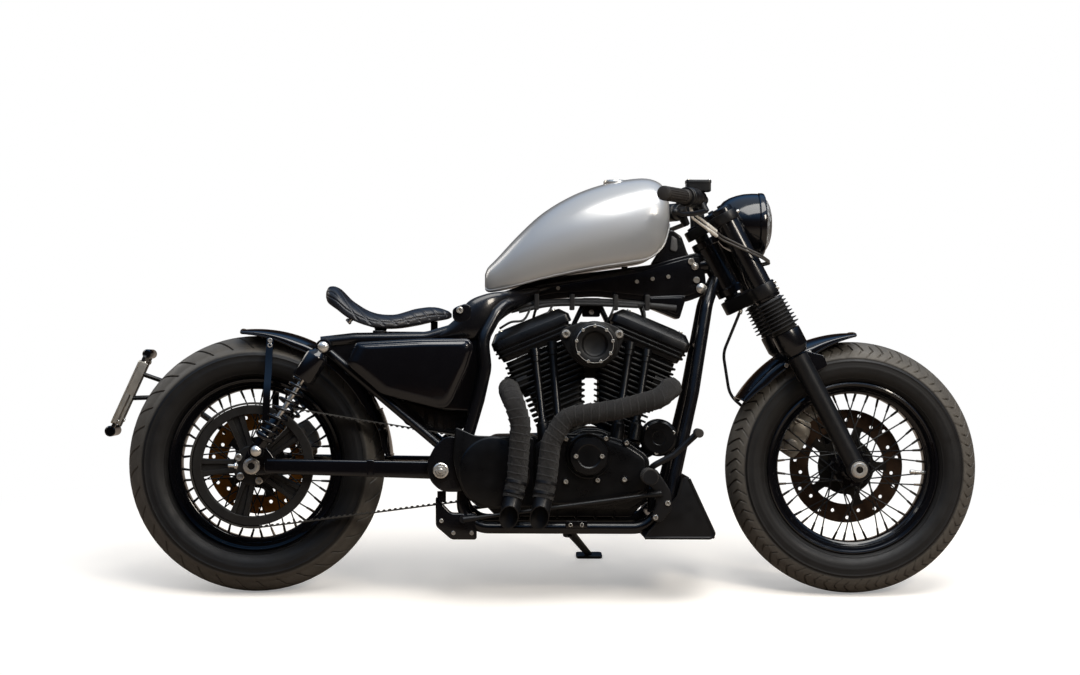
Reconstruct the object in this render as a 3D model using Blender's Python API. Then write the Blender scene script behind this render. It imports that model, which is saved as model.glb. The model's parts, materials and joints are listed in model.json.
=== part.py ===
"""A bobber motorcycle with a V-twin engine, parked on its side stand.

Every shape is modelled in the bike's own frame: X forwards from the rear axle, Y to the rider's
left, Z up from the ground that the upright bike would stand on. An empty then leans the whole
bike onto its side stand and sets the middle of its footprint on the world's origin.
Metres and degrees throughout.
"""

import math

import bmesh
import bpy
from mathutils import Matrix, Vector

# Fit
SEAT_GAP = 0.0003
RUNNING_GAP = 0.0008
BELT_GAP = 0.0018
FLAT_DEGREES = 0.3

# Stance and steering
WHEELBASE = 1.510
LEAN = 10.0
RAKE = 28.0
FORK_OFFSET = 0.064
STEM_TO_AXLE = 0.610

# Wheels
RIM_FLANGE_RADIUS = 0.217
REAR_SIDEWALL = 0.106
REAR_RADIUS = RIM_FLANGE_RADIUS + REAR_SIDEWALL
REAR_WIDTH = 0.150
FRONT_SIDEWALL = 0.103
FRONT_RADIUS = RIM_FLANGE_RADIUS + FRONT_SIDEWALL
FRONT_WIDTH = 0.130
CROWN_RADIUS = 0.070
RIM_WALL = 0.006
RIM_HALF_WIDTH = 0.046
RIM_WELL_RADIUS = RIM_FLANGE_RADIUS - 0.029
BEAD_SEAT_RADIUS = RIM_FLANGE_RADIUS - 0.014
SPOKE_COUNT = 40
SPOKE_LEAD = 44.0
SPOKE_RADIUS = 0.0020
HUB_FLANGE_RADIUS = 0.048
HUB_BARREL_RADIUS = 0.030
HUB_HALF_WIDTH = 0.052
HUB_FLANGE_Y = 0.034
AXLE_RADIUS = 0.0125
WHEEL_STEPS = 32

# Brakes and final drive
FRONT_DISC_RADIUS = 0.146
REAR_DISC_RADIUS = 0.132
DISC_THICKNESS = 0.005
DISC_BAND = 0.040
DISC_CARRIER_SHARE = 0.50
DISC_ARMS = 5
DISC_Y = 0.062
DISC_STEPS = 28
PULLEY_RADIUS = 0.150
PULLEY_Y = -0.097
PULLEY_WIDTH = 0.026
FRONT_PULLEY_RADIUS = 0.062
FRONT_PULLEY_X = 0.620
FRONT_PULLEY_Z = 0.315
BELT_THICKNESS = 0.005
BELT_WIDTH = 0.028

# Frame and swingarm
FRAME_TUBE_RADIUS = 0.0155
BACKBONE_RADIUS = 0.022
DIAGONAL_RADIUS = 0.011
CROSS_RADIUS = 0.012
CRADLE_Y = 0.128
RAIL_Z = 0.173
SPOILER_BAR_X = 1.000
SPOILER_BAR_Z = 0.196
PIVOT_X = 0.468
PIVOT_RADIUS = 0.010
PIVOT_Z = 0.315
SWINGARM_Y = 0.132
SWINGARM_WALL = 0.026
SWINGARM_HEIGHT = 0.037
HEAD_TUBE_RADIUS = 0.031
HEAD_TUBE_HALF = 0.077
FORGING = [  # upper edge (x, z), lower edge (x, z), middle y: the neck of each seat rail
    ((0.462, 0.657), (0.466, 0.636), -0.114), ((0.500, 0.686), (0.515, 0.640), -0.111),
    ((0.533, 0.724), (0.560, 0.642), -0.108), ((0.578, 0.751), (0.592, 0.666), -0.098),
    ((0.620, 0.761), (0.621, 0.696), -0.078), ((0.664, 0.767), (0.662, 0.722), -0.045),
    ((0.715, 0.777), (0.710, 0.746), -0.016)]
SHOCK_Y = 0.168
SHOCK_TOP_X = 0.178
SHOCK_TOP_Z = 0.618
SHOCK_FOOT_X = 0.015
SHOCK_FOOT_Z = REAR_RADIUS + 0.039
SHOCK_STUD_RADIUS = 0.009

# Fork, measured along the legs from the axle
FORK_SPACING = 0.216
FORK_TUBE_RADIUS = 0.027
SLIDER_RADIUS = 0.025
LEG_STEPS = 10
SLIDER_FLAT = SLIDER_RADIUS * math.cos(math.pi / LEG_STEPS)
STEM_RADIUS = 0.017
STEM_BORE = STEM_RADIUS / math.cos(math.pi / 12) + SEAT_GAP
FORK_LENGTH = 0.741
LOWER_CLAMP_AT = 0.505
UPPER_CLAMP_AT = 0.712
CLAMP_THICKNESS = 0.034
GAITER_TOP_AT = 0.484
GAITER_FOOT_AT = 0.385
GAITER_RADIUS = 0.044
GAITER_RIBS = 6
CUP_RADIUS = 0.037
CUP_FOOT_AT = 0.335

# Controls and lamp
BAR_RADIUS = 0.0127
BAR_BORE = BAR_RADIUS / math.cos(math.pi / 10) + SEAT_GAP
BAR_BACK = 0.055
BAR_RISE = 0.1575
BAR_STRAIGHT = 0.200
BAR_SWEEP = 0.118
BAR_END_Y = 0.400
GRIP_RADIUS = 0.0175
GRIP_LENGTH = 0.130
LEVER_RADIUS = 0.006
PEDAL_RADIUS = 0.008
CABLE_RADIUS = 0.0045
HOSE_RADIUS = 0.0040
LAMP_RISE = 0.1095
LAMP_AHEAD = 0.116
HEADLAMP_RADIUS = 0.081
HEADLAMP_DEPTH = 0.116
LAMP_FOOT_X = 0.056

# Engine
CRANK_X = 0.842
CRANK_Z = 0.290
VEE_HALF_ANGLE = 22.5
VEE_GAP = 0.013
DECK_AT = 0.128
HEAD_TOP_AT = 0.352
FIN_COUNT = 9
FIN_HALF = 0.078
BARREL_HALF = 0.052
CASE_HALF_WIDTH = 0.100
CASE_REAR_X = 0.560
CASE_FRONT_X = 0.985
CASE_FLOOR_Z = 0.212
CASE_TOP_Z = 0.425
COVER_FACE_Y = 0.165
HORN_X = 1.010
HORN_Z = 0.397
HORN_RADIUS = 0.0425
HORN_Y = -0.131
TIMER_RADIUS = 0.060
PUSHROD_RADIUS = 0.0095
ROCKER_HALF = 0.085
PORT_AT = 0.300
PIPE_RADIUS = 0.0265
PIPE_WALL = 0.004

# Bodywork
FENDER_WALL = 0.004
TIP_LENGTH = 0.45
REAR_FENDER_RADIUS = REAR_RADIUS + 0.018
REAR_FENDER_SKIRT = REAR_RADIUS - 0.014
REAR_FENDER_HALF = 0.080
FRONT_FENDER_RADIUS = FRONT_RADIUS + 0.023
FRONT_FENDER_SKIRT = FRONT_RADIUS - 0.014
FRONT_FENDER_HALF = 0.079
COVER_INNER_Y = 0.142
TANK_HALF_WIDTH = 0.114
TUNNEL_HALF = 0.036
TUNNEL_DEPTH = 0.052
TANK_POST_RADIUS = 0.008
TANK_STATIONS = [  # x, bottom z, top z, half width
    (0.574, 0.775, 0.806, 0.026), (0.582, 0.764, 0.824, 0.040), (0.606, 0.765, 0.849, 0.056),
    (0.660, 0.776, 0.908, 0.080), (0.720, 0.791, 0.963, 0.097), (0.790, 0.806, 1.006, 0.109),
    (0.860, 0.819, 1.034, TANK_HALF_WIDTH), (0.930, 0.830, 1.050, TANK_HALF_WIDTH),
    (0.985, 0.842, 1.054, 0.108), (1.020, 0.872, 1.041, 0.094), (1.036, 0.915, 1.014, 0.072),
    (1.041, 0.945, 0.990, 0.040)]

# Side stand
STAND_X = 0.800
STAND_Y = 0.158
STAND_Z = 0.140
STAND_PIN_RADIUS = 0.006
STAND_LEG = 0.225
STAND_RADIUS = 0.011
STAND_REACH = 0.330
FOOT_LENGTH = 0.070
FOOT_WIDTH = 0.046
FOOT_THICKNESS = 0.008

MATERIALS = {
    "frame_black": ((0.012, 0.012, 0.014), 0.35, 0.0),
    "engine_black": ((0.010, 0.010, 0.011), 0.55, 0.2),
    "gloss_black": ((0.008, 0.008, 0.010), 0.18, 0.0),
    "pearl_silver": ((0.62, 0.63, 0.61), 0.22, 0.3),
    "bare_steel": ((0.55, 0.54, 0.52), 0.30, 1.0),
    "disc_steel": ((0.16, 0.11, 0.08), 0.40, 0.9),
    "tyre_rubber": ((0.016, 0.015, 0.015), 0.80, 0.0),
    "belt_rubber": ((0.020, 0.020, 0.020), 0.70, 0.0),
    "seat_leather": ((0.020, 0.020, 0.022), 0.45, 0.0),
    "pipe_wrap": ((0.030, 0.028, 0.026), 0.95, 0.0),
    "lamp_glass": ((0.85, 0.88, 0.90), 0.05, 0.0),
    "cable_black": ((0.015, 0.015, 0.015), 0.50, 0.0),
}


# General tools

def fresh_scene():
    for found in list(bpy.data.objects):
        bpy.data.objects.remove(found)


def shape(vertices, faces):
    """A loose object holding one closed mesh whose faces point outwards."""
    mesh = bpy.data.meshes.new("shape")
    mesh.from_pydata([tuple(v) for v in vertices], [], faces)
    work = bmesh.new()
    work.from_mesh(mesh)
    bmesh.ops.recalc_face_normals(work, faces=work.faces)
    work.to_mesh(mesh)
    work.free()
    made = bpy.data.objects.new("shape", mesh)
    bpy.context.scene.collection.objects.link(made)
    return made


def moved(made, matrix):
    made.data.transform(matrix)
    if matrix.determinant() < 0:
        made.data.flip_normals()
    return made


def joined(shapes):
    """One object from several, with their meshes side by side."""
    work = bmesh.new()
    for each in shapes:
        work.from_mesh(each.data)
        bpy.data.objects.remove(each)
    mesh = bpy.data.meshes.new("shape")
    work.to_mesh(mesh)
    work.free()
    made = bpy.data.objects.new("shape", mesh)
    bpy.context.scene.collection.objects.link(made)
    return made


def boolean(base, tool, operation):
    modifier = base.modifiers.new(operation.lower(), "BOOLEAN")
    modifier.operation = operation
    modifier.solver = "EXACT"
    modifier.use_self = True
    modifier.object = tool
    graph = bpy.context.evaluated_depsgraph_get()
    result = bpy.data.meshes.new_from_object(base.evaluated_get(graph))
    base.modifiers.clear()
    base.data = result
    bpy.data.objects.remove(tool)
    return base


def fused(*shapes):
    return boolean(shapes[0], joined(shapes[1:]), "UNION")


def carved(base, *cutters):
    return boolean(base, joined(cutters), "DIFFERENCE")


def triangled(made):
    """Splits every face into triangles, for a thin tube that twists as it bends."""
    work = bmesh.new()
    work.from_mesh(made.data)
    bmesh.ops.triangulate(work, faces=work.faces)
    work.to_mesh(made.data)
    work.free()
    return made


def ring_faces(rings, closed):
    """Quads between rings of equal length, the last ring joined to the first where closed."""
    faces = []
    count = len(rings[0])
    last = len(rings) if closed else len(rings) - 1
    for i in range(last):
        here = rings[i]
        there = rings[(i + 1) % len(rings)]
        for k in range(count):
            n = (k + 1) % count
            faces.append((here[k], here[n], there[n], there[k]))
    return faces


def loft(sections):
    """A closed body through sections of equal point count, with flat ends."""
    count = len(sections[0])
    vertices = [p for section in sections for p in section]
    rings = [list(range(i * count, (i + 1) * count)) for i in range(len(sections))]
    faces = ring_faces(rings, False)
    faces.append(tuple(rings[0]))
    faces.append(tuple(rings[-1]))
    return shape(vertices, faces)


def lathe(profile, steps, centre=(0, 0, 0), phase=0.0):
    """Turns (radius, y) pairs round a line along Y. A radius of 0 closes an end; with none the profile is
    a closed ring."""
    vertices = []
    rings = []
    for radius, y in profile:
        if radius == 0:
            rings.append([len(vertices)] * steps)
            vertices.append((centre[0], centre[1] + y, centre[2]))
            continue
        rings.append(list(range(len(vertices), len(vertices) + steps)))
        for k in range(steps):
            turn = 2 * math.pi * (k + phase) / steps
            vertices.append((centre[0] + radius * math.cos(turn), centre[1] + y,
                             centre[2] + radius * math.sin(turn)))
    quads = ring_faces(rings, profile[0][0] != 0)
    faces = [tuple(dict.fromkeys(quad)) for quad in quads]
    return shape(vertices, faces)


def rod(start, end, radius, steps=10, end_radius=None):
    """A straight round bar between two points, tapered where end_radius is given."""
    start = Vector(start)
    end = Vector(end)
    turn = (end - start).to_track_quat("Y", "Z").to_matrix().to_4x4()
    length = (end - start).length
    far = radius if end_radius is None else end_radius
    bar = lathe([(0, 0), (radius, 0), (far, length), (0, length)], steps, phase=0.5)
    return moved(bar, Matrix.Translation(start) @ turn)


def pin(x, z, y_low, y_high, radius, steps=8):
    """A round bar along Y. Pins and the holes they sit in share its facets."""
    return lathe([(0, y_low), (radius, y_low), (radius, y_high), (0, y_high)], steps, (x, 0, z), 0.5)


def block(low, high):
    corners = [(x, y, z) for x in (low[0], high[0]) for y in (low[1], high[1]) for z in (low[2], high[2])]
    faces = [(0, 1, 3, 2), (4, 6, 7, 5), (0, 4, 5, 1), (2, 3, 7, 6), (0, 2, 6, 4), (1, 5, 7, 3)]
    return shape(corners, faces)


def shrunk(outline, depth):
    """An (x, z) outline with every side moved inwards by depth."""
    area = sum(a[0] * b[1] - b[0] * a[1] for a, b in zip(outline, outline[1:] + outline[:1]))
    side = 1 if area > 0 else -1
    result = []
    for i, point in enumerate(outline):
        here = Vector(point)
        before = (here - Vector(outline[i - 1])).normalized()
        after = (Vector(outline[(i + 1) % len(outline)]) - here).normalized()
        normal_a = Vector((-before.y, before.x)) * side
        normal_b = Vector((-after.y, after.x)) * side
        middle = (normal_a + normal_b).normalized()
        result.append(tuple(here + middle * depth / max(middle.dot(normal_a), 0.35)))
    return result


def plate(outline, y_low, y_high, edge=0.0):
    """An (x, z) outline as thick as from y_low to y_high, its rims bevelled by edge."""
    if edge == 0:
        levels = [(y_low, 0), (y_high, 0)]
    else:
        levels = [(y_low, edge), (y_low + edge, 0), (y_high - edge, 0), (y_high, edge)]
    sections = []
    for y, depth in levels:
        ring = shrunk(outline, depth) if depth else outline
        sections.append([(x, y, z) for x, z in ring])
    return loft(sections)


def bent(corners, bend, facet=30.0):
    """A polyline's corners rounded to the radius bend, in steps that each turn by facet degrees at most."""
    corners = [Vector(c) for c in corners]
    points = [corners[0]]
    for before, here, after in zip(corners, corners[1:], corners[2:]):
        inward = (before - here).normalized()
        outward = (after - here).normalized()
        angle = inward.angle(outward)
        reach = bend / math.tan(angle / 2)
        reach = min(reach, 0.45 * (before - here).length, 0.45 * (after - here).length)
        first = here + inward * reach
        last = here + outward * reach
        steps = max(1, math.ceil(math.degrees(math.pi - angle) / facet))
        for k in range(steps + 1):
            t = k / steps
            points.append(first * (1 - t) ** 2 + here * 2 * t * (1 - t) + last * t ** 2)
    points.append(corners[-1])
    return points


def pipe(points, radius, sides=8, slash=None, bore=None):
    """A round tube along points. slash is the normal of the plane its far end is cut on, and bore the
    (radius, depth) of the hole in that end."""
    points = [Vector(p) for p in points]
    tangents = []
    for i in range(len(points)):
        ahead = points[min(i + 1, len(points) - 1)]
        behind = points[max(i - 1, 0)]
        tangents.append((ahead - behind).normalized())
    side = tangents[0].orthogonal().normalized()
    sections = []
    for point, tangent in zip(points, tangents):
        side = (side - tangent * side.dot(tangent)).normalized()
        other = tangent.cross(side)
        ring = [point + side * radius * math.cos(a) + other * radius * math.sin(a)
                for a in (2 * math.pi * k / sides for k in range(sides))]
        sections.append(ring)
    end, tangent = points[-1], tangents[-1]
    if slash:
        normal = Vector(slash).normalized()
        sections[-1] = [p + tangent * (end - p).dot(normal) / tangent.dot(normal) for p in sections[-1]]
    if bore:
        share = bore[0] / radius
        inner = [end + (p - end) * share for p in sections[-1]]
        sections.append(inner)
        sections.append([p - tangent * bore[1] for p in inner])
    return loft(sections)


# The frames that the moving bodies are built in

HEAD_X = (WHEELBASE - STEM_TO_AXLE * math.sin(math.radians(RAKE))
          - FORK_OFFSET * math.cos(math.radians(RAKE)))
HEAD_Z = (FRONT_RADIUS + STEM_TO_AXLE * math.cos(math.radians(RAKE))
          - FORK_OFFSET * math.sin(math.radians(RAKE)))
BAR_X = HEAD_X - BAR_BACK
BAR_Z = HEAD_Z + BAR_RISE
BAR_END_X = BAR_X - BAR_SWEEP
HEADLAMP_RIM_X = HEAD_X + LAMP_AHEAD
HEADLAMP_Z = HEAD_Z + LAMP_RISE
STEERING = Matrix.Translation((HEAD_X, 0, HEAD_Z)) @ Matrix.Rotation(math.radians(-RAKE), 4, "Y")
FRONT_AXLE = Matrix.Translation((WHEELBASE, 0, FRONT_RADIUS))
REAR_AXLE = Matrix.Translation((0, 0, REAR_RADIUS))


def on_fork(x, y, along):
    """A point of the bike's frame, given ahead of the legs, sideways, and up the legs from the axle."""
    return STEERING @ Vector((FORK_OFFSET + x, y, along - STEM_TO_AXLE))


def tyre_profile(radius, width):
    """(radius, y) round the tyre's section: a crown of even facets, bulged walls and a bead."""
    crown = []
    for degrees in (-50, -32, -15, -5, 5, 15, 32, 50):
        turn = math.radians(degrees)
        crown.append((radius - CROWN_RADIUS * (1 - math.cos(turn)), CROWN_RADIUS * math.sin(turn)))
    half = width / 2
    bead = RIM_HALF_WIDTH - RIM_WALL - SEAT_GAP
    wall = [(radius - 0.056, half), (RIM_FLANGE_RADIUS + 0.014, half * 0.87),
            (RIM_FLANGE_RADIUS + 0.0010, bead), (BEAD_SEAT_RADIUS + 2 * SEAT_GAP, bead)]
    return [(r, -y) for r, y in reversed(wall)] + crown + wall


def ground_drop(radius):
    """How far the leaning wheel's lowest facet lies under its centre."""
    flat = math.cos(math.pi / WHEEL_STEPS)
    lean = math.radians(LEAN)
    return max(r * flat * math.cos(lean) + y * math.sin(lean) for r, y in tyre_profile(radius, 0))


GROUND_SHIFT = ground_drop(FRONT_RADIUS) - FRONT_RADIUS * math.cos(math.radians(LEAN))


def ground_z(y):
    """The height, in the bike's own frame, of the ground under a point y to its left."""
    lean = math.radians(LEAN)
    return (y * math.sin(lean) - GROUND_SHIFT) / math.cos(lean)


STAND_PIVOT = Vector((STAND_X, STAND_Y, STAND_Z))
STAND_FOOT = Vector((STAND_X + 0.060, STAND_REACH, ground_z(STAND_REACH) + FOOT_THICKNESS + 0.004))
STAND_FOLDED = STAND_PIVOT + Vector((-STAND_LEG, 0.014, -0.020))
STAND_AXIS = (STAND_FOOT - STAND_PIVOT).cross(STAND_FOLDED - STAND_PIVOT).normalized()
STAND_TURN = (STAND_FOOT - STAND_PIVOT).angle(STAND_FOLDED - STAND_PIVOT)


# Bodies

def carriers():
    """The empties that carry the bodies: the leaning bike, and one on each joint's axis."""
    made = {}

    def empty(name, parent, matrix):
        found = bpy.data.objects.new(name + "_carrier", None)
        bpy.context.scene.collection.objects.link(found)
        found.parent = parent
        found.matrix_local = matrix
        made[name] = found
        return found

    bike = empty("bike", None, Matrix.Translation((0, 0, GROUND_SHIFT)) @ Matrix.Rotation(
        math.radians(-LEAN), 4, "X"))
    steering = empty("steering", bike, STEERING)
    empty("front_wheel", steering, STEERING.inverted() @ FRONT_AXLE)
    empty("rear_wheel", bike, REAR_AXLE)
    empty("side_stand", bike, Matrix.Translation(STAND_PIVOT))
    return made


BODIES = {}
FRAMES = {
    "bike": Matrix.Identity(4),
    "steering": STEERING,
    "front_wheel": FRONT_AXLE,
    "rear_wheel": REAR_AXLE,
    "side_stand": Matrix.Translation(STAND_PIVOT),
}


def tidied(made):
    """Merges the faces that one flat surface was split into."""
    work = bmesh.new()
    work.from_mesh(made.data)
    bmesh.ops.dissolve_limit(work, angle_limit=math.radians(FLAT_DEGREES), verts=work.verts, edges=work.edges)
    work.to_mesh(made.data)
    work.free()
    return made


def place(made, name, body, material):
    """Names a finished shape, puts it on its body and gives it its material."""
    tidied(made)
    made.name = name
    made.data.name = name
    made.data.transform(FRAMES[body].inverted())
    made.parent = BODIES[body]
    made.data.materials.clear()
    made.data.materials.append(material_of(material))
    made.data.shade_smooth()
    made.data.set_sharp_from_angle(angle=math.radians(32))
    return made


def material_of(name):
    found = bpy.data.materials.get(name)
    if found:
        return found
    colour, roughness, metallic = MATERIALS[name]
    made = bpy.data.materials.new(name)
    made.use_nodes = True
    shader = made.node_tree.nodes["Principled BSDF"]
    shader.inputs["Base Color"].default_value = (*colour, 1)
    shader.inputs["Roughness"].default_value = roughness
    shader.inputs["Metallic"].default_value = metallic
    return made


# Wheels

def tyre(name, body, radius, width, axle):
    ring = lathe(tyre_profile(radius, width), WHEEL_STEPS, phase=0.5 + WHEEL_STEPS / 4)
    place(moved(ring, axle), name, body, "tyre_rubber")


def wire_rim(name, body, axle):
    """Rim, laced spokes and hub: each spoke runs from a hub flange to the well, crossing its neighbours."""
    flange = RIM_FLANGE_RADIUS
    half = RIM_HALF_WIDTH
    well = half * 0.40
    profile = [
        (flange, -half), (flange, -half + RIM_WALL), (BEAD_SEAT_RADIUS, -half + RIM_WALL),
        (RIM_WELL_RADIUS + RIM_WALL, -well), (RIM_WELL_RADIUS + RIM_WALL, well),
        (BEAD_SEAT_RADIUS, half - RIM_WALL), (flange, half - RIM_WALL), (flange, half),
        (flange - 0.020, half), (RIM_WELL_RADIUS, well), (RIM_WELL_RADIUS, -well), (flange - 0.020, -half),
    ]
    rim = lathe(profile, WHEEL_STEPS, phase=0.5)
    bore = AXLE_RADIUS + RUNNING_GAP
    flange_in = HUB_FLANGE_Y - 0.005
    flange_out = HUB_FLANGE_Y + 0.005
    hub = lathe([
        (bore, -HUB_HALF_WIDTH), (HUB_BARREL_RADIUS, -HUB_HALF_WIDTH), (HUB_BARREL_RADIUS, -flange_out),
        (HUB_FLANGE_RADIUS, -flange_out), (HUB_FLANGE_RADIUS, -flange_in), (HUB_BARREL_RADIUS, 0),
        (HUB_FLANGE_RADIUS, flange_in), (HUB_FLANGE_RADIUS, flange_out), (HUB_BARREL_RADIUS, flange_out),
        (HUB_BARREL_RADIUS, HUB_HALF_WIDTH), (bore, HUB_HALF_WIDTH),
    ], 12)
    pitch = 2 * math.pi / SPOKE_COUNT
    spokes = []
    for k in range(SPOKE_COUNT):
        side = 1 if k % 2 else -1
        lead = 1 if k % 4 < 2 else -1
        at_rim = pitch * (k + 0.5)
        at_hub = at_rim + lead * math.radians(SPOKE_LEAD)
        inner = HUB_FLANGE_RADIUS - 0.005
        outer = RIM_WELL_RADIUS + 0.002
        level = side * (HUB_FLANGE_Y + lead * 0.0028)
        spokes.append(rod((inner * math.cos(at_hub), level, inner * math.sin(at_hub)),
                          (outer * math.cos(at_rim), side * 0.006, outer * math.sin(at_rim)),
                          SPOKE_RADIUS, 3))
    place(moved(fused(rim, hub, *spokes), axle), name, body, "gloss_black")


def brake_disc(name, body, axle, radius):
    """A brake disc: a flat friction ring on short arms from a round carrier on the hub."""
    inner = radius - DISC_BAND
    y_low = DISC_Y - DISC_THICKNESS / 2
    y_high = DISC_Y + DISC_THICKNESS / 2
    ring = lathe([(inner, y_low), (radius, y_low), (radius, y_high), (inner, y_high)], DISC_STEPS)
    bore = AXLE_RADIUS + RUNNING_GAP
    seat = HUB_HALF_WIDTH + SEAT_GAP
    carrier = radius * DISC_CARRIER_SHARE
    boss = lathe([(bore, seat), (carrier, seat), (carrier, y_high + 0.001), (bore, y_high + 0.001)], DISC_STEPS)
    arms = []
    for k in range(DISC_ARMS):
        turn = 2 * math.pi * k / DISC_ARMS
        arm = block((carrier - 0.006, y_low - 0.001, -0.010), (inner + 0.004, y_high - 0.001, 0.010))
        arms.append(moved(arm, Matrix.Rotation(turn, 4, "Y")))
    place(moved(fused(ring, boss, *arms), axle), name, body, "disc_steel")


def axle_bar(name, body, axle, seat):
    """The axle through the hub, with a nut against what carries it at each end."""
    nut = seat + SEAT_GAP
    end = nut + 0.010
    bar = lathe([(0, -end), (0.017, -end), (0.017, -nut), (AXLE_RADIUS, -nut),
                 (AXLE_RADIUS, nut), (0.017, nut), (0.017, end), (0, end)], 12, phase=0.5)
    place(moved(bar, axle), name, body, "bare_steel")


def rear_pulley():
    """The belt's rear pulley: a rim on five ribbed spokes, bolted to the hub's right flange."""
    y_low = PULLEY_Y - PULLEY_WIDTH / 2
    y_high = PULLEY_Y + PULLEY_WIDTH / 2
    rim = lathe([(PULLEY_RADIUS - 0.022, y_low), (PULLEY_RADIUS, y_low),
                 (PULLEY_RADIUS, y_high), (PULLEY_RADIUS - 0.022, y_high)], DISC_STEPS)
    bore = AXLE_RADIUS + RUNNING_GAP
    seat = -HUB_HALF_WIDTH - SEAT_GAP
    boss = lathe([(bore, y_low), (0.046, y_low), (0.050, y_high), (0.040, seat), (bore, seat)], 12)
    spokes = []
    for k in range(5):
        turn = math.radians(90) + 2 * math.pi * k / 5
        web = block((0.034, y_low + 0.008, -0.017), (PULLEY_RADIUS - 0.014, y_high - 0.006, 0.017))
        rib = block((0.034, y_low + 0.002, -0.006), (PULLEY_RADIUS - 0.016, y_high - 0.010, 0.006))
        spokes += [moved(web, Matrix.Rotation(turn, 4, "Y")), moved(rib, Matrix.Rotation(turn, 4, "Y"))]
    place(moved(fused(rim, boss, *spokes), REAR_AXLE), "rear_pulley", "rear_wheel", "gloss_black")


def drive_belt():
    """The toothed belt as one fixed loop round both pulleys, with the front pulley in its front bend."""
    inner_rear = PULLEY_RADIUS + BELT_GAP
    reach = Vector((FRONT_PULLEY_X, FRONT_PULLEY_Z - REAR_RADIUS))
    along = math.atan2(reach.y, reach.x)
    wrap = math.acos((inner_rear - FRONT_PULLEY_RADIUS) / reach.length)

    def loop(extra):
        points = []
        for k in range(25):
            turn = along + wrap + (2 * math.pi - 2 * wrap) * k / 24
            points.append((math.cos(turn) * (inner_rear + extra),
                           REAR_RADIUS + math.sin(turn) * (inner_rear + extra)))
        for k in range(9):
            turn = along - wrap + 2 * wrap * k / 8
            points.append((FRONT_PULLEY_X + math.cos(turn) * (FRONT_PULLEY_RADIUS + extra),
                           FRONT_PULLEY_Z + math.sin(turn) * (FRONT_PULLEY_RADIUS + extra)))
        return points

    y_low = PULLEY_Y - BELT_WIDTH / 2
    y_high = PULLEY_Y + BELT_WIDTH / 2
    sections = [[(x, y, z) for x, z in loop(extra)]
                for extra, y in ((BELT_THICKNESS, y_low), (BELT_THICKNESS, y_high), (0, y_high), (0, y_low))]
    count = len(sections[0])
    rings = [list(range(i * count, (i + 1) * count)) for i in range(4)]
    belt = shape([p for section in sections for p in section], ring_faces(rings, True))
    hub_y = -CASE_HALF_WIDTH + 0.025 - SEAT_GAP
    wheel = lathe([(0, y_low), (FRONT_PULLEY_RADIUS + 0.002, y_low), (FRONT_PULLEY_RADIUS + 0.002, y_high),
                   (0.024, y_high), (0.024, hub_y), (0, hub_y)], 16,
                  (FRONT_PULLEY_X, 0, FRONT_PULLEY_Z))
    place(fused(belt, wheel), "drive_belt", "bike", "belt_rubber")


# Frame, swingarm and shocks

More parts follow.
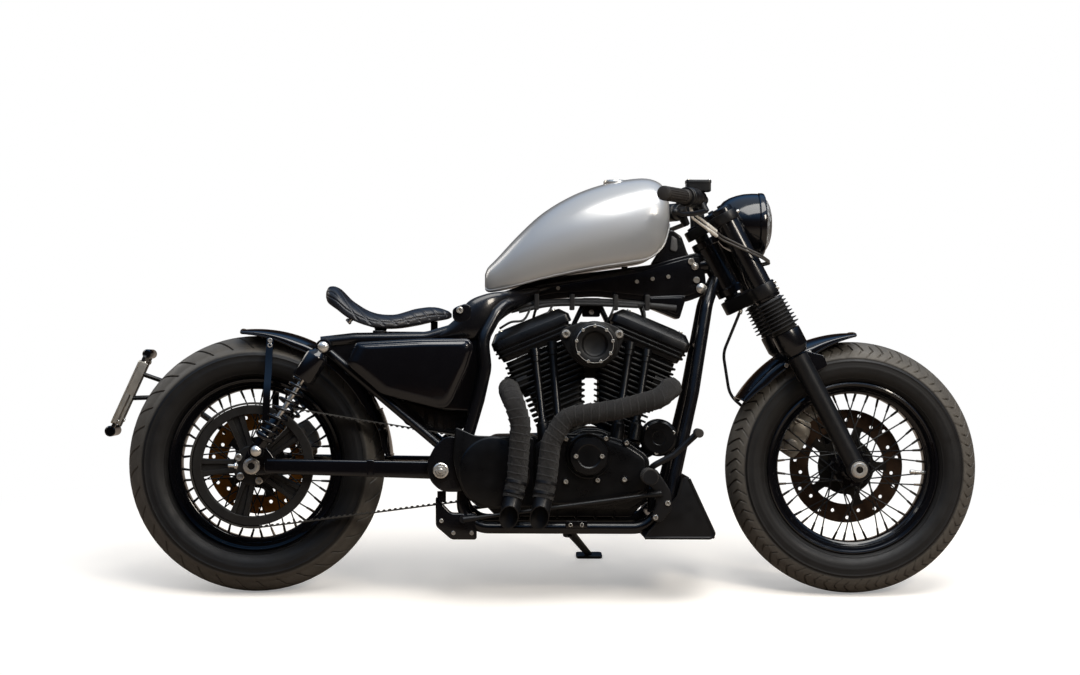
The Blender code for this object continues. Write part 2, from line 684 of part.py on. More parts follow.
def frame():
    """Tubes of one cradle: a backbone with a deep neck gusset, twin downtubes, lower rails, rear
    uprights, forged seat rails and diagonals, with the head tube, pivot plates, shock studs, tray and rear
    brake cylinder."""
    tube = FRAME_TUBE_RADIUS
    neck_low = STEERING @ Vector((0, 0, -HEAD_TUBE_HALF))
    neck_high = STEERING @ Vector((0, 0, HEAD_TUBE_HALF))
    neck = rod(neck_low, neck_high, HEAD_TUBE_RADIUS, 12)
    backbone = pipe(bent([STEERING @ Vector((0.004, 0, 0.010)), (1.020, 0, 0.815), (0.720, 0, 0.775),
                          (0.610, 0, 0.735)], 0.10), BACKBONE_RADIUS, 8)
    gusset = plate([(HEAD_X - 0.039, HEAD_Z + 0.0395), (HEAD_X - 0.027, HEAD_Z - 0.0685),
                    (HEAD_X - 0.082, HEAD_Z - 0.0905), (0.990, 0.738), (0.860, 0.752),
                    (0.740, 0.745), (0.650, 0.722), (0.630, 0.748), (0.740, 0.786), (0.960, 0.824),
                    (HEAD_X - 0.092, HEAD_Z + 0.0275)], -0.020, 0.020, 0.004)
    downtube_foot = Vector((1.098, -0.088, 0.510))
    downtube_top = Vector((HEAD_X - 0.031, -0.050, HEAD_Z - 0.0935))
    brace = downtube_foot.lerp(downtube_top, 0.53)
    coil = plate([(0.978, 0.753), (0.983, 0.727), (1.068, 0.693), (1.087, 0.757)], -0.036, 0.036, 0.005)

    def side():
        cradle = pipe(bent([
            (0.700, -0.012, 0.755), (0.612, -0.100, 0.722), (0.569, -CRADLE_Y, 0.640),
            (0.577, -CRADLE_Y, 0.570), (0.560, -CRADLE_Y, 0.490), (0.526, -CRADLE_Y, 0.372),
            (0.522, -CRADLE_Y, 0.210),
            (0.562, -CRADLE_Y, RAIL_Z), (0.975, -CRADLE_Y, RAIL_Z), (1.036, -CRADLE_Y, 0.238),
            downtube_foot, downtube_top, (HEAD_X - 0.005, -0.010, HEAD_Z - 0.0285)], 0.075), tube, 6)
        seat_rail = pipe(bent([
            (SHOCK_TOP_X - 0.012, -0.116, SHOCK_TOP_Z), (0.250, -0.116, 0.636), (0.430, -0.116, 0.640),
            (0.520, -0.110, 0.670), (0.600, -0.090, 0.732), (0.690, -0.014, 0.760)], 0.09), tube, 6)
        forging = loft([[(top[0], y - 0.009, top[1]), (top[0], y + 0.009, top[1]),
                         ((top[0] + low[0]) / 2, y + 0.016, (top[1] + low[1]) / 2), (low[0], y + 0.009, low[1]),
                         (low[0], y - 0.009, low[1]), ((top[0] + low[0]) / 2, y - 0.016, (top[1] + low[1]) / 2)]
                        for top, low, y in FORGING])
        diagonal = rod((SHOCK_TOP_X, -0.122, SHOCK_TOP_Z - 0.004), (0.500, -0.134, 0.345), DIAGONAL_RADIUS, 8)
        stud = pin(SHOCK_TOP_X, SHOCK_TOP_Z, -SHOCK_Y - 0.018, -0.104, SHOCK_STUD_RADIUS)
        y_in = -SWINGARM_Y - SWINGARM_WALL / 2 - 0.006
        pivot = plate([(0.432, 0.330), (0.440, 0.290), (0.470, 0.262), (0.524, 0.262), (0.536, 0.330),
                       (0.534, 0.392), (0.480, 0.402), (0.450, 0.372)], y_in - 0.008, y_in)
        bridge = rod((0.522, -0.110, 0.290), (0.522, y_in - 0.004, 0.290), CROSS_RADIUS, 6)
        upper_bridge = rod((0.522, -0.110, 0.376), (0.522, y_in - 0.004, 0.376), 0.012, 6)
        head = pin(PIVOT_X, PIVOT_Z, y_in - 0.016, y_in - 0.004, 0.018, 10)
        peg = pin(0.300, 0.614, -COVER_INNER_Y + SEAT_GAP, -0.1035, 0.012, 6)
        return [cradle, seat_rail, forging, diagonal, stud, pivot, bridge, upper_bridge, head, peg]

    right = side()
    left = [moved(each, Matrix.Scale(-1, 4, (0, 1, 0))) for each in side()]
    cross = [
        rod((0.300, -0.116, 0.637), (0.300, 0.116, 0.637), 0.010, 6),
        rod((0.534, -CRADLE_Y, 0.190), (0.534, CRADLE_Y, 0.190), CROSS_RADIUS, 6),
        rod((SPOILER_BAR_X, -CRADLE_Y, SPOILER_BAR_Z), (SPOILER_BAR_X, CRADLE_Y, SPOILER_BAR_Z), CROSS_RADIUS, 6),
        pin(PIVOT_X, PIVOT_Z, -SWINGARM_Y - 0.022, SWINGARM_Y + 0.022, PIVOT_RADIUS),
        rod(brace, (brace.x, -brace.y, brace.z), 0.010, 6),
        rod((0.544, -CRADLE_Y, 0.455), (0.544, CRADLE_Y, 0.455), CROSS_RADIUS, 6),
        plate([(0.322, 0.496), (0.379, 0.425), (0.430, 0.409), (0.503, 0.402), (0.540, 0.430), (0.545, 0.462),
               (0.470, 0.462), (0.415, 0.477), (0.335, 0.500)], -0.075, 0.098, 0.005),
    ]
    axis = STAND_AXIS
    ear = rod(STAND_PIVOT + axis * (STAND_RADIUS + 0.0008), STAND_PIVOT + axis * 0.036, 0.015, 8)
    stand_pin = rod(STAND_PIVOT - axis * (STAND_RADIUS + 0.004), STAND_PIVOT + axis * 0.020,
                    STAND_PIN_RADIUS, 8)
    arm = rod((STAND_X, CRADLE_Y, RAIL_Z), STAND_PIVOT + axis * 0.029, 0.008, 6)
    rear_mount = rod((0.522, 0, 0.340), (CASE_REAR_X - SEAT_GAP, 0, 0.340), 0.016, 6)
    mount_bar = rod((0.522, -CRADLE_Y, 0.340), (0.522, CRADLE_Y, 0.340), CROSS_RADIUS, 6)
    front_mount = rod((SPOILER_BAR_X, 0, 0.262), (CASE_FRONT_X + SEAT_GAP, 0, 0.262), 0.010, 6)
    front_riser = rod((SPOILER_BAR_X, 0, SPOILER_BAR_Z), (SPOILER_BAR_X, 0, 0.270), 0.009, 6)
    brake_cylinder = plate([(0.455, 0.250), (0.456, 0.176), (0.495, 0.143), (0.558, 0.143), (0.557, 0.209),
                            (0.494, 0.209)], -CRADLE_Y - tube, -0.113, 0.004)
    posts = [rod((x, 0, z - 0.070), (x, 0, z), TANK_POST_RADIUS, 6)
             for x, z in ((x, tank_roof(x - TANK_POST_RADIUS) - SEAT_GAP) for x in (0.720, 0.930))]
    made = fused(neck, backbone, gusset, coil, *posts, *right, *left, *cross, ear, stand_pin, arm, rear_mount,
                 mount_bar, front_mount, front_riser, brake_cylinder, *seat_mount())
    stem_bore = rod(neck_low * 1.5 - neck_high * 0.5, neck_high * 1.5 - neck_low * 0.5, STEM_BORE, 12)
    made = carved(made, stem_bore)
    place(made, "frame", "bike", "frame_black")


def swingarm():
    """Two box-section arms from a cross tube on the pivot to plates that hold the axle."""
    inner = SWINGARM_Y - SWINGARM_WALL / 2
    outer = SWINGARM_Y + SWINGARM_WALL / 2
    half = SWINGARM_HEIGHT / 2

    def side():
        arm = plate([(0.030, REAR_RADIUS - half), (0.030, REAR_RADIUS + half),
                     (PIVOT_X, PIVOT_Z + half + 0.004), (PIVOT_X + 0.022, PIVOT_Z + 0.012),
                     (PIVOT_X + 0.022, PIVOT_Z - 0.012), (PIVOT_X, PIVOT_Z - half - 0.004)],
                    -outer, -inner, 0.004)
        end = plate([(x, REAR_RADIUS + z) for x, z in (
            (-0.036, -0.023), (-0.036, 0.023), (-0.010, 0.061), (0.034, 0.061), (0.070, 0.027),
            (0.070, -0.023), (0.030, -0.033))], -outer + 0.006, -inner)
        stud = pin(SHOCK_FOOT_X, SHOCK_FOOT_Z, -SHOCK_Y - 0.018, -SWINGARM_Y, SHOCK_STUD_RADIUS)
        return [arm, end, stud]

    right = side()
    left = [moved(each, Matrix.Scale(-1, 4, (0, 1, 0))) for each in side()]
    cross = rod((PIVOT_X - 0.052, -SWINGARM_Y, PIVOT_Z + 0.004), (PIVOT_X - 0.052, SWINGARM_Y, PIVOT_Z + 0.004),
                0.013, 8)
    made = fused(*right, *left, cross)
    axle_hole = pin(0, REAR_RADIUS, -0.3, 0.3, AXLE_RADIUS + SEAT_GAP, 12)
    pivot_hole = pin(PIVOT_X, PIVOT_Z, -0.3, 0.3, PIVOT_RADIUS + SEAT_GAP)
    place(carved(made, axle_hole, pivot_hole), "swingarm", "bike", "gloss_black")


def shock(name, side):
    """A coil-over shock: an upper cover, a sprung stretch with a damper rod inside, and a lower body."""
    top = Vector((SHOCK_TOP_X, side * SHOCK_Y, SHOCK_TOP_Z))
    foot = Vector((SHOCK_FOOT_X, side * SHOCK_Y, SHOCK_FOOT_Z))
    length = (top - foot).length
    turn = (top - foot).to_track_quat("Y", "Z").to_matrix().to_4x4()
    profile = [(0, 0.012), (0.017, 0.012), (0.018, 0.030), (0.026, 0.040), (0.026, 0.048)]
    coil_low = 0.052
    coil_high = length - 0.090
    turns = 6
    pitch = (coil_high - coil_low) / turns
    for k in range(turns):
        low = coil_low + k * pitch
        profile += [(0.017, low), (0.025, low + pitch * 0.30), (0.025, low + pitch * 0.65)]
    profile += [(0.029, length - 0.088), (0.029, length - 0.024), (0.018, length - 0.012), (0, length - 0.012)]
    body = moved(lathe(profile, 8), Matrix.Translation(foot) @ turn)
    eyes = [pin(p.x, p.z, p.y - 0.013, p.y + 0.013, 0.019) for p in (top, foot)]
    made = fused(body, *eyes)
    holes = [pin(p.x, p.z, p.y - 0.05, p.y + 0.05, SHOCK_STUD_RADIUS + SEAT_GAP) for p in (top, foot)]
    place(carved(made, *holes), name, "bike", "engine_black")


# Engine

def on_vee(lean, across, up, y=0.0):
    """A point given across and up a cylinder's axis from the crank; lean is -1 for the rear one, 1 for the front."""
    turn = math.radians(VEE_HALF_ANGLE)
    x = CRANK_X + lean * up * math.sin(turn) + across * math.cos(turn)
    z = CRANK_Z + up * math.cos(turn) - lean * across * math.sin(turn)
    return Vector((x, y, z))


def rounded_box(across_low, across_high, half_y, corner):
    """Points round a rectangle with cut corners, as (across, y)."""
    return [(across_low, -half_y + corner), (across_low + corner, -half_y),
            (across_high - corner, -half_y), (across_high, -half_y + corner),
            (across_high, half_y - corner), (across_high - corner, half_y),
            (across_low + corner, half_y), (across_low, half_y - corner)]


def vee_side_limit(up):
    """How far a cylinder may reach across towards the other before the gap between them."""
    turn = math.radians(VEE_HALF_ANGLE)
    return (up * math.sin(turn) - VEE_GAP) / math.cos(turn)


def cylinder(name, lean):
    """A finned barrel and head. The fins are cut off upright where the two cylinders face each other."""
    levels = [(DECK_AT, BARREL_HALF), (DECK_AT + 0.012, BARREL_HALF)]
    pitch = (HEAD_TOP_AT - DECK_AT - 0.020) / FIN_COUNT
    for k in range(FIN_COUNT):
        low = DECK_AT + 0.014 + k * pitch
        high = low + pitch * 0.42
        levels += [(low, BARREL_HALF), (low, FIN_HALF), (high, FIN_HALF), (high, BARREL_HALF)]
    levels += [(HEAD_TOP_AT - SEAT_GAP, BARREL_HALF)]
    sections = []
    for up, half in levels:
        inward = min(half, vee_side_limit(up))
        low, high = (-half, inward) if lean < 0 else (-inward, half)
        corner = 0.018 if half > BARREL_HALF else 0.020
        sections.append([on_vee(lean, across, up, y) for across, y in rounded_box(low, high, half + 0.002, corner)])
    place(loft(sections), name, "bike", "engine_black")


def rocker_box(name, lean):
    """The rocker cover: a ribbed lower half under a smooth crowned lid, long across the cylinder."""
    table = [  # up, low end, high end, half width
        (HEAD_TOP_AT, -0.080, 0.072, 0.078), (0.358, -0.092, 0.080, 0.082), (0.366, -0.092, 0.080, 0.082),
        (0.366, -0.098, 0.092, ROCKER_HALF), (0.371, -0.098, 0.092, ROCKER_HALF), (0.371, -0.095, 0.090, 0.082),
        (0.377, -0.095, 0.094, 0.082), (0.377, -0.101, 0.102, ROCKER_HALF), (0.382, -0.101, 0.102, ROCKER_HALF),
        (0.382, -0.098, 0.099, 0.082), (0.388, -0.098, 0.101, 0.082), (0.388, -0.102, 0.107, ROCKER_HALF),
        (0.408, -0.102, 0.107, ROCKER_HALF), (0.423, -0.082, 0.087, 0.074), (0.4305, -0.066, 0.069, 0.056),
    ]
    sections = []
    for up, low, high, half in table:
        if lean > 0:
            low, high = -high, -low
        sections.append([on_vee(lean, across, up, y) for across, y in rounded_box(low, high, half, 0.016)])
    place(loft(sections), name, "bike", "engine_black")


def crankcase():
    """The case between the covers, its top shaped to the two cylinder bases, with the horn on its front."""
    narrow = CASE_HALF_WIDTH - 0.025
    deck_rear = [on_vee(-1, across, DECK_AT - SEAT_GAP) for across in (-0.070, 0.030)]
    deck_front = [on_vee(1, across, DECK_AT - SEAT_GAP) for across in (-0.030, 0.070)]
    top = [(p.x, p.z) for p in deck_rear + deck_front]
    outline = [(CASE_REAR_X, CASE_FLOOR_Z + 0.030), (CASE_REAR_X, 0.370), (CASE_REAR_X + 0.040, 0.398),
               (0.700, 0.400)] + top + [(0.968, 0.372), (CASE_FRONT_X, 0.330), (CASE_FRONT_X, 0.240),
                                        (0.940, CASE_FLOOR_Z), (CASE_REAR_X + 0.050, CASE_FLOOR_Z)]
    core = plate(outline, -narrow, CASE_HALF_WIDTH, 0.004)
    chest = shrunk([(0.700, 0.216), (0.700, 0.398)] + top + outline[-5:-1], 0.003)
    wide = plate(chest, -CASE_HALF_WIDTH, -narrow + 0.010, 0.003)
    face = HORN_Y
    horn = lathe([(0, face), (HORN_RADIUS * 0.7, face), (HORN_RADIUS, face + 0.009), (HORN_RADIUS, face + 0.042),
                  (HORN_RADIUS * 0.7, face + 0.050), (0, face + 0.050)], 20, (HORN_X, 0, HORN_Z))
    neck = rod((HORN_X - 0.004, face + 0.040, HORN_Z - 0.004), (0.960, -0.050, 0.345), 0.012, 8)
    made = fused(core, wide, horn, neck)
    place(made, "crankcase", "bike", "engine_black")


def cam_cover():
    """The right-hand gearcase cover with its round timer lid and four pushrod tubes above it."""
    y_in = -CASE_HALF_WIDTH - SEAT_GAP
    outline = [(0.700, 0.250), (0.700, 0.385), (0.762, 0.408), (0.861, 0.408), (0.930, 0.388), (0.985, 0.352),
               (0.986, 0.262), (0.940, 0.238), (0.850, 0.222), (0.740, 0.224)]
    cover = plate(outline, -COVER_FACE_Y + 0.012, y_in, 0.006)
    timer = lathe([(0, -0.182), (TIMER_RADIUS - 0.010, -0.182), (TIMER_RADIUS - 0.003, -0.176),
                   (TIMER_RADIUS, -0.150), (0, -0.150)], 24,
                  (0.834, 0, 0.353))
    tubes = []
    for top, foot in (((-1, 0.040), 0.762), ((-1, -0.006), 0.724), ((1, -0.040), 0.905), ((1, 0.006), 0.948)):
        start = on_vee(top[0], top[1], HEAD_TOP_AT - 0.006, -0.092)
        tubes.append(rod((foot, -0.125, 0.396), start, PUSHROD_RADIUS, 8))
        tubes.append(rod((foot, -0.125, 0.380), (foot, -0.121, 0.440), 0.016, 8))
    made = fused(cover, timer, *tubes)
    place(made, "cam_cover", "bike", "engine_black")


def sprocket_cover():
    """The plate over the belt's front pulley, on two posts from the case."""
    outline = [(0.503, 0.424), (0.552, 0.402), (0.697, 0.398), (0.697, 0.228), (0.600, 0.222), (0.560, 0.226),
               (0.528, 0.254), (0.508, 0.300), (0.498, 0.345)]
    face = plate(outline, -COVER_FACE_Y - 0.006, -COVER_FACE_Y + 0.004, 0.003)
    bulge = lathe([(0, -0.175), (0.074, -0.175), (0.084, -0.166), (0, -0.166)], 20, (0.604, 0, 0.312))
    posts = [rod((x, -CASE_HALF_WIDTH + 0.025 - SEAT_GAP, z), (x, -COVER_FACE_Y, z), 0.010, 8)
             for x, z in ((0.655, 0.389), (0.655, 0.236))]
    place(fused(face, bulge, *posts), "sprocket_cover", "bike", "engine_black")


def primary_cover():
    """The left-hand primary case: a long rounded cover with a round clutch lid behind."""
    outline = [(0.560, 0.300), (0.575, 0.250), (0.620, 0.216), (0.700, 0.206), (0.860, 0.214), (0.920, 0.236),
               (0.950, 0.285), (0.946, 0.340), (0.912, 0.380), (0.850, 0.392), (0.740, 0.400), (0.640, 0.396),
               (0.585, 0.362)]
    cover = plate(outline, CASE_HALF_WIDTH + SEAT_GAP, 0.172, 0.014)
    lid = lathe([(0, 0.160), (0.068, 0.160), (0.066, 0.180), (0.055, 0.186), (0, 0.186)], 24, (0.655, 0, 0.306))
    front = lathe([(0, 0.160), (0.045, 0.160), (0.043, 0.178), (0, 0.178)], 20, (0.885, 0, 0.304))
    place(fused(cover, lid, front), "primary_cover", "bike", "engine_black")


def air_cleaner():
    """A round air cleaner on a bracket between the heads, with the intake behind it."""
    x, z = 0.847, 0.629
    drum = lathe([(0, -0.186), (0.030, -0.186), (0.034, -0.192), (0.046, -0.192), (0.050, -0.186),
                  (0.056, -0.180), (0.056, -0.128), (0, -0.128)], 18, (x, 0, z))
    bracket = plate([(x - 0.088, z + 0.022), (x - 0.076, z + 0.040), (x - 0.030, z + 0.056),
                     (x + 0.030, z + 0.056), (x + 0.066, z + 0.040), (x + 0.078, z + 0.022),
                     (x + 0.058, z - 0.030), (x + 0.024, z - 0.058), (x - 0.024, z - 0.058),
                     (x - 0.058, z - 0.030)], -0.140, -0.122, 0.003)
    bolts = [pin(bx, 0.655, -0.152, -ROCKER_HALF - SEAT_GAP, 0.009) for bx in (CRANK_X - 0.066, CRANK_X + 0.066)]
    throat = rod((x, -0.130, z), (x, 0.030, z), 0.030, 10)
    heads = [on_vee(-1, FIN_HALF, 0.318), on_vee(1, -FIN_HALF, 0.318)]
    runner = rod((heads[0].x + 0.012, 0, 0.612), (heads[1].x - 0.012, 0, 0.612), 0.020, 8)
    place(fused(drum, bracket, *bolts, throat, runner), "air_cleaner", "bike", "engine_black")


def exhaust(name, lean, corners):
    """A wrapped drag pipe from its head's port, down the right side to a slash-cut open end."""
    port = on_vee(lean, lean * (FIN_HALF + SEAT_GAP), PORT_AT, -0.046)
    outward = on_vee(lean, lean * (FIN_HALF + 0.034), PORT_AT, -0.046)
    path = bent([port, outward, *corners], 0.055, 22)
    made = pipe(path, PIPE_RADIUS, 9, slash=(-0.70, -0.55, -0.62), bore=(PIPE_RADIUS - PIPE_WALL, 0.050))
    place(made, name, "bike", "pipe_wrap")


# Bodywork

def tank_roof(x):
    """The height of the roof of the tunnel under the tank."""
    for (x_a, low_a, high_a, _), (x_b, low_b, high_b, _) in zip(TANK_STATIONS, TANK_STATIONS[1:]):
        if x_a <= x <= x_b:
            share = (x - x_a) / (x_b - x_a)
            roof_a = low_a + min(TUNNEL_DEPTH, (high_a - low_a) * 0.42)
            roof_b = low_b + min(TUNNEL_DEPTH, (high_b - low_b) * 0.42)
            return roof_a + (roof_b - roof_a) * share
    raise ValueError("x lies outside the tank")


def fuel_tank():
    """A small peanut tank lofted along the backbone, with a tunnel under it and a low filler cap."""
    sections = []
    for x, low, high, half in TANK_STATIONS:
        tall = high - low
        tunnel = min(TUNNEL_HALF, half * 0.55)
        roof = low + min(TUNNEL_DEPTH, tall * 0.42)
        side = [(half * 0.90, low), (half, low + tall * 0.16), (half * 0.995, low + tall * 0.36),
                (half * 0.90, low + tall * 0.62), (half * 0.66, low + tall * 0.86), (half * 0.30, high - tall * 0.02)]
        right = [(tunnel, roof), (tunnel, low)] + side + [(0, high)]
        ring = [(x, -y, z) for y, z in right] + [(x, y, z) for y, z in reversed(right[:-1])]
        sections.append(ring)
    body = loft(sections)
    cap = moved(lathe([(0, -0.014), (0.030, -0.014), (0.030, 0.005), (0.026, 0.008), (0, 0.008)], 20),
                Matrix.Translation((0.905, 0, 1.046)) @ Matrix.Rotation(math.radians(90), 4, "X"))
    place(fused(body, cap), "fuel_tank", "bike", "pearl_silver")


def seat():
    """A thin solo saddle: a dished pad, broad and kicked up behind, on two bobbins and a nose tab."""
    stations = [  # x, underside z, top z, half width
        (0.176, 0.742, 0.762, 0.072), (0.184, 0.728, 0.772, 0.100), (0.206, 0.712, 0.768, 0.118),
        (0.240, 0.688, 0.736, 0.126), (0.290, 0.670, 0.708, 0.128), (0.345, 0.668, 0.702, 0.116),
        (0.400, 0.676, 0.717, 0.092), (0.445, 0.686, 0.722, 0.066), (0.478, 0.692, 0.714, 0.044),
        (0.490, 0.697, 0.706, 0.024)]
    sections = []
    for x, low, high, half in stations:
        mid = (low + high) / 2
        right = [(0, low + 0.002), (half * 0.80, low), (half, mid - 0.004), (half * 0.97, mid + 0.008),
                 (half * 0.72, high), (0, high - 0.006)]
        sections.append([(x, -y, z) for y, z in right] + [(x, y, z) for y, z in reversed(right[1:-1])])
    pad = loft(sections)
    place(pad, "seat", "bike", "seat_leather")


def seat_mount():
    """The saddle's steel strap: a cross bar on the seat rails, two bobbins and a nose bracket."""
    rail_top = 0.640 + FRAME_TUBE_RADIUS
    bar = block((0.296, -0.122, rail_top - 0.004), (0.324, 0.122, rail_top + 0.005))
    posts = [rod((0.310, y, rail_top + 0.002), (0.310, y, 0.6686), 0.011, 8) for y in (-0.085, 0.085)]
    strap = block((0.300, -0.014, rail_top - 0.003), (0.452, 0.014, rail_top + 0.004))
    nose = rod((0.446, 0, rail_top + 0.001), (0.446, 0, 0.6855), 0.009, 8)
    return [bar, *posts, strap, nose]


def side_cover(name, side):
    """A five-cornered cover beside the seat rails: the oil tank on the right, the battery case on the left."""
    outline = [(0.256, 0.616), (0.300, 0.620), (0.500, 0.619), (0.518, 0.596), (0.500, 0.522), (0.472, 0.470),
               (0.415, 0.486), (0.308, 0.515), (0.232, 0.587)]
    outer = [(0.258, 0.631), (0.416, 0.640), (0.531, 0.642), (0.542, 0.634), (0.548, 0.616), (0.533, 0.568),
             (0.497, 0.485), (0.483, 0.469), (0.462, 0.467), (0.319, 0.503), (0.239, 0.571), (0.234, 0.583)]
    core = plate([(x, z) for x, z in shrunk(outline, 0.012)], -0.098, -0.020, 0.006)
    face = plate(outer, -COVER_INNER_Y - 0.024, -COVER_INNER_Y, 0.008)
    neck = plate([(0.330, 0.600), (0.480, 0.600), (0.462, 0.500), (0.330, 0.530)], -0.146, -0.090)
    made = fused(core, face, neck)
    if side > 0:
        made = moved(made, Matrix.Scale(-1, 4, (0, 1, 0)))
    place(made, name, "bike", "gloss_black")


def arched_fender(centre, radius, skirt, half, start, end, steps, tips):
    """A thin mudguard: an arched section swept round the wheel between two angles in degrees. tips is how
    much of the skirt's depth is left at each end."""
    def arch(out, share):
        r_out = radius + out
        wide = half + out
        foot = radius - (radius - skirt) * share
        depth = r_out - foot
        return [(foot, wide), (foot + depth * 0.45, wide * 0.985), (r_out - depth * 0.27, wide * 0.80),
                (r_out - depth * 0.055, wide * 0.42), (r_out, 0)]

    sections = []
    for k in range(steps + 1):
        along = k / steps
        share = min(1, tips[0] + along / TIP_LENGTH, tips[1] + (1 - along) / TIP_LENGTH)
        outer = arch(0, share)
        inner = arch(-FENDER_WALL, share)
        loop = ([(r, -y) for r, y in outer] + [(r, y) for r, y in reversed(outer[:-1])]
                + [(r, y) for r, y in inner] + [(r, -y) for r, y in reversed(inner[:-1])])
        turn = math.radians(start + (end - start) * along)
        sections.append([(centre[0] + r * math.cos(turn), y, centre[1] + r * math.sin(turn)) for r, y in loop])
    return loft(sections)


def rear_fender():
    """The cropped rear mudguard with a flat stay on each side down to the axle plate."""
    guard = arched_fender((0, REAR_RADIUS), REAR_FENDER_RADIUS, REAR_FENDER_SKIRT, REAR_FENDER_HALF, 96, 16, 16,
                          (0.35, 0.60))
    stays = []
    for side in (-1, 1):
        table = [  # x, height over the axle, outer face
            (0.038, REAR_FENDER_SKIRT + 0.008, REAR_FENDER_HALF + 0.003), (0.036, 0.237, 0.100),
            (0.034, 0.177, SWINGARM_Y - SWINGARM_WALL / 2 - SEAT_GAP),
            (0.030, 0.049, SWINGARM_Y - SWINGARM_WALL / 2 - SEAT_GAP)]
        ring = []
        for x, rise, outer in table:
            z = REAR_RADIUS + rise
            inner = outer - 0.004
            ring.append([(x - 0.009, side * inner, z), (x + 0.009, side * inner, z),
                         (x + 0.009, side * outer, z), (x - 0.009, side * outer, z)])
        stays.append(loft(ring))
    place(fused(guard, *stays), "rear_fender", "bike", "gloss_black")


def front_fender():
    """The short front mudguard with a bracket to each fork slider."""
    guard = arched_fender((WHEELBASE, FRONT_RADIUS), FRONT_FENDER_RADIUS, FRONT_FENDER_SKIRT,
                          FRONT_FENDER_HALF, 90, 149, 12, (0.25, 0.55))
    brackets = []
    low = FRONT_FENDER_SKIRT - 0.044
    high = FRONT_FENDER_SKIRT + 0.012
    for side in (-1, 1):
        y_in = side * (FRONT_FENDER_HALF - 0.002)
        y_out = side * (FORK_SPACING / 2 - SLIDER_FLAT - SEAT_GAP)
        corners = [on_fork(-0.020, 0, low), on_fork(0.020, 0, low), on_fork(0.026, 0, high),
                   on_fork(-0.026, 0, high)]
        brackets.append(plate([(c.x, c.z) for c in corners], *sorted((y_in, y_out))))
    place(fused(guard, *brackets), "front_fender", "steering", "gloss_black")


def chin_spoiler():
    """A wedge-shaped belly scoop across the feet of the downtubes, open behind and above."""
    half = CRADLE_Y + FRAME_TUBE_RADIUS + 0.007
    outline = [(0.972, 0.148), (1.142, 0.148), (1.150, 0.160), (1.084, 0.300), (1.068, 0.300), (1.056, 0.256)]
    outer = plate(outline, -half, half)
    inner = plate([(0.900, 0.152), (1.137, 0.152), (1.145, 0.162), (1.079, 0.301), (1.060, 0.340), (0.900, 0.340)],
                  -half + 0.004, half - 0.004)
    made = carved(outer, inner)
    posts = [rod((SPOILER_BAR_X, y, 0.150), (SPOILER_BAR_X, y, SPOILER_BAR_Z - CROSS_RADIUS - SEAT_GAP), 0.010, 6)
             for y in (-0.060, 0.060)]
    place(fused(made, *posts), "chin_spoiler", "bike", "frame_black")


def plate_holder():
    """A side-mounted holder behind the tyre: an arm from the axle, two stays, a blank plate and small lamps."""
    def behind(back, y, rise):
        """A point back from the tyre's rearmost point and up from the axle."""
        return Vector((-REAR_RADIUS - back, y, REAR_RADIUS + rise))

    arm = pipe(bent([(0, 0.160, REAR_RADIUS), (-0.060, 0.164, REAR_RADIUS + 0.047), behind(-0.093, 0.166, 0.167),
                     behind(-0.061, 0.160, 0.207)], 0.05), 0.008, 8)
    seat = SWINGARM_Y + SWINGARM_WALL / 2 + 0.004 + 2 * SEAT_GAP
    boss = pin(0, REAR_RADIUS, seat, seat + 0.016, 0.020, 12)
    stays = [rod(behind(-0.065, 0.162, 0.203), behind(-0.005, 0.140, 0.225), 0.006, 8),
             rod(behind(-0.097, 0.173, 0.165), behind(0.021, 0.140, 0.161), 0.006, 8)]
    tilt = Matrix.Translation(behind(0.019, 0.130, 0.179)) @ Matrix.Rotation(math.radians(24), 4, "Y")
    sheet = moved(block((-0.002, -0.090, -0.088), (0.002, 0.090, 0.088)), tilt)
    frame_bar = moved(block((-0.001, -0.060, -0.100), (0.007, 0.060, 0.104)), tilt)
    lamp = moved(rod((0.0, -0.050, -0.112), (0.0, 0.050, -0.112), 0.014, 10), tilt)
    top = moved(rod((0.004, -0.040, 0.108), (0.004, 0.040, 0.108), 0.012, 10), tilt)
    place(fused(sheet, frame_bar, lamp, top, arm, boss, *stays), "plate_holder", "bike", "bare_steel")


# Foot controls, calipers and stand

def foot_controls(name, side):
    """A bracket at the front of the lower rail with a rubber peg, a bent pedal and its rod."""
    y = -CRADLE_Y - FRAME_TUBE_RADIUS - SEAT_GAP
    bracket = plate([(0.985, 0.196), (1.012, 0.190), (1.040, 0.222), (1.036, 0.268), (1.000, 0.322),
                     (0.966, 0.326), (0.960, 0.300), (0.996, 0.270), (1.000, 0.238)], y - 0.034, y - 0.022, 0.003)
    spacers = [pin(x, z, y - 0.026, y, 0.010, 6) for x, z in ((1.028, 0.238), (0.998, 0.203))]
    peg = lathe([(0, -0.262), (0.016, -0.262), (0.020, -0.256), (0.020, -0.178), (0.013, -0.172), (0.013, y - 0.026),
                 (0, y - 0.026)], 8, (0.979, 0, 0.306))
    pedal = pipe(bent([(0.985, y - 0.028, 0.316), (0.988, -0.200, 0.330), (1.040, -0.206, 0.358),
                       (1.100, -0.208, 0.414)], 0.02), PEDAL_RADIUS, 6)
    pad = pin(1.098, 0.413, -0.252, -0.196, 0.011, 6)
    link_y = -0.181
    lug = pin(1.012, 0.262, link_y - 0.004, y - 0.030, 0.007, 6)
    link = rod((1.012, link_y, 0.262), (0.524, link_y, 0.196), 0.005, 6)
    hanger = pin(0.524, 0.196, link_y - 0.004, y, 0.009, 6)
    made = fused(bracket, *spacers, peg, pedal, pad, lug, link, hanger)
    if side > 0:
        made = moved(made, Matrix.Scale(-1, 4, (0, 1, 0)))
    place(made, name, "bike", "engine_black")


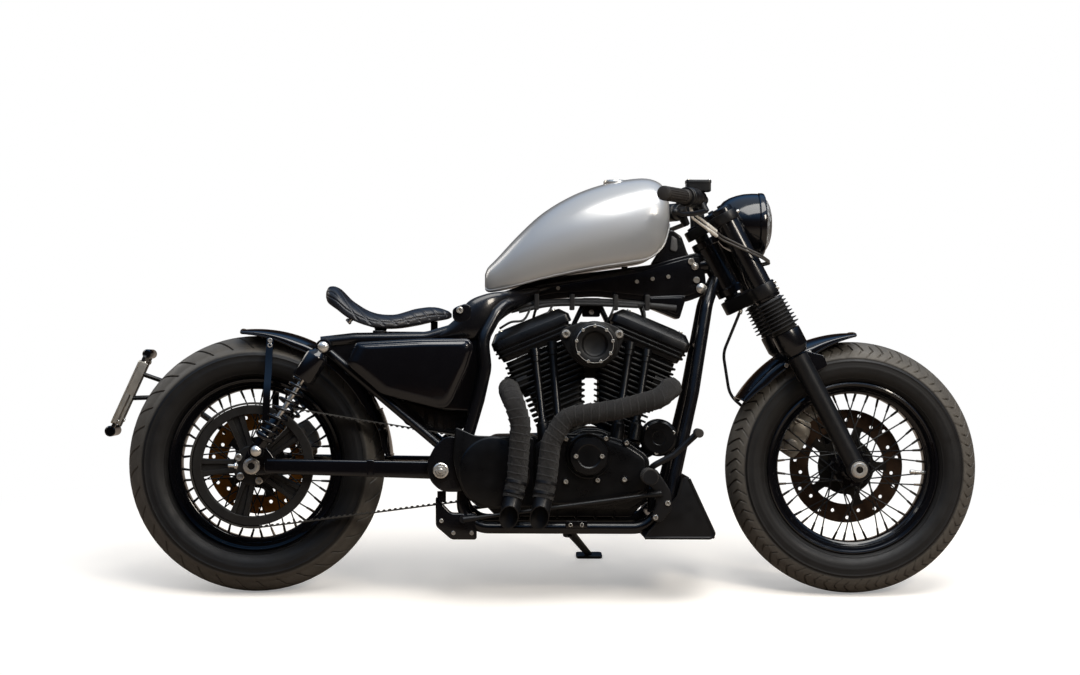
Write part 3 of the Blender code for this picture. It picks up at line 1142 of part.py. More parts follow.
def front_caliper():
    """The left-hand caliper behind the fork leg, slotted over the disc, on a bracket from the slider."""
    low = DISC_Y - 0.020
    high = FORK_SPACING / 2 - 0.030
    x = WHEELBASE - FRONT_DISC_RADIUS + 0.012
    z = FRONT_RADIUS + 0.074
    tilt = Matrix.Translation((x, 0, z)) @ Matrix.Rotation(math.radians(29), 4, "Y")
    body = plate([(-0.026, -0.048), (0.022, -0.052), (0.030, -0.020), (0.030, 0.022), (0.020, 0.052),
                  (-0.026, 0.048), (-0.034, 0.0)], low, high, 0.005)
    slot = block((-0.012, DISC_Y - 0.006, -0.080), (0.060, DISC_Y + 0.006, 0.080))
    made = moved(carved(body, slot), tilt)
    upper = on_fork(0.004, 0, 0.200)
    lower = on_fork(0.004, 0, 0.120)
    arm = plate([(x - 0.010, z + 0.040), (x + 0.010, z - 0.030), (lower.x, lower.z), (upper.x, upper.z)],
                DISC_Y + 0.008, FORK_SPACING / 2 - SLIDER_FLAT - SEAT_GAP)
    place(fused(made, arm), "front_caliper", "steering", "bare_steel")


def rear_caliper():
    """The rear caliper over the disc, above the left swingarm."""
    x = REAR_DISC_RADIUS - 0.020
    z = REAR_RADIUS + 0.062
    low = DISC_Y - 0.020
    high = SWINGARM_Y - SWINGARM_WALL / 2 - 0.004
    tilt = Matrix.Translation((x, 0, z)) @ Matrix.Rotation(math.radians(-29), 4, "Y")
    body = plate([(-0.024, -0.040), (0.028, -0.040), (0.036, 0.0), (0.028, 0.040), (-0.024, 0.040)],
                 low, high, 0.005)
    slot = block((-0.060, DISC_Y - 0.006, -0.080), (0.012, DISC_Y + 0.006, 0.080))
    made = moved(carved(body, slot), tilt)
    arm = plate([(0.094, REAR_RADIUS + SWINGARM_HEIGHT / 2 + SEAT_GAP), (0.142, REAR_RADIUS + 0.018 + SEAT_GAP),
                 (0.142, REAR_RADIUS + 0.057), (0.094, REAR_RADIUS + 0.057)], high - 0.014, SWINGARM_Y, 0.0)
    place(fused(made, arm), "rear_caliper", "bike", "bare_steel")


def side_stand():
    """The prop stand swung forwards: an eye on its tilted pin, a tapered leg and a flat foot on the ground."""
    axis = STAND_AXIS
    eye = rod(STAND_PIVOT - axis * STAND_RADIUS, STAND_PIVOT + axis * STAND_RADIUS, 0.018, 12)
    leg = rod(STAND_PIVOT, STAND_FOOT, STAND_RADIUS, 10, STAND_RADIUS * 0.8)
    lean = math.radians(LEAN)
    level = Matrix.Translation((STAND_FOOT.x, STAND_REACH, ground_z(STAND_REACH))) @ Matrix.Rotation(lean, 4, "X")
    foot = moved(block((-FOOT_LENGTH / 2, -FOOT_WIDTH / 2, 0), (FOOT_LENGTH / 2, FOOT_WIDTH / 2, FOOT_THICKNESS)),
                 level)
    made = fused(eye, leg, foot)
    bore = rod(STAND_PIVOT - axis * 0.03, STAND_PIVOT + axis * 0.03, STAND_PIN_RADIUS + 0.0008, 8)
    place(carved(made, bore), "side_stand", "side_stand", "frame_black")


# Fork, bars and lamp

def on_leg(turned, y):
    """Stands a shape turned round Y, its radius measured from the leg and -Y up it, in a fork leg's place."""
    return moved(turned, Matrix.Translation(on_fork(0, y, 0)) @ Matrix.Rotation(math.radians(-RAKE), 4, "Y")
                 @ Matrix.Rotation(math.radians(-90), 4, "X"))


def triple_clamp():
    """Stem with the upper and lower clamps, each a waisted plate round both legs, and two risers."""
    half = FORK_SPACING / 2
    stem_low = STEERING @ Vector((0, 0, LOWER_CLAMP_AT - STEM_TO_AXLE))
    stem_high = STEERING @ Vector((0, 0, UPPER_CLAMP_AT - STEM_TO_AXLE))
    stem = rod(stem_low, stem_high, STEM_RADIUS, 12)
    clamps = []
    left = [  # ahead of the stem, to the left
        (-0.034, 0.030), (FORK_OFFSET - 0.036, half - 0.008), (FORK_OFFSET - 0.030, half + 0.026),
        (FORK_OFFSET + 0.008, half + 0.037), (FORK_OFFSET + 0.033, half + 0.018), (FORK_OFFSET + 0.033, half - 0.018),
        (FORK_OFFSET + 0.006, half - 0.034)]
    for along, thick, nose in ((LOWER_CLAMP_AT, CLAMP_THICKNESS, LAMP_FOOT_X + 0.014),
                               (UPPER_CLAMP_AT, CLAMP_THICKNESS - 0.008, 0.022)):
        outline = left + [(nose, 0.046), (nose, -0.046)] + [(x, -y) for x, y in reversed(left)]
        level = along - STEM_TO_AXLE
        slab = loft([[(x, y, level - thick / 2) for x, y in outline], [(x, y, level + thick / 2) for x, y in outline]])
        clamps.append(moved(slab, STEERING))
    made = fused(stem, *clamps)
    wall = FORK_TUBE_RADIUS + SEAT_GAP
    hole = [(0, -0.80), (wall, -0.80), (wall, -0.40), (0, -0.40)]
    made = carved(made, *[on_leg(lathe(hole, LEG_STEPS), side * half) for side in (-1, 1)])
    top = UPPER_CLAMP_AT - STEM_TO_AXLE + CLAMP_THICKNESS / 2 - 0.006
    risers = []
    for y in (-0.045, 0.045):
        foot = STEERING @ Vector((0.004, y, top))
        risers.append(rod(foot, (BAR_X, y, BAR_Z), 0.013, 8))
        risers.append(pin(BAR_X, BAR_Z, y - 0.015, y + 0.015, 0.022, 10))
    made = fused(made, *risers)
    made = carved(made, pin(BAR_X, BAR_Z, -0.2, 0.2, BAR_BORE, 10))
    place(made, "triple_clamp", "steering", "frame_black")


def fork_leg(name, side):
    """One leg: covered upper tube, ribbed gaiter, its cup, and a slim slider down to the axle boss."""
    y = side * FORK_SPACING / 2
    profile = [(0, FORK_LENGTH), (0.020, FORK_LENGTH), (FORK_TUBE_RADIUS, FORK_LENGTH - 0.008),
               (FORK_TUBE_RADIUS, GAITER_TOP_AT)]
    pitch = (GAITER_TOP_AT - GAITER_FOOT_AT) / GAITER_RIBS
    for k in range(GAITER_RIBS):
        top = GAITER_TOP_AT - k * pitch
        profile += [(GAITER_RADIUS - 0.014, top - pitch * 0.15), (GAITER_RADIUS, top - pitch * 0.65)]
    profile += [(CUP_RADIUS, GAITER_FOOT_AT), (CUP_RADIUS, CUP_FOOT_AT + 0.008), (SLIDER_RADIUS + 0.004, CUP_FOOT_AT),
                (SLIDER_RADIUS, CUP_FOOT_AT - 0.010), (SLIDER_RADIUS, 0.060), (SLIDER_RADIUS - 0.001, -0.022),
                (SLIDER_RADIUS - 0.008, -0.032), (0, -0.032)]
    made = on_leg(lathe([(r, -along) for r, along in profile], LEG_STEPS), y)
    hole = pin(WHEELBASE, FRONT_RADIUS, y - 0.06, y + 0.06, AXLE_RADIUS + SEAT_GAP, 12)
    place(carved(made, hole), name, "steering", "frame_black")


def bar_point(side, y):
    """A point on the swept end of the handlebar, y out from the middle."""
    share = (y - BAR_STRAIGHT) / (BAR_END_Y - BAR_STRAIGHT)
    return Vector((BAR_X + (BAR_END_X - BAR_X) * share, side * y, BAR_Z))


def handlebar():
    """A low drag bar: straight through the risers and swept back to the grips."""
    ends = [(bar_point(side, BAR_END_Y - 0.006)) for side in (-1, 1)]
    path = bent([ends[0], (BAR_X, -BAR_STRAIGHT, BAR_Z), (BAR_X, BAR_STRAIGHT, BAR_Z), ends[1]], 0.10)
    place(pipe(path, BAR_RADIUS, 10), "handlebar", "steering", "frame_black")


def hand_controls(name, side):
    """Grip, switch housing, lever with its perch, and on the right the brake's fluid reservoir."""
    outer = bar_point(side, BAR_END_Y)
    along = (outer - bar_point(side, BAR_STRAIGHT)).normalized()
    inner = outer - along * GRIP_LENGTH
    profile = [  # radius, distance in from the bar's end
        (0, 0), (GRIP_RADIUS, 0), (GRIP_RADIUS, 0.124), (0.0235, 0.126), (0.0235, 0.134), (0.0200, 0.135),
        (0.0240, 0.138), (0.0240, 0.180), (0.0190, 0.182), (0.0210, 0.184), (0.0210, 0.204), (BAR_BORE, 0.204),
        (BAR_BORE, 0.004), (0, 0.004)]
    turn = (-along).to_track_quat("Y", "Z").to_matrix().to_4x4()
    body = moved(lathe(profile, 10, phase=0.5), Matrix.Translation(outer) @ turn)
    back = Vector((-along.y * side, along.x * side, 0))
    if back.x < 0:
        back = -back
    drop = (back * 0.55 - Vector((0, 0, 0.84))).normalized()
    clamp = inner - along * 0.064
    pivot = clamp + drop * 0.036
    lever = pipe(bent([pivot - along * 0.006, inner + along * 0.012 + drop * 0.050,
                       outer - along * 0.034 + drop * 0.060, outer - along * 0.006 + drop * 0.055],
                      0.05), LEVER_RADIUS, 6)
    arm = rod(clamp + drop * 0.017, pivot + drop * 0.004, 0.011, 8)
    ball = rod(outer - along * 0.010 + drop * 0.0545, outer + along * 0.004 + drop * 0.0545, 0.0095, 8)
    pieces = [body, lever, arm, ball]
    if side < 0:
        tank = block((-0.030, -0.022, 0.017), (0.032, 0.022, 0.045))
        pieces.append(moved(tank, Matrix.Translation(clamp)))
    place(fused(*pieces), name, "steering", "cable_black")


def headlamp():
    """A bullet-shaped lamp between the fork legs on a bracket from the lower clamp, with a domed glass."""
    def along_x(profile, steps):
        turned = lathe(profile, steps)
        return moved(turned, Matrix.Translation((HEADLAMP_RIM_X, 0, HEADLAMP_Z)) @ Matrix.Rotation(
            math.radians(-90), 4, "Z"))

    shell = along_x([(0, -HEADLAMP_DEPTH), (0.028, -HEADLAMP_DEPTH + 0.002), (0.055, -0.100), (0.071, -0.072),
                     (HEADLAMP_RADIUS, -0.040),
                     (HEADLAMP_RADIUS, -0.012), (HEADLAMP_RADIUS - 0.002, 0.0), (0.0715, 0.0), (0.0715, -0.010),
                     (0, -0.010)], 20)
    level = LOWER_CLAMP_AT - STEM_TO_AXLE + CLAMP_THICKNESS / 2 + SEAT_GAP
    neck = pipe([STEERING @ Vector((LAMP_FOOT_X, 0, level)), STEERING @ Vector((LAMP_FOOT_X, 0, level + 0.016)),
                 (HEADLAMP_RIM_X - 0.060, 0, HEADLAMP_Z - 0.062)], 0.011, 8)
    place(fused(shell, neck), "headlamp", "steering", "gloss_black")
    glass = along_x([(0, -0.010 + SEAT_GAP), (0.0712, -0.010 + SEAT_GAP), (0.0712, 0.002), (0.060, 0.012),
                     (0.036, 0.020), (0, 0.023)], 20)
    place(glass, "headlamp_glass", "steering", "lamp_glass")


def cables():
    """The twin throttle cables' loop ahead of the fork, and the front brake's hose down to its caliper."""
    along = (bar_point(-1, BAR_END_Y) - bar_point(-1, BAR_STRAIGHT)).normalized()
    start = bar_point(-1, BAR_END_Y) - along * (GRIP_LENGTH + 0.028) + Vector((0, 0, -0.0244))
    loop = bent([start, start + Vector((0, 0, -0.016))] + [
        (HEAD_X + ahead, y, HEAD_Z + rise) for ahead, y, rise in (
            (-0.007, -0.172, 0.0645), (0.095, -0.140, 0.0215), (0.125, -0.080, 0.0095), (0.108, -0.030, 0.0055),
            (0.069, -0.020, 0.0095))], 0.035)
    place(triangled(pipe(loop, CABLE_RADIUS, 6)), "throttle_cables", "steering", "cable_black")
    banjo_y = FORK_SPACING / 2 - 0.030 + SEAT_GAP
    hose = bent([on_fork(-0.058, 0.086, LOWER_CLAMP_AT - 0.030), on_fork(-0.0524, 0.088, LOWER_CLAMP_AT - 0.024),
                 on_fork(-0.1429, 0.094, 0.4044), on_fork(-0.1786, 0.098, 0.2988), on_fork(-0.1361, 0.096, 0.1913),
                 on_fork(-0.1010, 0.100, 0.1466), on_fork(-0.1010, banjo_y, 0.1466)], 0.07)
    place(triangled(pipe(hose, HOSE_RADIUS, 6)), "brake_hose", "steering", "cable_black")


def centre_footprint():
    """Shifts the leaning bike so that the middle of its box, at ground level, is the world's origin."""
    bpy.context.view_layer.update()
    corners = [each.matrix_world @ v.co for each in bpy.data.objects if each.type == "MESH"
               for v in each.data.vertices]
    bike = BODIES["bike"]
    for axis in (0, 1):
        values = [corner[axis] for corner in corners]
        bike.location[axis] -= (min(values) + max(values)) / 2
    bpy.context.view_layer.update()


def build():
    fresh_scene()
    BODIES.update(carriers())
    tyre("front_tyre", "front_wheel", FRONT_RADIUS, FRONT_WIDTH, FRONT_AXLE)
    tyre("rear_tyre", "rear_wheel", REAR_RADIUS, REAR_WIDTH, REAR_AXLE)
    wire_rim("front_rim", "front_wheel", FRONT_AXLE)
    wire_rim("rear_rim", "rear_wheel", REAR_AXLE)
    brake_disc("front_disc", "front_wheel", FRONT_AXLE, FRONT_DISC_RADIUS)
    brake_disc("rear_disc", "rear_wheel", REAR_AXLE, REAR_DISC_RADIUS)
    axle_bar("front_axle", "steering", FRONT_AXLE, FORK_SPACING / 2 + SLIDER_RADIUS)
    axle_bar("rear_axle", "bike", REAR_AXLE, SWINGARM_Y + SWINGARM_WALL / 2 - 0.006)
    rear_pulley()
    drive_belt()
    frame()
    swingarm()
    shock("shock_right", -1)
    shock("shock_left", 1)
    crankcase()
    cam_cover()
    sprocket_cover()
    primary_cover()
    cylinder("cylinder_rear", -1)
    cylinder("cylinder_front", 1)
    rocker_box("rocker_box_rear", -1)
    rocker_box("rocker_box_front", 1)
    air_cleaner()
    exhaust("exhaust_rear", -1, [(0.622, -0.140, 0.528), (0.642, -0.190, 0.500), (0.664, -0.198, 0.430),
                                 (0.656, -0.206, 0.300), (0.636, -0.226, 0.205)])
    exhaust("exhaust_front", 1, [(1.036, -0.150, 0.522), (1.004, -0.190, 0.495), (0.900, -0.198, 0.468),
                                 (0.775, -0.202, 0.450), (0.738, -0.208, 0.390), (0.728, -0.220, 0.300),
                                 (0.710, -0.238, 0.205)])
    fuel_tank()
    seat()
    side_cover("oil_tank", -1)
    side_cover("battery_case", 1)
    rear_fender()
    front_fender()
    chin_spoiler()
    plate_holder()
    foot_controls("foot_controls_right", -1)
    foot_controls("foot_controls_left", 1)
    front_caliper()
    rear_caliper()
    side_stand()
    triple_clamp()
    fork_leg("fork_leg_right", -1)
    fork_leg("fork_leg_left", 1)
    handlebar()
    hand_controls("hand_controls_right", -1)
    hand_controls("hand_controls_left", 1)
    headlamp()
    cables()
    centre_footprint()


build()
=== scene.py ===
import json
import math

import bmesh
import bpy
from mathutils import Matrix, Vector


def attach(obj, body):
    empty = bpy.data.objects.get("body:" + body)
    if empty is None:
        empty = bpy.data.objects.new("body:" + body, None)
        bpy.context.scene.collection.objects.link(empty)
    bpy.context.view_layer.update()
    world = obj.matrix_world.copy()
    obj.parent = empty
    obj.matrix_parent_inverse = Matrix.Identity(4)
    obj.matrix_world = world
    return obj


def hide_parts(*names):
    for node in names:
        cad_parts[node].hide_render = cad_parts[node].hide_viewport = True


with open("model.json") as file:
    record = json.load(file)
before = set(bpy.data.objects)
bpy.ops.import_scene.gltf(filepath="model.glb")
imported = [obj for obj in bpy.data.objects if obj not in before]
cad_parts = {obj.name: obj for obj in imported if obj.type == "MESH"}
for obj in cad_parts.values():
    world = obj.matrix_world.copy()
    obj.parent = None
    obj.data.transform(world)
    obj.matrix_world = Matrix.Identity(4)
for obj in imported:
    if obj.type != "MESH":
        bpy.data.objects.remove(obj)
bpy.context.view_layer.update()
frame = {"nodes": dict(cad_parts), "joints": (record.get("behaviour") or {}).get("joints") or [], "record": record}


# Stance
# The whole machine was built upright and leans on its side stand. The rear wheel's joint gives the
# lean and the place of its axle, so that every piece below is written upright: X forwards from the
# rear axle, Y to the rider's left, Z up from the ground.
REAR_RADIUS = 0.323
REAR_WIDTH = 0.15
FRONT_RADIUS = 0.32
FRONT_WIDTH = 0.13
WHEELBASE = 1.51
rear_turn = next(joint for joint in frame["joints"] if joint["name"] == "rear_wheel_turn")
LEAN = math.atan2(-rear_turn["axis"][2], rear_turn["axis"][1])
UPRIGHT_TO_PARKED = (Matrix.Translation(rear_turn["pos_m"]) @ Matrix.Rotation(-LEAN, 4, "X")
                     @ Matrix.Translation((0, 0, -REAR_RADIUS)))


# Camera
# The photographer stood 5.4 m off the right side, level with the tank and square to the machine.
CAMERA_AT = Vector((0.5697, -5.3931, 0.5878))
CAMERA_YAW = 0.027
CAMERA_PITCH = 0.0109
CAMERA_ROLL = 0.0059
LENS_MM = 70.58
look = Vector((math.sin(CAMERA_YAW) * math.cos(CAMERA_PITCH),
               math.cos(CAMERA_YAW) * math.cos(CAMERA_PITCH), math.sin(CAMERA_PITCH)))
level = Vector((math.cos(CAMERA_YAW), -math.sin(CAMERA_YAW), 0))
rise = level.cross(look)
across = level * math.cos(CAMERA_ROLL) + rise * math.sin(CAMERA_ROLL)
upward = rise * math.cos(CAMERA_ROLL) - level * math.sin(CAMERA_ROLL)
camera = bpy.data.objects.new("camera", bpy.data.cameras.new("camera"))
bpy.context.scene.collection.objects.link(camera)
camera.data.lens = LENS_MM
camera.data.sensor_width = 36.0
turn = Matrix((across, upward, -look)).transposed().to_4x4()
camera.matrix_world = UPRIGHT_TO_PARKED @ Matrix.Translation(CAMERA_AT) @ turn
bpy.context.scene.camera = camera
bpy.context.scene.view_settings.view_transform = "Standard"


# Studio
# A pale seamless floor that turns white away from the machine, a white surround behind it, and for the
# reflections an open place: pale sky, a dark horizon and brown ground. Three broad soft lamps.
def linear(colour):
    """A hex colour as it is seen on a screen, in the renderer's linear values."""
    values = [int(colour[i:i + 2], 16) / 255 for i in (0, 2, 4)]
    return tuple(v / 12.92 if v <= 0.04045 else ((v + 0.055) / 1.055) ** 2.4 for v in values) + (1.0,)


def add(tree, kind, settings=None, inputs=None):
    """Adds a node, sets its properties, and sets or links its inputs by name or number."""
    node = tree.nodes.new(kind)
    for name, value in (settings or {}).items():
        setattr(node, name, value)
    for name, value in (inputs or {}).items():
        socket = node.inputs[name]
        if isinstance(value, bpy.types.NodeSocket):
            tree.links.new(value, socket)
        else:
            socket.default_value = value
    return node


def lamp(name, place, size, power, colour):
    """A broad soft lamp that looks at the machine's middle."""
    data = bpy.data.lights.new(name, "AREA")
    data.shape = "RECTANGLE"
    data.size, data.size_y = size
    data.energy = power
    data.color = linear(colour)[:3]
    made = bpy.data.objects.new(name, data)
    bpy.context.scene.collection.objects.link(made)
    made.location = place
    made.rotation_euler = (LAMPS_AIM - made.location).to_track_quat("-Z", "Y").to_euler()


LAMPS_AIM = Vector((0, 0, 0.45))
lamp("sky_panel", (0.9, -1.3, 4.3), (3.6, 2.2), 165, "FFFCF6")
lamp("front_panel", (3.2, -3.6, 3.8), (1.2, 1.2), 120, "FFF4E4")
lamp("rear_panel", (-3.6, 2.8, 2.4), (1.8, 2.2), 35, "FFFAF2")

world = bpy.data.worlds.new("surround")
bpy.context.scene.world = world
world.use_nodes = True
tree = world.node_tree
tree.nodes.clear()
rays = add(tree, "ShaderNodeLightPath")
seen = add(tree, "ShaderNodeMath", {"operation": "MAXIMUM"}, {0: rays.outputs["Is Camera Ray"],
                                                              1: rays.outputs["Is Transmission Ray"]})
way = add(tree, "ShaderNodeSeparateXYZ", None, {0: add(tree, "ShaderNodeTexCoord").outputs["Generated"]})
height = add(tree, "ShaderNodeMapRange", None, {"Value": way.outputs["Z"], "From Min": -1.0})
shades = add(tree, "ShaderNodeValToRGB", None, {"Fac": height.outputs[0]})
shades.color_ramp.elements[0].color = linear("4A3D30")
shades.color_ramp.elements[1].color = linear("D6E2F2")
for place, shade in ((0.43, "75634E"), (0.49, "463629"), (0.52, "1B1510"), (0.66, "221D1A"), (0.72, "3A4658"),
                     (0.84, "93AED2")):
    shades.color_ramp.elements.new(place).color = linear(shade)
# Scattered light from the surround is drained of its colour, and only the reflections stay tinted.
calm = add(tree, "ShaderNodeMath", {"operation": "MULTIPLY_ADD"},
    {0: rays.outputs["Is Diffuse Ray"], 1: -1.4, 2: 1.45})
tinted = add(tree, "ShaderNodeHueSaturation", None, {"Color": shades.outputs[0],
    "Saturation": calm.outputs[0]})
outdoors = add(tree, "ShaderNodeBackground", None, {"Color": tinted.outputs[0], "Strength": 0.95})
white = add(tree, "ShaderNodeBackground", None, {"Color": linear("FFFFFF"), "Strength": 1.0})
either = add(tree, "ShaderNodeMixShader", None, {0: seen.outputs[0], 1: outdoors.outputs[0],
    2: white.outputs[0]})
add(tree, "ShaderNodeOutputWorld", None, {"Surface": either.outputs[0]})

# The camera sees pale paper that fades to white, and every other ray meets brown ground.
FLOOR_HALF = 14.0
FADE_SHAPE = (0.62, 1.0, 0.0)
FADE_FROM = 0.45
FADE_TO = 1.25
floor_mesh = bpy.data.meshes.new("floor")
floor_mesh.from_pydata([(-FLOOR_HALF, -FLOOR_HALF, 0), (FLOOR_HALF, -FLOOR_HALF, 0),
                        (FLOOR_HALF, FLOOR_HALF, 0), (-FLOOR_HALF, FLOOR_HALF, 0)], [], [(0, 1, 2, 3)])
floor = bpy.data.objects.new("floor", floor_mesh)
bpy.context.scene.collection.objects.link(floor)
paper = bpy.data.materials.new("seamless_paper")
paper.use_nodes = True
tree = paper.node_tree
tree.nodes.clear()
rays = add(tree, "ShaderNodeLightPath")
matt = add(tree, "ShaderNodeBsdfDiffuse", None, {"Color": linear("EFEBE6")})
ground = add(tree, "ShaderNodeBsdfDiffuse", None, {"Color": linear("8B8076")})
glow = add(tree, "ShaderNodeEmission", None, {"Color": linear("FFFFFF"), "Strength": 0.3})
lifted = add(tree, "ShaderNodeAddShader", None, {0: matt.outputs[0], 1: glow.outputs[0]})
bare = add(tree, "ShaderNodeEmission", None, {"Color": linear("FFFFFF"), "Strength": 1.0})
spot = add(tree, "ShaderNodeTexCoord").outputs["Object"]
squashed = add(tree, "ShaderNodeVectorMath", {"operation": "MULTIPLY"}, {0: spot, 1: FADE_SHAPE})
away = add(tree, "ShaderNodeVectorMath", {"operation": "LENGTH"}, {0: squashed.outputs[0]})
fade = add(tree, "ShaderNodeMapRange", {"interpolation_type": "SMOOTHSTEP"},
           {"Value": away.outputs["Value"], "From Min": FADE_FROM, "From Max": FADE_TO})
paling = add(tree, "ShaderNodeMixShader", None, {0: fade.outputs[0], 1: lifted.outputs[0],
    2: bare.outputs[0]})
chosen = add(tree, "ShaderNodeMixShader", None, {0: rays.outputs["Is Camera Ray"], 1: ground.outputs[0],
                                                 2: paling.outputs[0]})
add(tree, "ShaderNodeOutputMaterial", None, {"Surface": chosen.outputs[0]})
floor_mesh.materials.append(paper)


# Tyres
# Fat tubed tyres on 16 inch rims, black rubber moulded in a two-part mould: a rounded crown with
# swept grooves cut in it, plain bulged walls with fine moulded rings, and a bead inside the flange.
RIM_FLANGE = 0.217
CROWN_RADIUS = 0.07
CROWN_DEGREES = 52.0
GROOVE_DEPTH = 0.0052
SHOULDER = 1.3
TREAD_PITCHES = 36
BEAD_RADIUS = 0.2045
BEAD_Y = 0.0395


def surface(name, colour, second, rough, metallic=0.0, cloud_mm=60.0, grain_mm=0.8, grain_um=20.0,
            coat=0.0, ior=1.45):
    """A plain finish: two close colours clouded together, an uneven gloss, and a fine grain.
    rough is the (lowest, highest) roughness, and grain_um how deep the grain is."""
    made = bpy.data.materials.new(name)
    made.use_nodes = True
    tree = made.node_tree
    shader = tree.nodes["Principled BSDF"]
    where = add(tree, "ShaderNodeTexCoord").outputs["Object"]
    clouds = add(tree, "ShaderNodeTexNoise", None, {"Vector": where, "Scale": 1000 / cloud_mm, "Detail": 4.0,
                                                    "Roughness": 0.6})
    mixed = add(tree, "ShaderNodeMix", {"data_type": "RGBA"}, {0: clouds.outputs["Fac"], 6: linear(colour),
                                                               7: linear(second)})
    smears = add(tree, "ShaderNodeTexNoise", None, {"Vector": where, "Scale": 3000 / cloud_mm, "Detail": 6.0})
    gloss = add(tree, "ShaderNodeMapRange", None, {"Value": smears.outputs["Fac"], "From Min": 0.3,
                                                   "From Max": 0.7, "To Min": rough[0], "To Max": rough[1]})
    grain = add(tree, "ShaderNodeTexNoise", None, {"Vector": where, "Scale": 1000 / grain_mm, "Detail": 2.0})
    relief = add(tree, "ShaderNodeBump", None, {"Strength": 1.0, "Distance": grain_um * 1e-6,
                                                "Height": grain.outputs["Fac"]})
    tree.links.new(mixed.outputs[2], shader.inputs["Base Color"])
    tree.links.new(gloss.outputs[0], shader.inputs["Roughness"])
    tree.links.new(relief.outputs[0], shader.inputs["Normal"])
    shader.inputs["Metallic"].default_value = metallic
    shader.inputs["Coat Weight"].default_value = coat
    shader.inputs["IOR"].default_value = ior
    return made


def keep(work, name, finish, body, *stands_for, sharp=35.0):
    """Finishes a shape: normals outwards, parked place, smooth shading, finish, body and CAD node."""
    bmesh.ops.recalc_face_normals(work, faces=work.faces)
    mesh = bpy.data.meshes.new(name)
    work.to_mesh(mesh)
    work.free()
    mesh.transform(UPRIGHT_TO_PARKED)
    return keep_mesh(mesh, name, finish, body, *stands_for, sharp=sharp)


def keep_mesh(mesh, name, finish, body, *stands_for, sharp=35.0):
    """Makes a mesh a piece of its own, with its finish, body and CAD node."""
    made = bpy.data.objects.new(name, mesh)
    bpy.context.scene.collection.objects.link(made)
    mesh.materials.clear()
    mesh.materials.append(finish)
    mesh.shade_smooth()
    mesh.set_sharp_from_angle(angle=math.radians(sharp))
    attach(made, body)
    if stands_for:
        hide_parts(*stands_for)
    return made


def skin(work, rings, loop=False, around=True, ends=True):
    """Faces between rings of points: around closes each ring, loop joins the last ring to the first,
    and ends caps them."""
    made = [[work.verts.new(p) for p in ring] for ring in rings]
    pairs = list(zip(made, made[1:])) + ([(made[-1], made[0])] if loop else [])
    count = len(made[0])
    for here, there in pairs:
        for k in range(count if around else count - 1):
            n = (k + 1) % count
            work.faces.new((here[k], here[n], there[n], there[k]))
    if ends and not loop:
        work.faces.new(made[0])
        work.faces.new(made[-1])


# Moulded rubber: nearly black and dull, with the mould's fine pebble, and a lighter mottled grey band over the
# crown and shoulders.
rubber = surface("moulded_tyre_rubber", "0F0E0D", "171514", (0.46, 0.62), cloud_mm=90,
                 grain_mm=1.2, grain_um=40, ior=1.42)
tree = rubber.node_tree
crown_band = add(tree, "ShaderNodeAttribute", {"attribute_name": "crown_band"})
crown_band_mottle = add(tree, "ShaderNodeTexNoise", None, {"Vector": add(tree, "ShaderNodeTexCoord").outputs["Object"],
                                                "Scale": 38.0, "Detail": 8.0, "Roughness": 0.7})
crown_band_colour = add(tree, "ShaderNodeMix", {"data_type": "RGBA"}, {0: crown_band_mottle.outputs["Fac"], 6: linear("3D3A36"),
                                                           7: linear("64605A")})
shader = tree.nodes["Principled BSDF"]
banded = add(tree, "ShaderNodeMix", {"data_type": "RGBA"}, {
    0: crown_band.outputs["Fac"], 6: shader.inputs["Base Color"].links[0].from_socket, 7: crown_band_colour.outputs[2]})
tree.links.new(banded.outputs[2], shader.inputs["Base Color"])


def wall_curve(points, steps):
    """A smooth curve through points, as a Catmull-Rom spline."""
    points = [Vector(p) for p in points]
    padded = [points[0] * 2 - points[1]] + points + [points[-1] * 2 - points[-2]]
    result = []
    for a, b, c, d in zip(padded, padded[1:], padded[2:], padded[3:]):
        for k in range(steps):
            t = k / steps
            result.append(0.5 * ((2 * b) + (c - a) * t + (2 * a - 5 * b + 4 * c - d) * t * t
                                 + (3 * b - a - 3 * c + d) * t ** 3))
    result.append(points[-1])
    return result


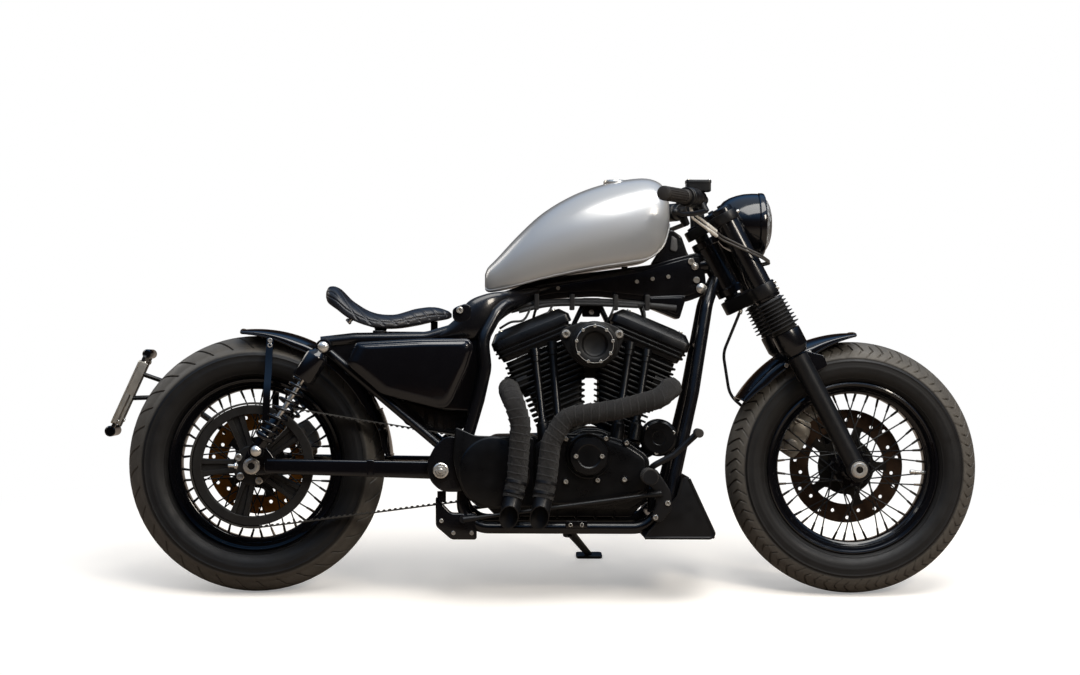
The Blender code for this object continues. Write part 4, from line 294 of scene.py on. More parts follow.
def tyre(name, radius, width, axle_x, body, node, sweep, grooves):
    """sweep gives how far ahead, in degrees, a groove lies at a share of the crown's half width, and
    grooves the (start, end, width in degrees) of the grooves in one pitch, as shares of that width."""
    half = width / 2
    edge = math.radians(CROWN_DEGREES)
    crown_rows = 22
    section = []  # radius, y, share across the crown (0 off it)
    for k in range(-crown_rows, crown_rows + 1):
        turn = edge * k / crown_rows
        section.append((radius - CROWN_RADIUS * (1 - math.cos(turn)), CROWN_RADIUS * math.sin(turn),
                        k / crown_rows))
    shoulder = (section[-1][0], section[-1][1])
    curve = wall_curve([shoulder, (radius - 0.041, half * 0.955), (radius - 0.058, half),
                        (radius - 0.078, half * 0.975), (RIM_FLANGE + 0.012, half * 0.86),
                        (RIM_FLANGE + 0.0045, half * 0.72), (RIM_FLANGE + 0.0012, BEAD_Y)], 6)[1:]
    ridges = {6: -0.001, 8: 0.0012, 13: 0.0009, 24: 0.0012, 27: 0.0011, 30: 0.001}
    right = []
    for i, (r, y) in enumerate(curve):
        share = 1 + (SHOULDER - 1) * (i + 1) / 6 if i < 6 else 2.0
        right.append((r + 0.3 * ridges.get(i, 0), y + ridges.get(i, 0), share))
    right.append((BEAD_RADIUS, BEAD_Y, 2.0))
    section = [(r, -y, -share) for r, y, share in reversed(right)] + section + right
    pitch = 360.0 / TREAD_PITCHES
    columns = []
    for number in range(TREAD_PITCHES):
        start = number * pitch
        for index, (low, high, wide) in enumerate(grooves):
            at = start + pitch * (index + 0.25) / len(grooves)
            columns += [(at - wide / 2 - 0.35, 0.0, low, high), (at - wide / 2 - 0.05, 0.0, low, high),
                        (at - wide / 2 + 0.1, 1.0, low, high), (at + wide / 2 - 0.1, 1.0, low, high),
                        (at + wide / 2 + 0.05, 0.0, low, high), (at + wide / 2 + 0.35, 0.0, low, high),
                        (at + pitch / len(grooves) / 2, 0.0, low, high)]
    rings = []
    for degrees, sunk, low, high in columns:
        ring = []
        for r, y, share in section:
            part = abs(share)
            ahead = sweep(min(part, SHOULDER), math.copysign(1.0, share))
            depth = GROOVE_DEPTH * sunk if low < part < high else 0.0
            turn = math.radians(degrees + ahead)
            ring.append(Vector((axle_x + (r - depth) * math.cos(turn), y,
                radius + (r - depth) * math.sin(turn))))
        rings.append(ring)
    work = bmesh.new()
    # The lighter mottled grey band covers the crown and the upper shoulders.
    layer = work.verts.layers.float.new("crown_band")
    skin(work, rings, loop=True)
    for vert in work.verts:
        reach = math.hypot(vert.co.x - axle_x, vert.co.z - radius)
        at = (reach - (radius - 0.042)) / 0.002
        vert[layer] = max(0.0, min(1.0, at)) if abs(vert.co.y) > 0.02 or reach > radius - 0.02 else 0.0
    return keep(work, name, rubber, body, node, sharp=38)


tyre("front_tyre_moulded", FRONT_RADIUS, FRONT_WIDTH, WHEELBASE, "front_wheel", "front_tyre",
     lambda s, side: -5.5 * min(s, 0.86) / 0.86 + 3.6 * max(0.0, s - 0.86) / 0.44,
     [(0.16, 1.12, 1.15), (0.52, 1.26, 1.05)])
tyre("rear_tyre_moulded", REAR_RADIUS, REAR_WIDTH, 0.0, "rear_wheel", "rear_tyre",
     lambda s, side: -9.0 * s + 1.5 * side, [(0.12, 1.1, 1.2)])


# Laced wheels
# Steel rims and hubs under gloss black paint, each with forty black spokes that cross on their way
# from the hub's flanges to dark nipples in the rim's well.
RIM_HALF = 0.046
RIM_WELL = 0.188
HUB_FLANGE = 0.048
HUB_FLANGE_Y = 0.034
SPOKES = 40
SPOKE_LEAD = 46.0
SPOKE_RADIUS = 0.0018
AXLE_RADIUS = 0.0125
# Stoved enamel: deep black under a clear gloss with a slight ripple.
gloss_paint = surface("gloss_black_enamel", "0A0A0C", "0E0E12", (0.1, 0.2), cloud_mm=120,
                      grain_mm=2.5, grain_um=6, coat=0.6, ior=1.38)
# Nickel and chrome plating: bright, a little warm and never quite even.
plated = surface("plated_steel", "DEDAD2", "F0ECE4", (0.16, 0.24), metallic=0.72, cloud_mm=14,
                 grain_mm=0.9, grain_um=1.5)
# Baked coating on the spokes: black and half dull.
spoke_black = surface("black_spoke_coat", "060606", "0A0A0A", (0.38, 0.5), cloud_mm=30,
    grain_mm=1.0, grain_um=6)
# Black nickel on the nipples: dark and brownish, with a metallic shine.
dark_plate = surface("black_nickel_plate", "2A2622", "3A342E", (0.25, 0.4), metallic=0.9,
    cloud_mm=12, grain_mm=0.5, grain_um=6)


def turned(work, profile, steps, place):
    """Turns (radius, height) pairs round the local Z axis. A radius of 0 closes an end, and a profile
    with neither end at 0 closes on itself."""
    rings = []
    for radius, height in profile:
        if radius <= 0:
            rings.append([work.verts.new(place @ Vector((0, 0, height)))])
            continue
        rings.append([work.verts.new(place @ Vector((radius * math.cos(2 * math.pi * k / steps),
                                                     radius * math.sin(2 * math.pi * k / steps), height)))
                      for k in range(steps)])
    pairs = list(zip(rings, rings[1:]))
    if len(rings[0]) > 1 and len(rings[-1]) > 1:
        pairs.append((rings[-1], rings[0]))
    for here, there in pairs:
        for k in range(steps):
            n = (k + 1) % steps
            corners = [here[k % len(here)], here[n % len(here)], there[n % len(there)], there[k % len(there)]]
            corners = list(dict.fromkeys(corners))
            if len(corners) > 2:
                work.faces.new(corners)


def mm(rows):
    """Rows of millimetres in metres."""
    return [tuple(value / 1000 for value in row) for row in rows]


def across_at(x, y, z):
    """A place whose Z axis points to the left, along an axle."""
    return Matrix.Translation((x, y, z)) @ Matrix.Rotation(math.radians(-90), 4, "X")


def right_at(x, y, z):
    """A place whose Z axis points to the right, out of the photographed side."""
    return across_at(x, y, z) @ Matrix.Rotation(math.pi, 4, "X")


def aimed(start, end):
    """A place at start whose Z axis points at end."""
    start, end = Vector(start), Vector(end)
    return Matrix.Translation(start) @ (end - start).to_track_quat("Z", "Y").to_matrix().to_4x4()


def tube(work, points, radius, sides=16, ends=True, hollow=0.0):
    """A round tube along points. radius is one number or one for each point."""
    points = [Vector(p) for p in points]
    ways = [(points[min(i + 1, len(points) - 1)] - points[max(i - 1, 0)]).normalized()
        for i in range(len(points))]
    side = ways[0].orthogonal().normalized()
    rings = []
    for i, (point, way) in enumerate(zip(points, ways)):
        side = (side - way * side.dot(way)).normalized()
        other = way.cross(side)
        size = radius[i] if isinstance(radius, (list, tuple)) else radius
        rings.append([point + side * size * math.cos(a) + other * size * math.sin(a)
                      for a in (2 * math.pi * k / sides for k in range(sides))])
    skin(work, rings, ends=ends)
    return rings


def repeat_tree():
    """A small node tree that sets one shape out on points, each turned by its own turn attribute."""
    tree = bpy.data.node_groups.new("set_out", "GeometryNodeTree")
    tree.interface.new_socket("Places", in_out="INPUT", socket_type="NodeSocketGeometry")
    tree.interface.new_socket("Shape", in_out="INPUT", socket_type="NodeSocketObject")
    tree.interface.new_socket("Finish", in_out="INPUT", socket_type="NodeSocketMaterial")
    tree.interface.new_socket("Size", in_out="INPUT", socket_type="NodeSocketFloat")
    tree.interface.new_socket("Result", in_out="OUTPUT", socket_type="NodeSocketGeometry")
    entry = add(tree, "NodeGroupInput")
    facing = add(tree, "GeometryNodeInputNamedAttribute", {"data_type": "FLOAT_VECTOR"}, {"Name": "turn"})
    found = add(tree, "GeometryNodeObjectInfo", None, {"Object": entry.outputs["Shape"]})
    spread = add(tree, "GeometryNodeInstanceOnPoints", None, {
        "Points": entry.outputs["Places"], "Instance": found.outputs["Geometry"],
        "Rotation": facing.outputs["Attribute"], "Scale": entry.outputs["Size"]})
    real = add(tree, "GeometryNodeRealizeInstances", None, {"Geometry": spread.outputs[0]})
    painted = add(tree, "GeometryNodeSetMaterial", None, {"Geometry": real.outputs[0],
                                                          "Material": entry.outputs["Finish"]})
    add(tree, "NodeGroupOutput", None, {"Result": painted.outputs[0]})
    return tree


SET_OUT = repeat_tree()


def set_out(work, places, name, finish, body, *stands_for, size=1.0, sharp=35.0):
    """The shape in work at every place, as one mesh."""
    bmesh.ops.recalc_face_normals(work, faces=work.faces)
    mesh = bpy.data.meshes.new(name + "_one")
    work.to_mesh(mesh)
    work.free()
    one = bpy.data.objects.new(name + "_one", mesh)
    bpy.context.scene.collection.objects.link(one)
    dots = bpy.data.meshes.new(name + "_places")
    dots.from_pydata([place.to_translation() for place in places], [], [])
    turns = dots.attributes.new("turn", "FLOAT_VECTOR", "POINT")
    for i, place in enumerate(places):
        turns.data[i].vector = place.to_euler()
    carrier = bpy.data.objects.new(name + "_places", dots)
    bpy.context.scene.collection.objects.link(carrier)
    modifier = carrier.modifiers.new("set_out", "NODES")
    modifier.node_group = SET_OUT
    values = {"Shape": one, "Finish": finish, "Size": size}
    for item in SET_OUT.interface.items_tree:
        if item.name in values:
            modifier[item.identifier] = values[item.name]
    carrier.update_tag()
    bpy.context.view_layer.update()
    graph = bpy.context.evaluated_depsgraph_get()
    result = bpy.data.meshes.new_from_object(carrier.evaluated_get(graph))
    bpy.data.objects.remove(carrier)
    bpy.data.objects.remove(one)
    result.transform(UPRIGHT_TO_PARKED)
    return keep_mesh(result, name, finish, body, *stands_for, sharp=sharp)


def around_axle(x, z, count, start=0.0):
    """Places turned evenly round an axle."""
    centre = Matrix.Translation((x, 0, z))
    return [centre @ Matrix.Rotation(math.radians(start) + 2 * math.pi * k / count, 4, "Y")
        for k in range(count)]


def laced_wheel(name, x, z, body, node):
    """The rim and hub, the crossed spokes with their nipples, and the valve's stem."""
    half, flange, well = RIM_HALF, RIM_FLANGE, RIM_WELL
    work = bmesh.new()
    barrel = [(flange, half), (flange + 0.0006, half - 0.003), (flange, half - 0.006), (0.204, half - 0.0065),
        (0.2, half - 0.012), (0.1945, 0.019)]
    inside = [(flange - 0.003, half + 0.0012), (flange - 0.006, half + 0.0004),
        (flange - 0.0068, half - 0.0034), (0.208, half - 0.004), (0.2072, half - 0.008),
        (0.203, half - 0.009), (0.202, half - 0.013), (0.1975, half - 0.016), (0.1945, 0.025),
        (0.19, 0.0225), (well, 0.016)]
    turned(work, [(r, -y) for r, y in barrel] + [(0.194, 0)] + barrel[::-1] + inside
        + [(r, -y) for r, y in reversed(inside)], 128, across_at(x, 0, z))
    bore = AXLE_RADIUS + 0.0009
    inner, outer = HUB_FLANGE_Y - 0.004, HUB_FLANGE_Y + 0.004
    side = [(bore, 0.0515), (0.026, 0.0515), (0.0285, 0.049), (0.03, outer + 0.004), (0.033, outer + 0.0006),
            (HUB_FLANGE - 0.001, outer), (HUB_FLANGE, outer - 0.001), (HUB_FLANGE, inner + 0.001),
            (HUB_FLANGE - 0.001, inner), (0.034, inner - 0.002), (0.029, 0.02), (0.0275, 0.0)]
    turned(work, [(r, -y) for r, y in side] + [(r, y) for r, y in reversed(side[:-1])], 64,
        across_at(x, 0, z))
    keep(work, name + "_rim_and_hub", gloss_paint, body, node, sharp=30)
    spokes = bmesh.new()
    nipples = bmesh.new()
    pitch = 2 * math.pi / SPOKES
    for k in range(4):
        side = 1 if k % 2 else -1
        lead = 1 if k < 2 else -1
        at_rim = pitch * (k + 0.5)
        at_hub = at_rim + lead * math.radians(SPOKE_LEAD)
        y = side * (HUB_FLANGE_Y + lead * 0.0058)
        hub = Vector(((HUB_FLANGE - 0.005) * math.cos(at_hub), y, (HUB_FLANGE - 0.005) * math.sin(at_hub)))
        rim = Vector(((well + 0.001) * math.cos(at_rim), side * 0.007, (well + 0.001) * math.sin(at_rim)))
        tube(spokes, [hub + Vector((0, -lead * side * 0.006, 0)), hub, hub.lerp(rim, 0.06), rim],
             [SPOKE_RADIUS] * 4, 8)
        turned(spokes, mm([(0, -1), (3.8, -1), (3.8, 0.8), (0, 1.5)]), 10,
            (across_at if lead * side > 0 else right_at)(*hub))
        turned(nipples, mm([(0, -22), (2.7, -21.5), (3.3, -1), (5.6, 0), (0, 0)]), 8,
            aimed(rim, rim + (rim - hub)))
    set_out(spokes, around_axle(x, z, SPOKES // 4), name + "_spokes", spoke_black, body)
    set_out(nipples, around_axle(x, z, SPOKES // 4), name + "_nipples", dark_plate, body)
    valve = bmesh.new()
    stem = Matrix.Translation((x, 0, z)) @ Matrix.Rotation(math.radians(4), 4, "Y") @ aimed((well, 0, 0),
        (0, 0.01, 0))
    turned(valve, mm([(0, -2), (6.5, -2), (6.5, 2), (4, 4), (4, 20), (5.2, 21), (5.2, 32), (4, 34),
        (0, 34)]), 14, stem)
    keep(valve, name + "_valve_stem", plated, body)


laced_wheel("front_wheel", WHEELBASE, FRONT_RADIUS, "front_wheel", "front_rim")
laced_wheel("rear_wheel", 0.0, REAR_RADIUS, "rear_wheel", "rear_rim")


# Brake discs
# Ground steel rings browned by heat and drilled with spread holes, each on a round dark carrier that
# five short arms join to its ring.
DISC_Y = 0.062
DISC_THICK = 0.005
# Ground steel that has run hot: brown in front, and straw yellow on the newer rear ring.
disc_steel = surface("heated_disc_steel", "2E2119", "4A3728", (0.34, 0.5), metallic=0.75,
    cloud_mm=45, grain_mm=0.4, grain_um=10)
straw_steel = surface("straw_heated_disc_steel", "74481A", "925F22", (0.3, 0.46), metallic=0.75,
                      cloud_mm=45, grain_mm=0.9, grain_um=6)
# Black oxide on steel: dull, dark and slightly brown.
spider_black = surface("black_oxide_steel", "15130F", "201D19", (0.35, 0.5), metallic=0.5,
                       cloud_mm=30, grain_mm=0.8, grain_um=12)


def drilled_ring(work, inner, outer, y_low, y_high, rows, sectors, hole, place):
    """A flat ring cut into cells, each cell with a round hole. rows are the (radius, shift) of the holes,
    and each cell is skinned from its hole's edge out to its own four sides."""
    across = 12
    for sector in range(sectors):
        start = 2 * math.pi * sector / sectors
        width = 2 * math.pi / sectors
        edges = [inner] + [(a[0] + b[0]) / 2 for a, b in zip(rows, rows[1:])] + [outer]
        for (low, high), (radius, shift) in zip(zip(edges, edges[1:]), rows):
            centre = start + width * shift
            faces = []
            for y in (y_low, y_high):
                ring = []
                frame_ring = []
                for k in range(across * 4):
                    a = 2 * math.pi * k / (across * 4)
                    ring.append((radius * math.cos(centre) + hole * math.cos(a),
                                 radius * math.sin(centre) + hole * math.sin(a)))
                    t = (k / across) % 4
                    corner = int(t)
                    part = t - corner
                    if corner == 0:
                        rr, aa = high, start + width * part
                    elif corner == 1:
                        rr, aa = high + (low - high) * part, start + width
                    elif corner == 2:
                        rr, aa = low, start + width * (1 - part)
                    else:
                        rr, aa = low + (high - low) * part, start
                    frame_ring.append((rr * math.cos(aa), rr * math.sin(aa)))
                faces.append((ring, frame_ring))
            best = min(range(across * 4), key=lambda s: sum(
                math.hypot(faces[0][0][(k + s) % (across * 4)][0] - faces[0][1][k][0],
                           faces[0][0][(k + s) % (across * 4)][1] - faces[0][1][k][1])
                for k in range(across * 4)))
            levels = []
            for (ring, frame_ring), y in zip(faces, (y_low, y_high)):
                ring = ring[best:] + ring[:best]
                levels.append(([work.verts.new(place @ Vector((u, v, y))) for u, v in ring],
                               [work.verts.new(place @ Vector((u, v, y))) for u, v in frame_ring]))
            count = across * 4
            (hole_low, frame_low), (hole_high, frame_high) = levels
            for k in range(count):
                n = (k + 1) % count
                work.faces.new((hole_low[k], hole_low[n], frame_low[n], frame_low[k]))
                work.faces.new((hole_high[k], frame_high[k], frame_high[n], hole_high[n]))
                work.faces.new((hole_low[k], hole_high[k], hole_high[n], hole_low[n]))
                corner = int(k / across)
                if (corner == 0 and high == outer) or (corner == 2 and low == inner):
                    work.faces.new((frame_low[k], frame_low[n], frame_high[n], frame_high[k]))
    bmesh.ops.remove_doubles(work, verts=work.verts, dist=1e-6)


def screws(name, body, radius, height, places):
    """Plated socket screws, one at each place: a bevelled drum with a recess, its head along the Z axis."""
    work = bmesh.new()
    turned(work, [(0, height * 0.45), (radius * 0.5, height * 0.45), (radius * 0.55, height),
        (radius * 0.85, height), (radius * 0.97, height * 0.88), (radius, height * 0.7), (radius, -0.001),
        (0, -0.001)], 18, Matrix.Identity(4))
    set_out(work, places, name, plated, body)


def ringed(place, count, offset, start=0.0):
    """Places turned evenly round a place's Z axis, each moved out by offset."""
    return [place @ Matrix.Rotation(math.radians(start) + 2 * math.pi * k / count, 4, "Z")
            @ Matrix.Translation(offset) for k in range(count)]


def brake_disc(name, x, z, radius, body, node, steel):
    """A drilled ring on a five-armed carrier that is screwed to the hub."""
    place = across_at(x, DISC_Y, z)
    inner = radius - 0.048
    carrier = radius * 0.5
    ring = bmesh.new()
    drilled_ring(ring, inner, radius, -DISC_THICK / 2, DISC_THICK / 2,
                 [(inner + 0.021, 0.26), (inner + 0.035, 0.7)], 11, 0.0046, place)
    keep(ring, name + "_ring", steel, body, node, sharp=30)
    spider = bmesh.new()
    turned(spider, [(AXLE_RADIUS + 0.001, -0.0095), (0.04, -0.0095), (0.041, -0.003),
        (carrier - 0.001, -0.003), (carrier, -0.002), (carrier, 0.0022), (carrier - 0.001, 0.0032),
        (0.05, 0.0032), (0.047, 0.0008), (0.03, 0.0008), (0.028, 0.0034), (AXLE_RADIUS + 0.001, 0.0034)],
        64, place)
    for k in range(5):
        turn = place @ Matrix.Rotation(2 * math.pi * k / 5, 4, "Z")
        rings = []
        for reach, wide in ((carrier - 0.006, 0.021), (carrier + 0.004, 0.0115), (inner - 0.004, 0.0105),
                            (inner + 0.007, 0.015)):
            rings.append([turn @ Vector((reach, v, h)) for v, h in ((-wide, -0.0029), (wide, -0.0029),
                (wide, 0.0019), (wide - 0.002, 0.0031), (-wide + 0.002, 0.0031), (-wide, 0.0019))])
        skin(spider, rings)
        turned(spider, [(0, 0.002), (0.0082, 0.002), (0.0082, 0.0044), (0.007, 0.0052), (0, 0.0052)], 20,
               turn @ Matrix.Translation((inner + 0.001, 0, 0)))
    keep(spider, name + "_carrier", spider_black, body)
    screws(name + "_bolts", body, 0.0065, 0.005, ringed(place, 5, (0.029, 0, 0.003)))


brake_disc("front_disc", WHEELBASE, FRONT_RADIUS, 0.146, "front_wheel", "front_disc", disc_steel)
brake_disc("rear_disc", 0.0, REAR_RADIUS, 0.132, "rear_wheel", "rear_disc", straw_steel)


# Axles
# Plated steel bars with a stepped nut on each side, against the slider or the swingarm's end, and a
# dark plug set back in each bored end.
for name, x, z, seat, body, node in (
        ("front_axle", WHEELBASE, FRONT_RADIUS, 0.1336, "steering", "front_axle"),
        ("rear_axle", 0.0, REAR_RADIUS, 0.1395, "chassis", "rear_axle")):
    work = bmesh.new()
    half = [(AXLE_RADIUS, 0.0), (AXLE_RADIUS, seat), (0.0205, seat), (0.021, seat + 0.0015),
        (0.0205, seat + 0.003), (0.0168, seat + 0.0034), (0.0172, seat + 0.0085), (0.016, seat + 0.0098),
        (0.0098, seat + 0.0098), (0.0088, seat + 0.0085), (0.0086, seat + 0.002), (0, seat + 0.002)]
    turned(work, [(r, -y) for r, y in reversed(half)] + half[1:], 40, across_at(x, 0, z))
    keep(work, name + "_turned", plated, body, node)
    work = bmesh.new()
    for side in (-1, 1):
        turned(work, [(0, side * (seat + 0.0022)), (0.0085, side * (seat + 0.0022)),
            (0.0085, side * (seat + 0.0064)), (0.006, side * (seat + 0.0068)), (0, side * (seat + 0.0068))],
            28, across_at(x, 0, z))
    keep(work, name + "_bore_plugs", spider_black, body)


# Rear pulley and toothed belt
# A black cast pulley with a broad rim on five forked spokes, bolted to the hub, and a rubber belt
# moulded with round-backed teeth at a 14 mm pitch, running to the front pulley behind its cover.
PULLEY_RADIUS = 0.15
PULLEY_Y = -0.097
PULLEY_SPOKES = 5
PULLEY_TURN = 105.0
FRONT_PULLEY = (0.62, 0.315)
FRONT_PULLEY_RADIUS = 0.062
BELT_PITCH = 0.014
BELT_THICK = 0.005
BELT_HALF = 0.0138
BELT_STEPS = 500
# Moulded belt rubber: dark grey and dull.
belt_rubber = surface("ribbed_belt_rubber", "2B2926", "3B3834", (0.5, 0.7), cloud_mm=20,
                      grain_mm=0.8, grain_um=40)
# Cast alloy painted black: soft sheen over a slightly uneven skin.
cast_black = surface("cast_pulley_black", "1A1918", "262422", (0.32, 0.46), cloud_mm=60,
    grain_mm=1.0, grain_um=18)
work = bmesh.new()
place = across_at(0, PULLEY_Y, REAR_RADIUS)
turned(work, [(0.1275, -0.0115), (0.129, -0.013), (0.1485, -0.013), (PULLEY_RADIUS, -0.0115),
              (PULLEY_RADIUS, 0.0115), (0.1485, 0.013), (0.129, 0.013), (0.1275, 0.0115)], 128, place)
turned(work, [(AXLE_RADIUS + 0.0009, -0.013), (0.024, -0.0135), (0.026, -0.0105), (0.047, -0.0105),
    (0.0505, -0.007), (0.0505, 0.012), (0.046, 0.013), (0.04, 0.0445), (AXLE_RADIUS + 0.0009, 0.0445)], 64,
    place)
for turn in ringed(place, PULLEY_SPOKES, (0, 0, 0), PULLEY_TURN):
    for side in (-1, 1):
        rings = []
        for reach, v, wide in ((0.044, 0.01, 0.0075), (0.07, 0.0115, 0.0068), (0.1, 0.013, 0.0065),
                               (0.1295, 0.016, 0.0085)):
            rings.append([turn @ Vector((reach, side * v + a, h)) for a, h in (
                (-wide, 0.006), (-wide, -0.004), (-wide + 0.0025, -0.0085), (wide - 0.0025, -0.0085),
                (wide, -0.004), (wide, 0.006))])
        skin(work, rings)
    web = [[turn @ Vector((reach, v, h)) for v, h in ((-0.017, 0.005), (-0.017, -0.0015), (0.017, -0.0015),
                                                        (0.017, 0.005))] for reach in (0.044, 0.129)]
    skin(work, web)
keep(work, "rear_pulley_cast", cast_black, "rear_wheel", "rear_pulley", sharp=30)
screws("rear_pulley_bolts", "rear_wheel", 0.0095, 0.009, [
    spot @ Matrix.Rotation(math.pi, 4, "X")
    for spot in ringed(across_at(0, -0.1075, REAR_RADIUS), PULLEY_SPOKES, (0.0405, 0, 0), -6.0)])


def belt_line(extra):
    """Points every millimetre or two along the belt, extra out from its toothed face. The first
    BELT_STEPS of them lie on the rear pulley."""
    rear = PULLEY_RADIUS + 0.0018 + extra
    front = FRONT_PULLEY_RADIUS + extra
    reach = Vector((FRONT_PULLEY[0], FRONT_PULLEY[1] - REAR_RADIUS))
    along = math.atan2(reach.y, reach.x)
    wrap = math.acos((rear - front) / reach.length)

    def spot(centre, radius, angle):
        return Vector((centre[0] + radius * math.cos(angle), 0, centre[1] + radius * math.sin(angle)))

    points = []
    for k in range(BELT_STEPS):
        turn = along + wrap + (2 * math.pi - 2 * wrap) * k / (BELT_STEPS - 1)
        points.append(spot((0, REAR_RADIUS), rear, turn))
    low_start, low_end = points[-1], spot(FRONT_PULLEY, front, along - wrap)
    points += [low_start.lerp(low_end, k / BELT_STEPS) for k in range(1, BELT_STEPS)]
    for k in range(160):
        points.append(spot(FRONT_PULLEY, front, along - wrap + 2 * wrap * k / 159))
    high_start, high_end = points[-1], points[0]
    points += [high_start.lerp(high_end, k / BELT_STEPS) for k in range(1, BELT_STEPS)]
    return points


line = belt_line(0.0)
outer = belt_line(BELT_THICK)
total = sum((b - a).length for a, b in zip(line, line[1:] + line[:1]))
teeth = round(total / BELT_PITCH)
gone = 0.0
rings = []
for i, (near, far) in enumerate(zip(line, outer)):
    phase = (gone / total * teeth) % 1.0
    bite = max(0.0, min(1.0, (math.cos(2 * math.pi * phase) + 0.15) * 2.2))
    root = far.lerp(near, 0.42)
    tip = root.lerp(near, 1.0 if i < BELT_STEPS else bite)
    rings.append([Vector((p.x, PULLEY_Y + y, p.z)) for p, y in ((far, -BELT_HALF + 0.001),
        (far, BELT_HALF - 0.001), (far.lerp(root, 0.4), BELT_HALF), (root, BELT_HALF), (tip, BELT_HALF),
        (tip, -BELT_HALF), (root, -BELT_HALF), (far.lerp(root, 0.4), -BELT_HALF))])
    gone += (line[(i + 1) % len(line)] - near).length
work = bmesh.new()
skin(work, rings, loop=True)
turned(work, [(0, -0.014), (FRONT_PULLEY_RADIUS - 0.001, -0.014), (FRONT_PULLEY_RADIUS, 0.014),
    (0.024, 0.014), (0.024, 0.0217), (0, 0.0217)], 48, across_at(FRONT_PULLEY[0], PULLEY_Y,
    FRONT_PULLEY[1]))
keep(work, "drive_belt_toothed", belt_rubber, "chassis", "drive_belt", sharp=50)


# Fuel tank
# A pressed and welded steel peanut tank, sprayed silver-white with a fine pearl under clear lacquer,
# with a rolled seam along its foot, a tunnel over the backbone and a low plated filler cap.
TUNNEL_HALF = 0.036
TUNNEL_DEPTH = 0.052
TANK_STATIONS = mm([  # x, bottom z, top z, half width
    (574, 775, 806, 26), (582, 764, 824, 40), (606, 765, 849, 56), (660, 776, 908, 80), (720, 791, 963, 97),
    (790, 806, 1006, 109), (860, 819, 1034, 114), (930, 830, 1050, 114), (985, 842, 1054, 108),
    (1020, 872, 1041, 94), (1036, 915, 1014, 72), (1041, 945, 990, 40)])
# Pearl lacquer: a fine silver flake in milky white under a clear coat. Its broad warm and cool patches are painted
# reflection of brown ground and blue sky.
pearl = surface("pearl_lacquer", "B6B2AB", "B5B8BC", (0.28, 0.3), metallic=0.45, cloud_mm=420,
                grain_mm=0.9, grain_um=4, coat=0.5, ior=1.45)


def spline(rows, steps):
    """Rows of numbers with smooth in-between rows, as a Catmull-Rom spline through each column."""
    rows = [list(row) for row in rows]
    padded = [[2 * a - b for a, b in zip(rows[0], rows[1])]] + rows + [[2 * a - b for a,
        b in zip(rows[-1], rows[-2])]]
    result = []
    for a, b, c, d in zip(padded, padded[1:], padded[2:], padded[3:]):
        for k in range(steps):
            t = k / steps
            result.append([0.5 * (2 * q + (r - p) * t + (2 * p - 5 * q + 4 * r - s) * t * t
                + (3 * q - p - 3 * r + s) * t ** 3) for p, q, r, s in zip(a, b, c, d)])
    result.append(rows[-1])
    return result


def tank_section(low, high, half):
    """Half of the tank's section at one place: the tunnel, the seam, the belly and the crown."""
    tall = high - low
    tunnel = min(TUNNEL_HALF, half * 0.55)
    roof = low + min(TUNNEL_DEPTH, tall * 0.42)
    belly = [(half * 0.885, low + tall * 0.004), (half * 0.965, low + tall * 0.07),
        (half, low + tall * 0.19), (half * 0.995, low + tall * 0.36), (half * 0.915, low + tall * 0.6),
        (half * 0.74, low + tall * 0.8), (half * 0.47, low + tall * 0.935),
        (half * 0.22, low + tall * 0.985), (0, high)]
    return [(tunnel, roof), (tunnel + 0.0005, low + 0.002)] + spline(belly, 3)


rings = []
for x, low, high, half in spline(TANK_STATIONS, 5):
    right = tank_section(low, high, half)
    rings.append([Vector((x, -y, z)) for y, z in right] + [Vector((x, y, z)) for y,
        z in reversed(right[:-1])])
work = bmesh.new()
skin(work, rings)
keep(work, "tank_pressing", pearl, "chassis", "fuel_tank", sharp=42)
seam = bmesh.new()
for side in (-1, 1):
    lip = [Vector((x, side * half * 0.925, low + (high - low) * 0.02)) for x, low, high,
        half in spline(TANK_STATIONS, 5)]
    tube(seam, lip[2:-2], 0.0022, 8)
keep(seam, "tank_seam", pearl, "chassis")
cap = bmesh.new()
turned(cap, [(0, -0.006), (0.029, -0.006), (0.03, -0.002), (0.03, 0.004), (0.029, 0.0062), (0.0262, 0.0078),
             (0.018, 0.008), (0.0165, 0.007), (0, 0.007)], 64,
       Matrix.Translation((0.905, 0, 1.041)))
keep(cap, "filler_cap", plated, "chassis")


# Saddle
# A thin solo saddle on a steel pan: black leather over foam, sewn through in diamonds across the
# seat and gathered to a plain welt round its rim, with the broad back kicked up.
SEAT_STATIONS = mm([  # x, underside z, top z, half width
    (176, 742, 762, 72), (184, 728, 772, 100), (206, 712, 768, 118), (240, 688, 736, 126),
    (290, 670, 708, 128), (345, 668, 702, 116), (400, 676, 717, 92), (445, 686, 722, 66),
    (478, 692, 714, 44), (490, 697, 706, 24)])
QUILT = 0.04
QUILT_DEPTH = 0.003
SEAM_WIDTH = 0.0085
WELT_HEIGHT = 0.34
WELT_WIDTH = 0.0045
HALF_STEPS = 64
# Waxed leather: black with a soft shine, and a grain that is drawn coarser than it is.
leather = surface("pull_up_leather", "16161A", "1F1F23", (0.34, 0.44), cloud_mm=40,
    grain_mm=2.2, grain_um=9, ior=1.5)


def seam(distance, width):
    """How deep a stitched seam is drawn in at a distance from it: 1 on the seam, 0 away from it."""
    return max(0.0, 1 - abs(distance) / width) ** 2.0


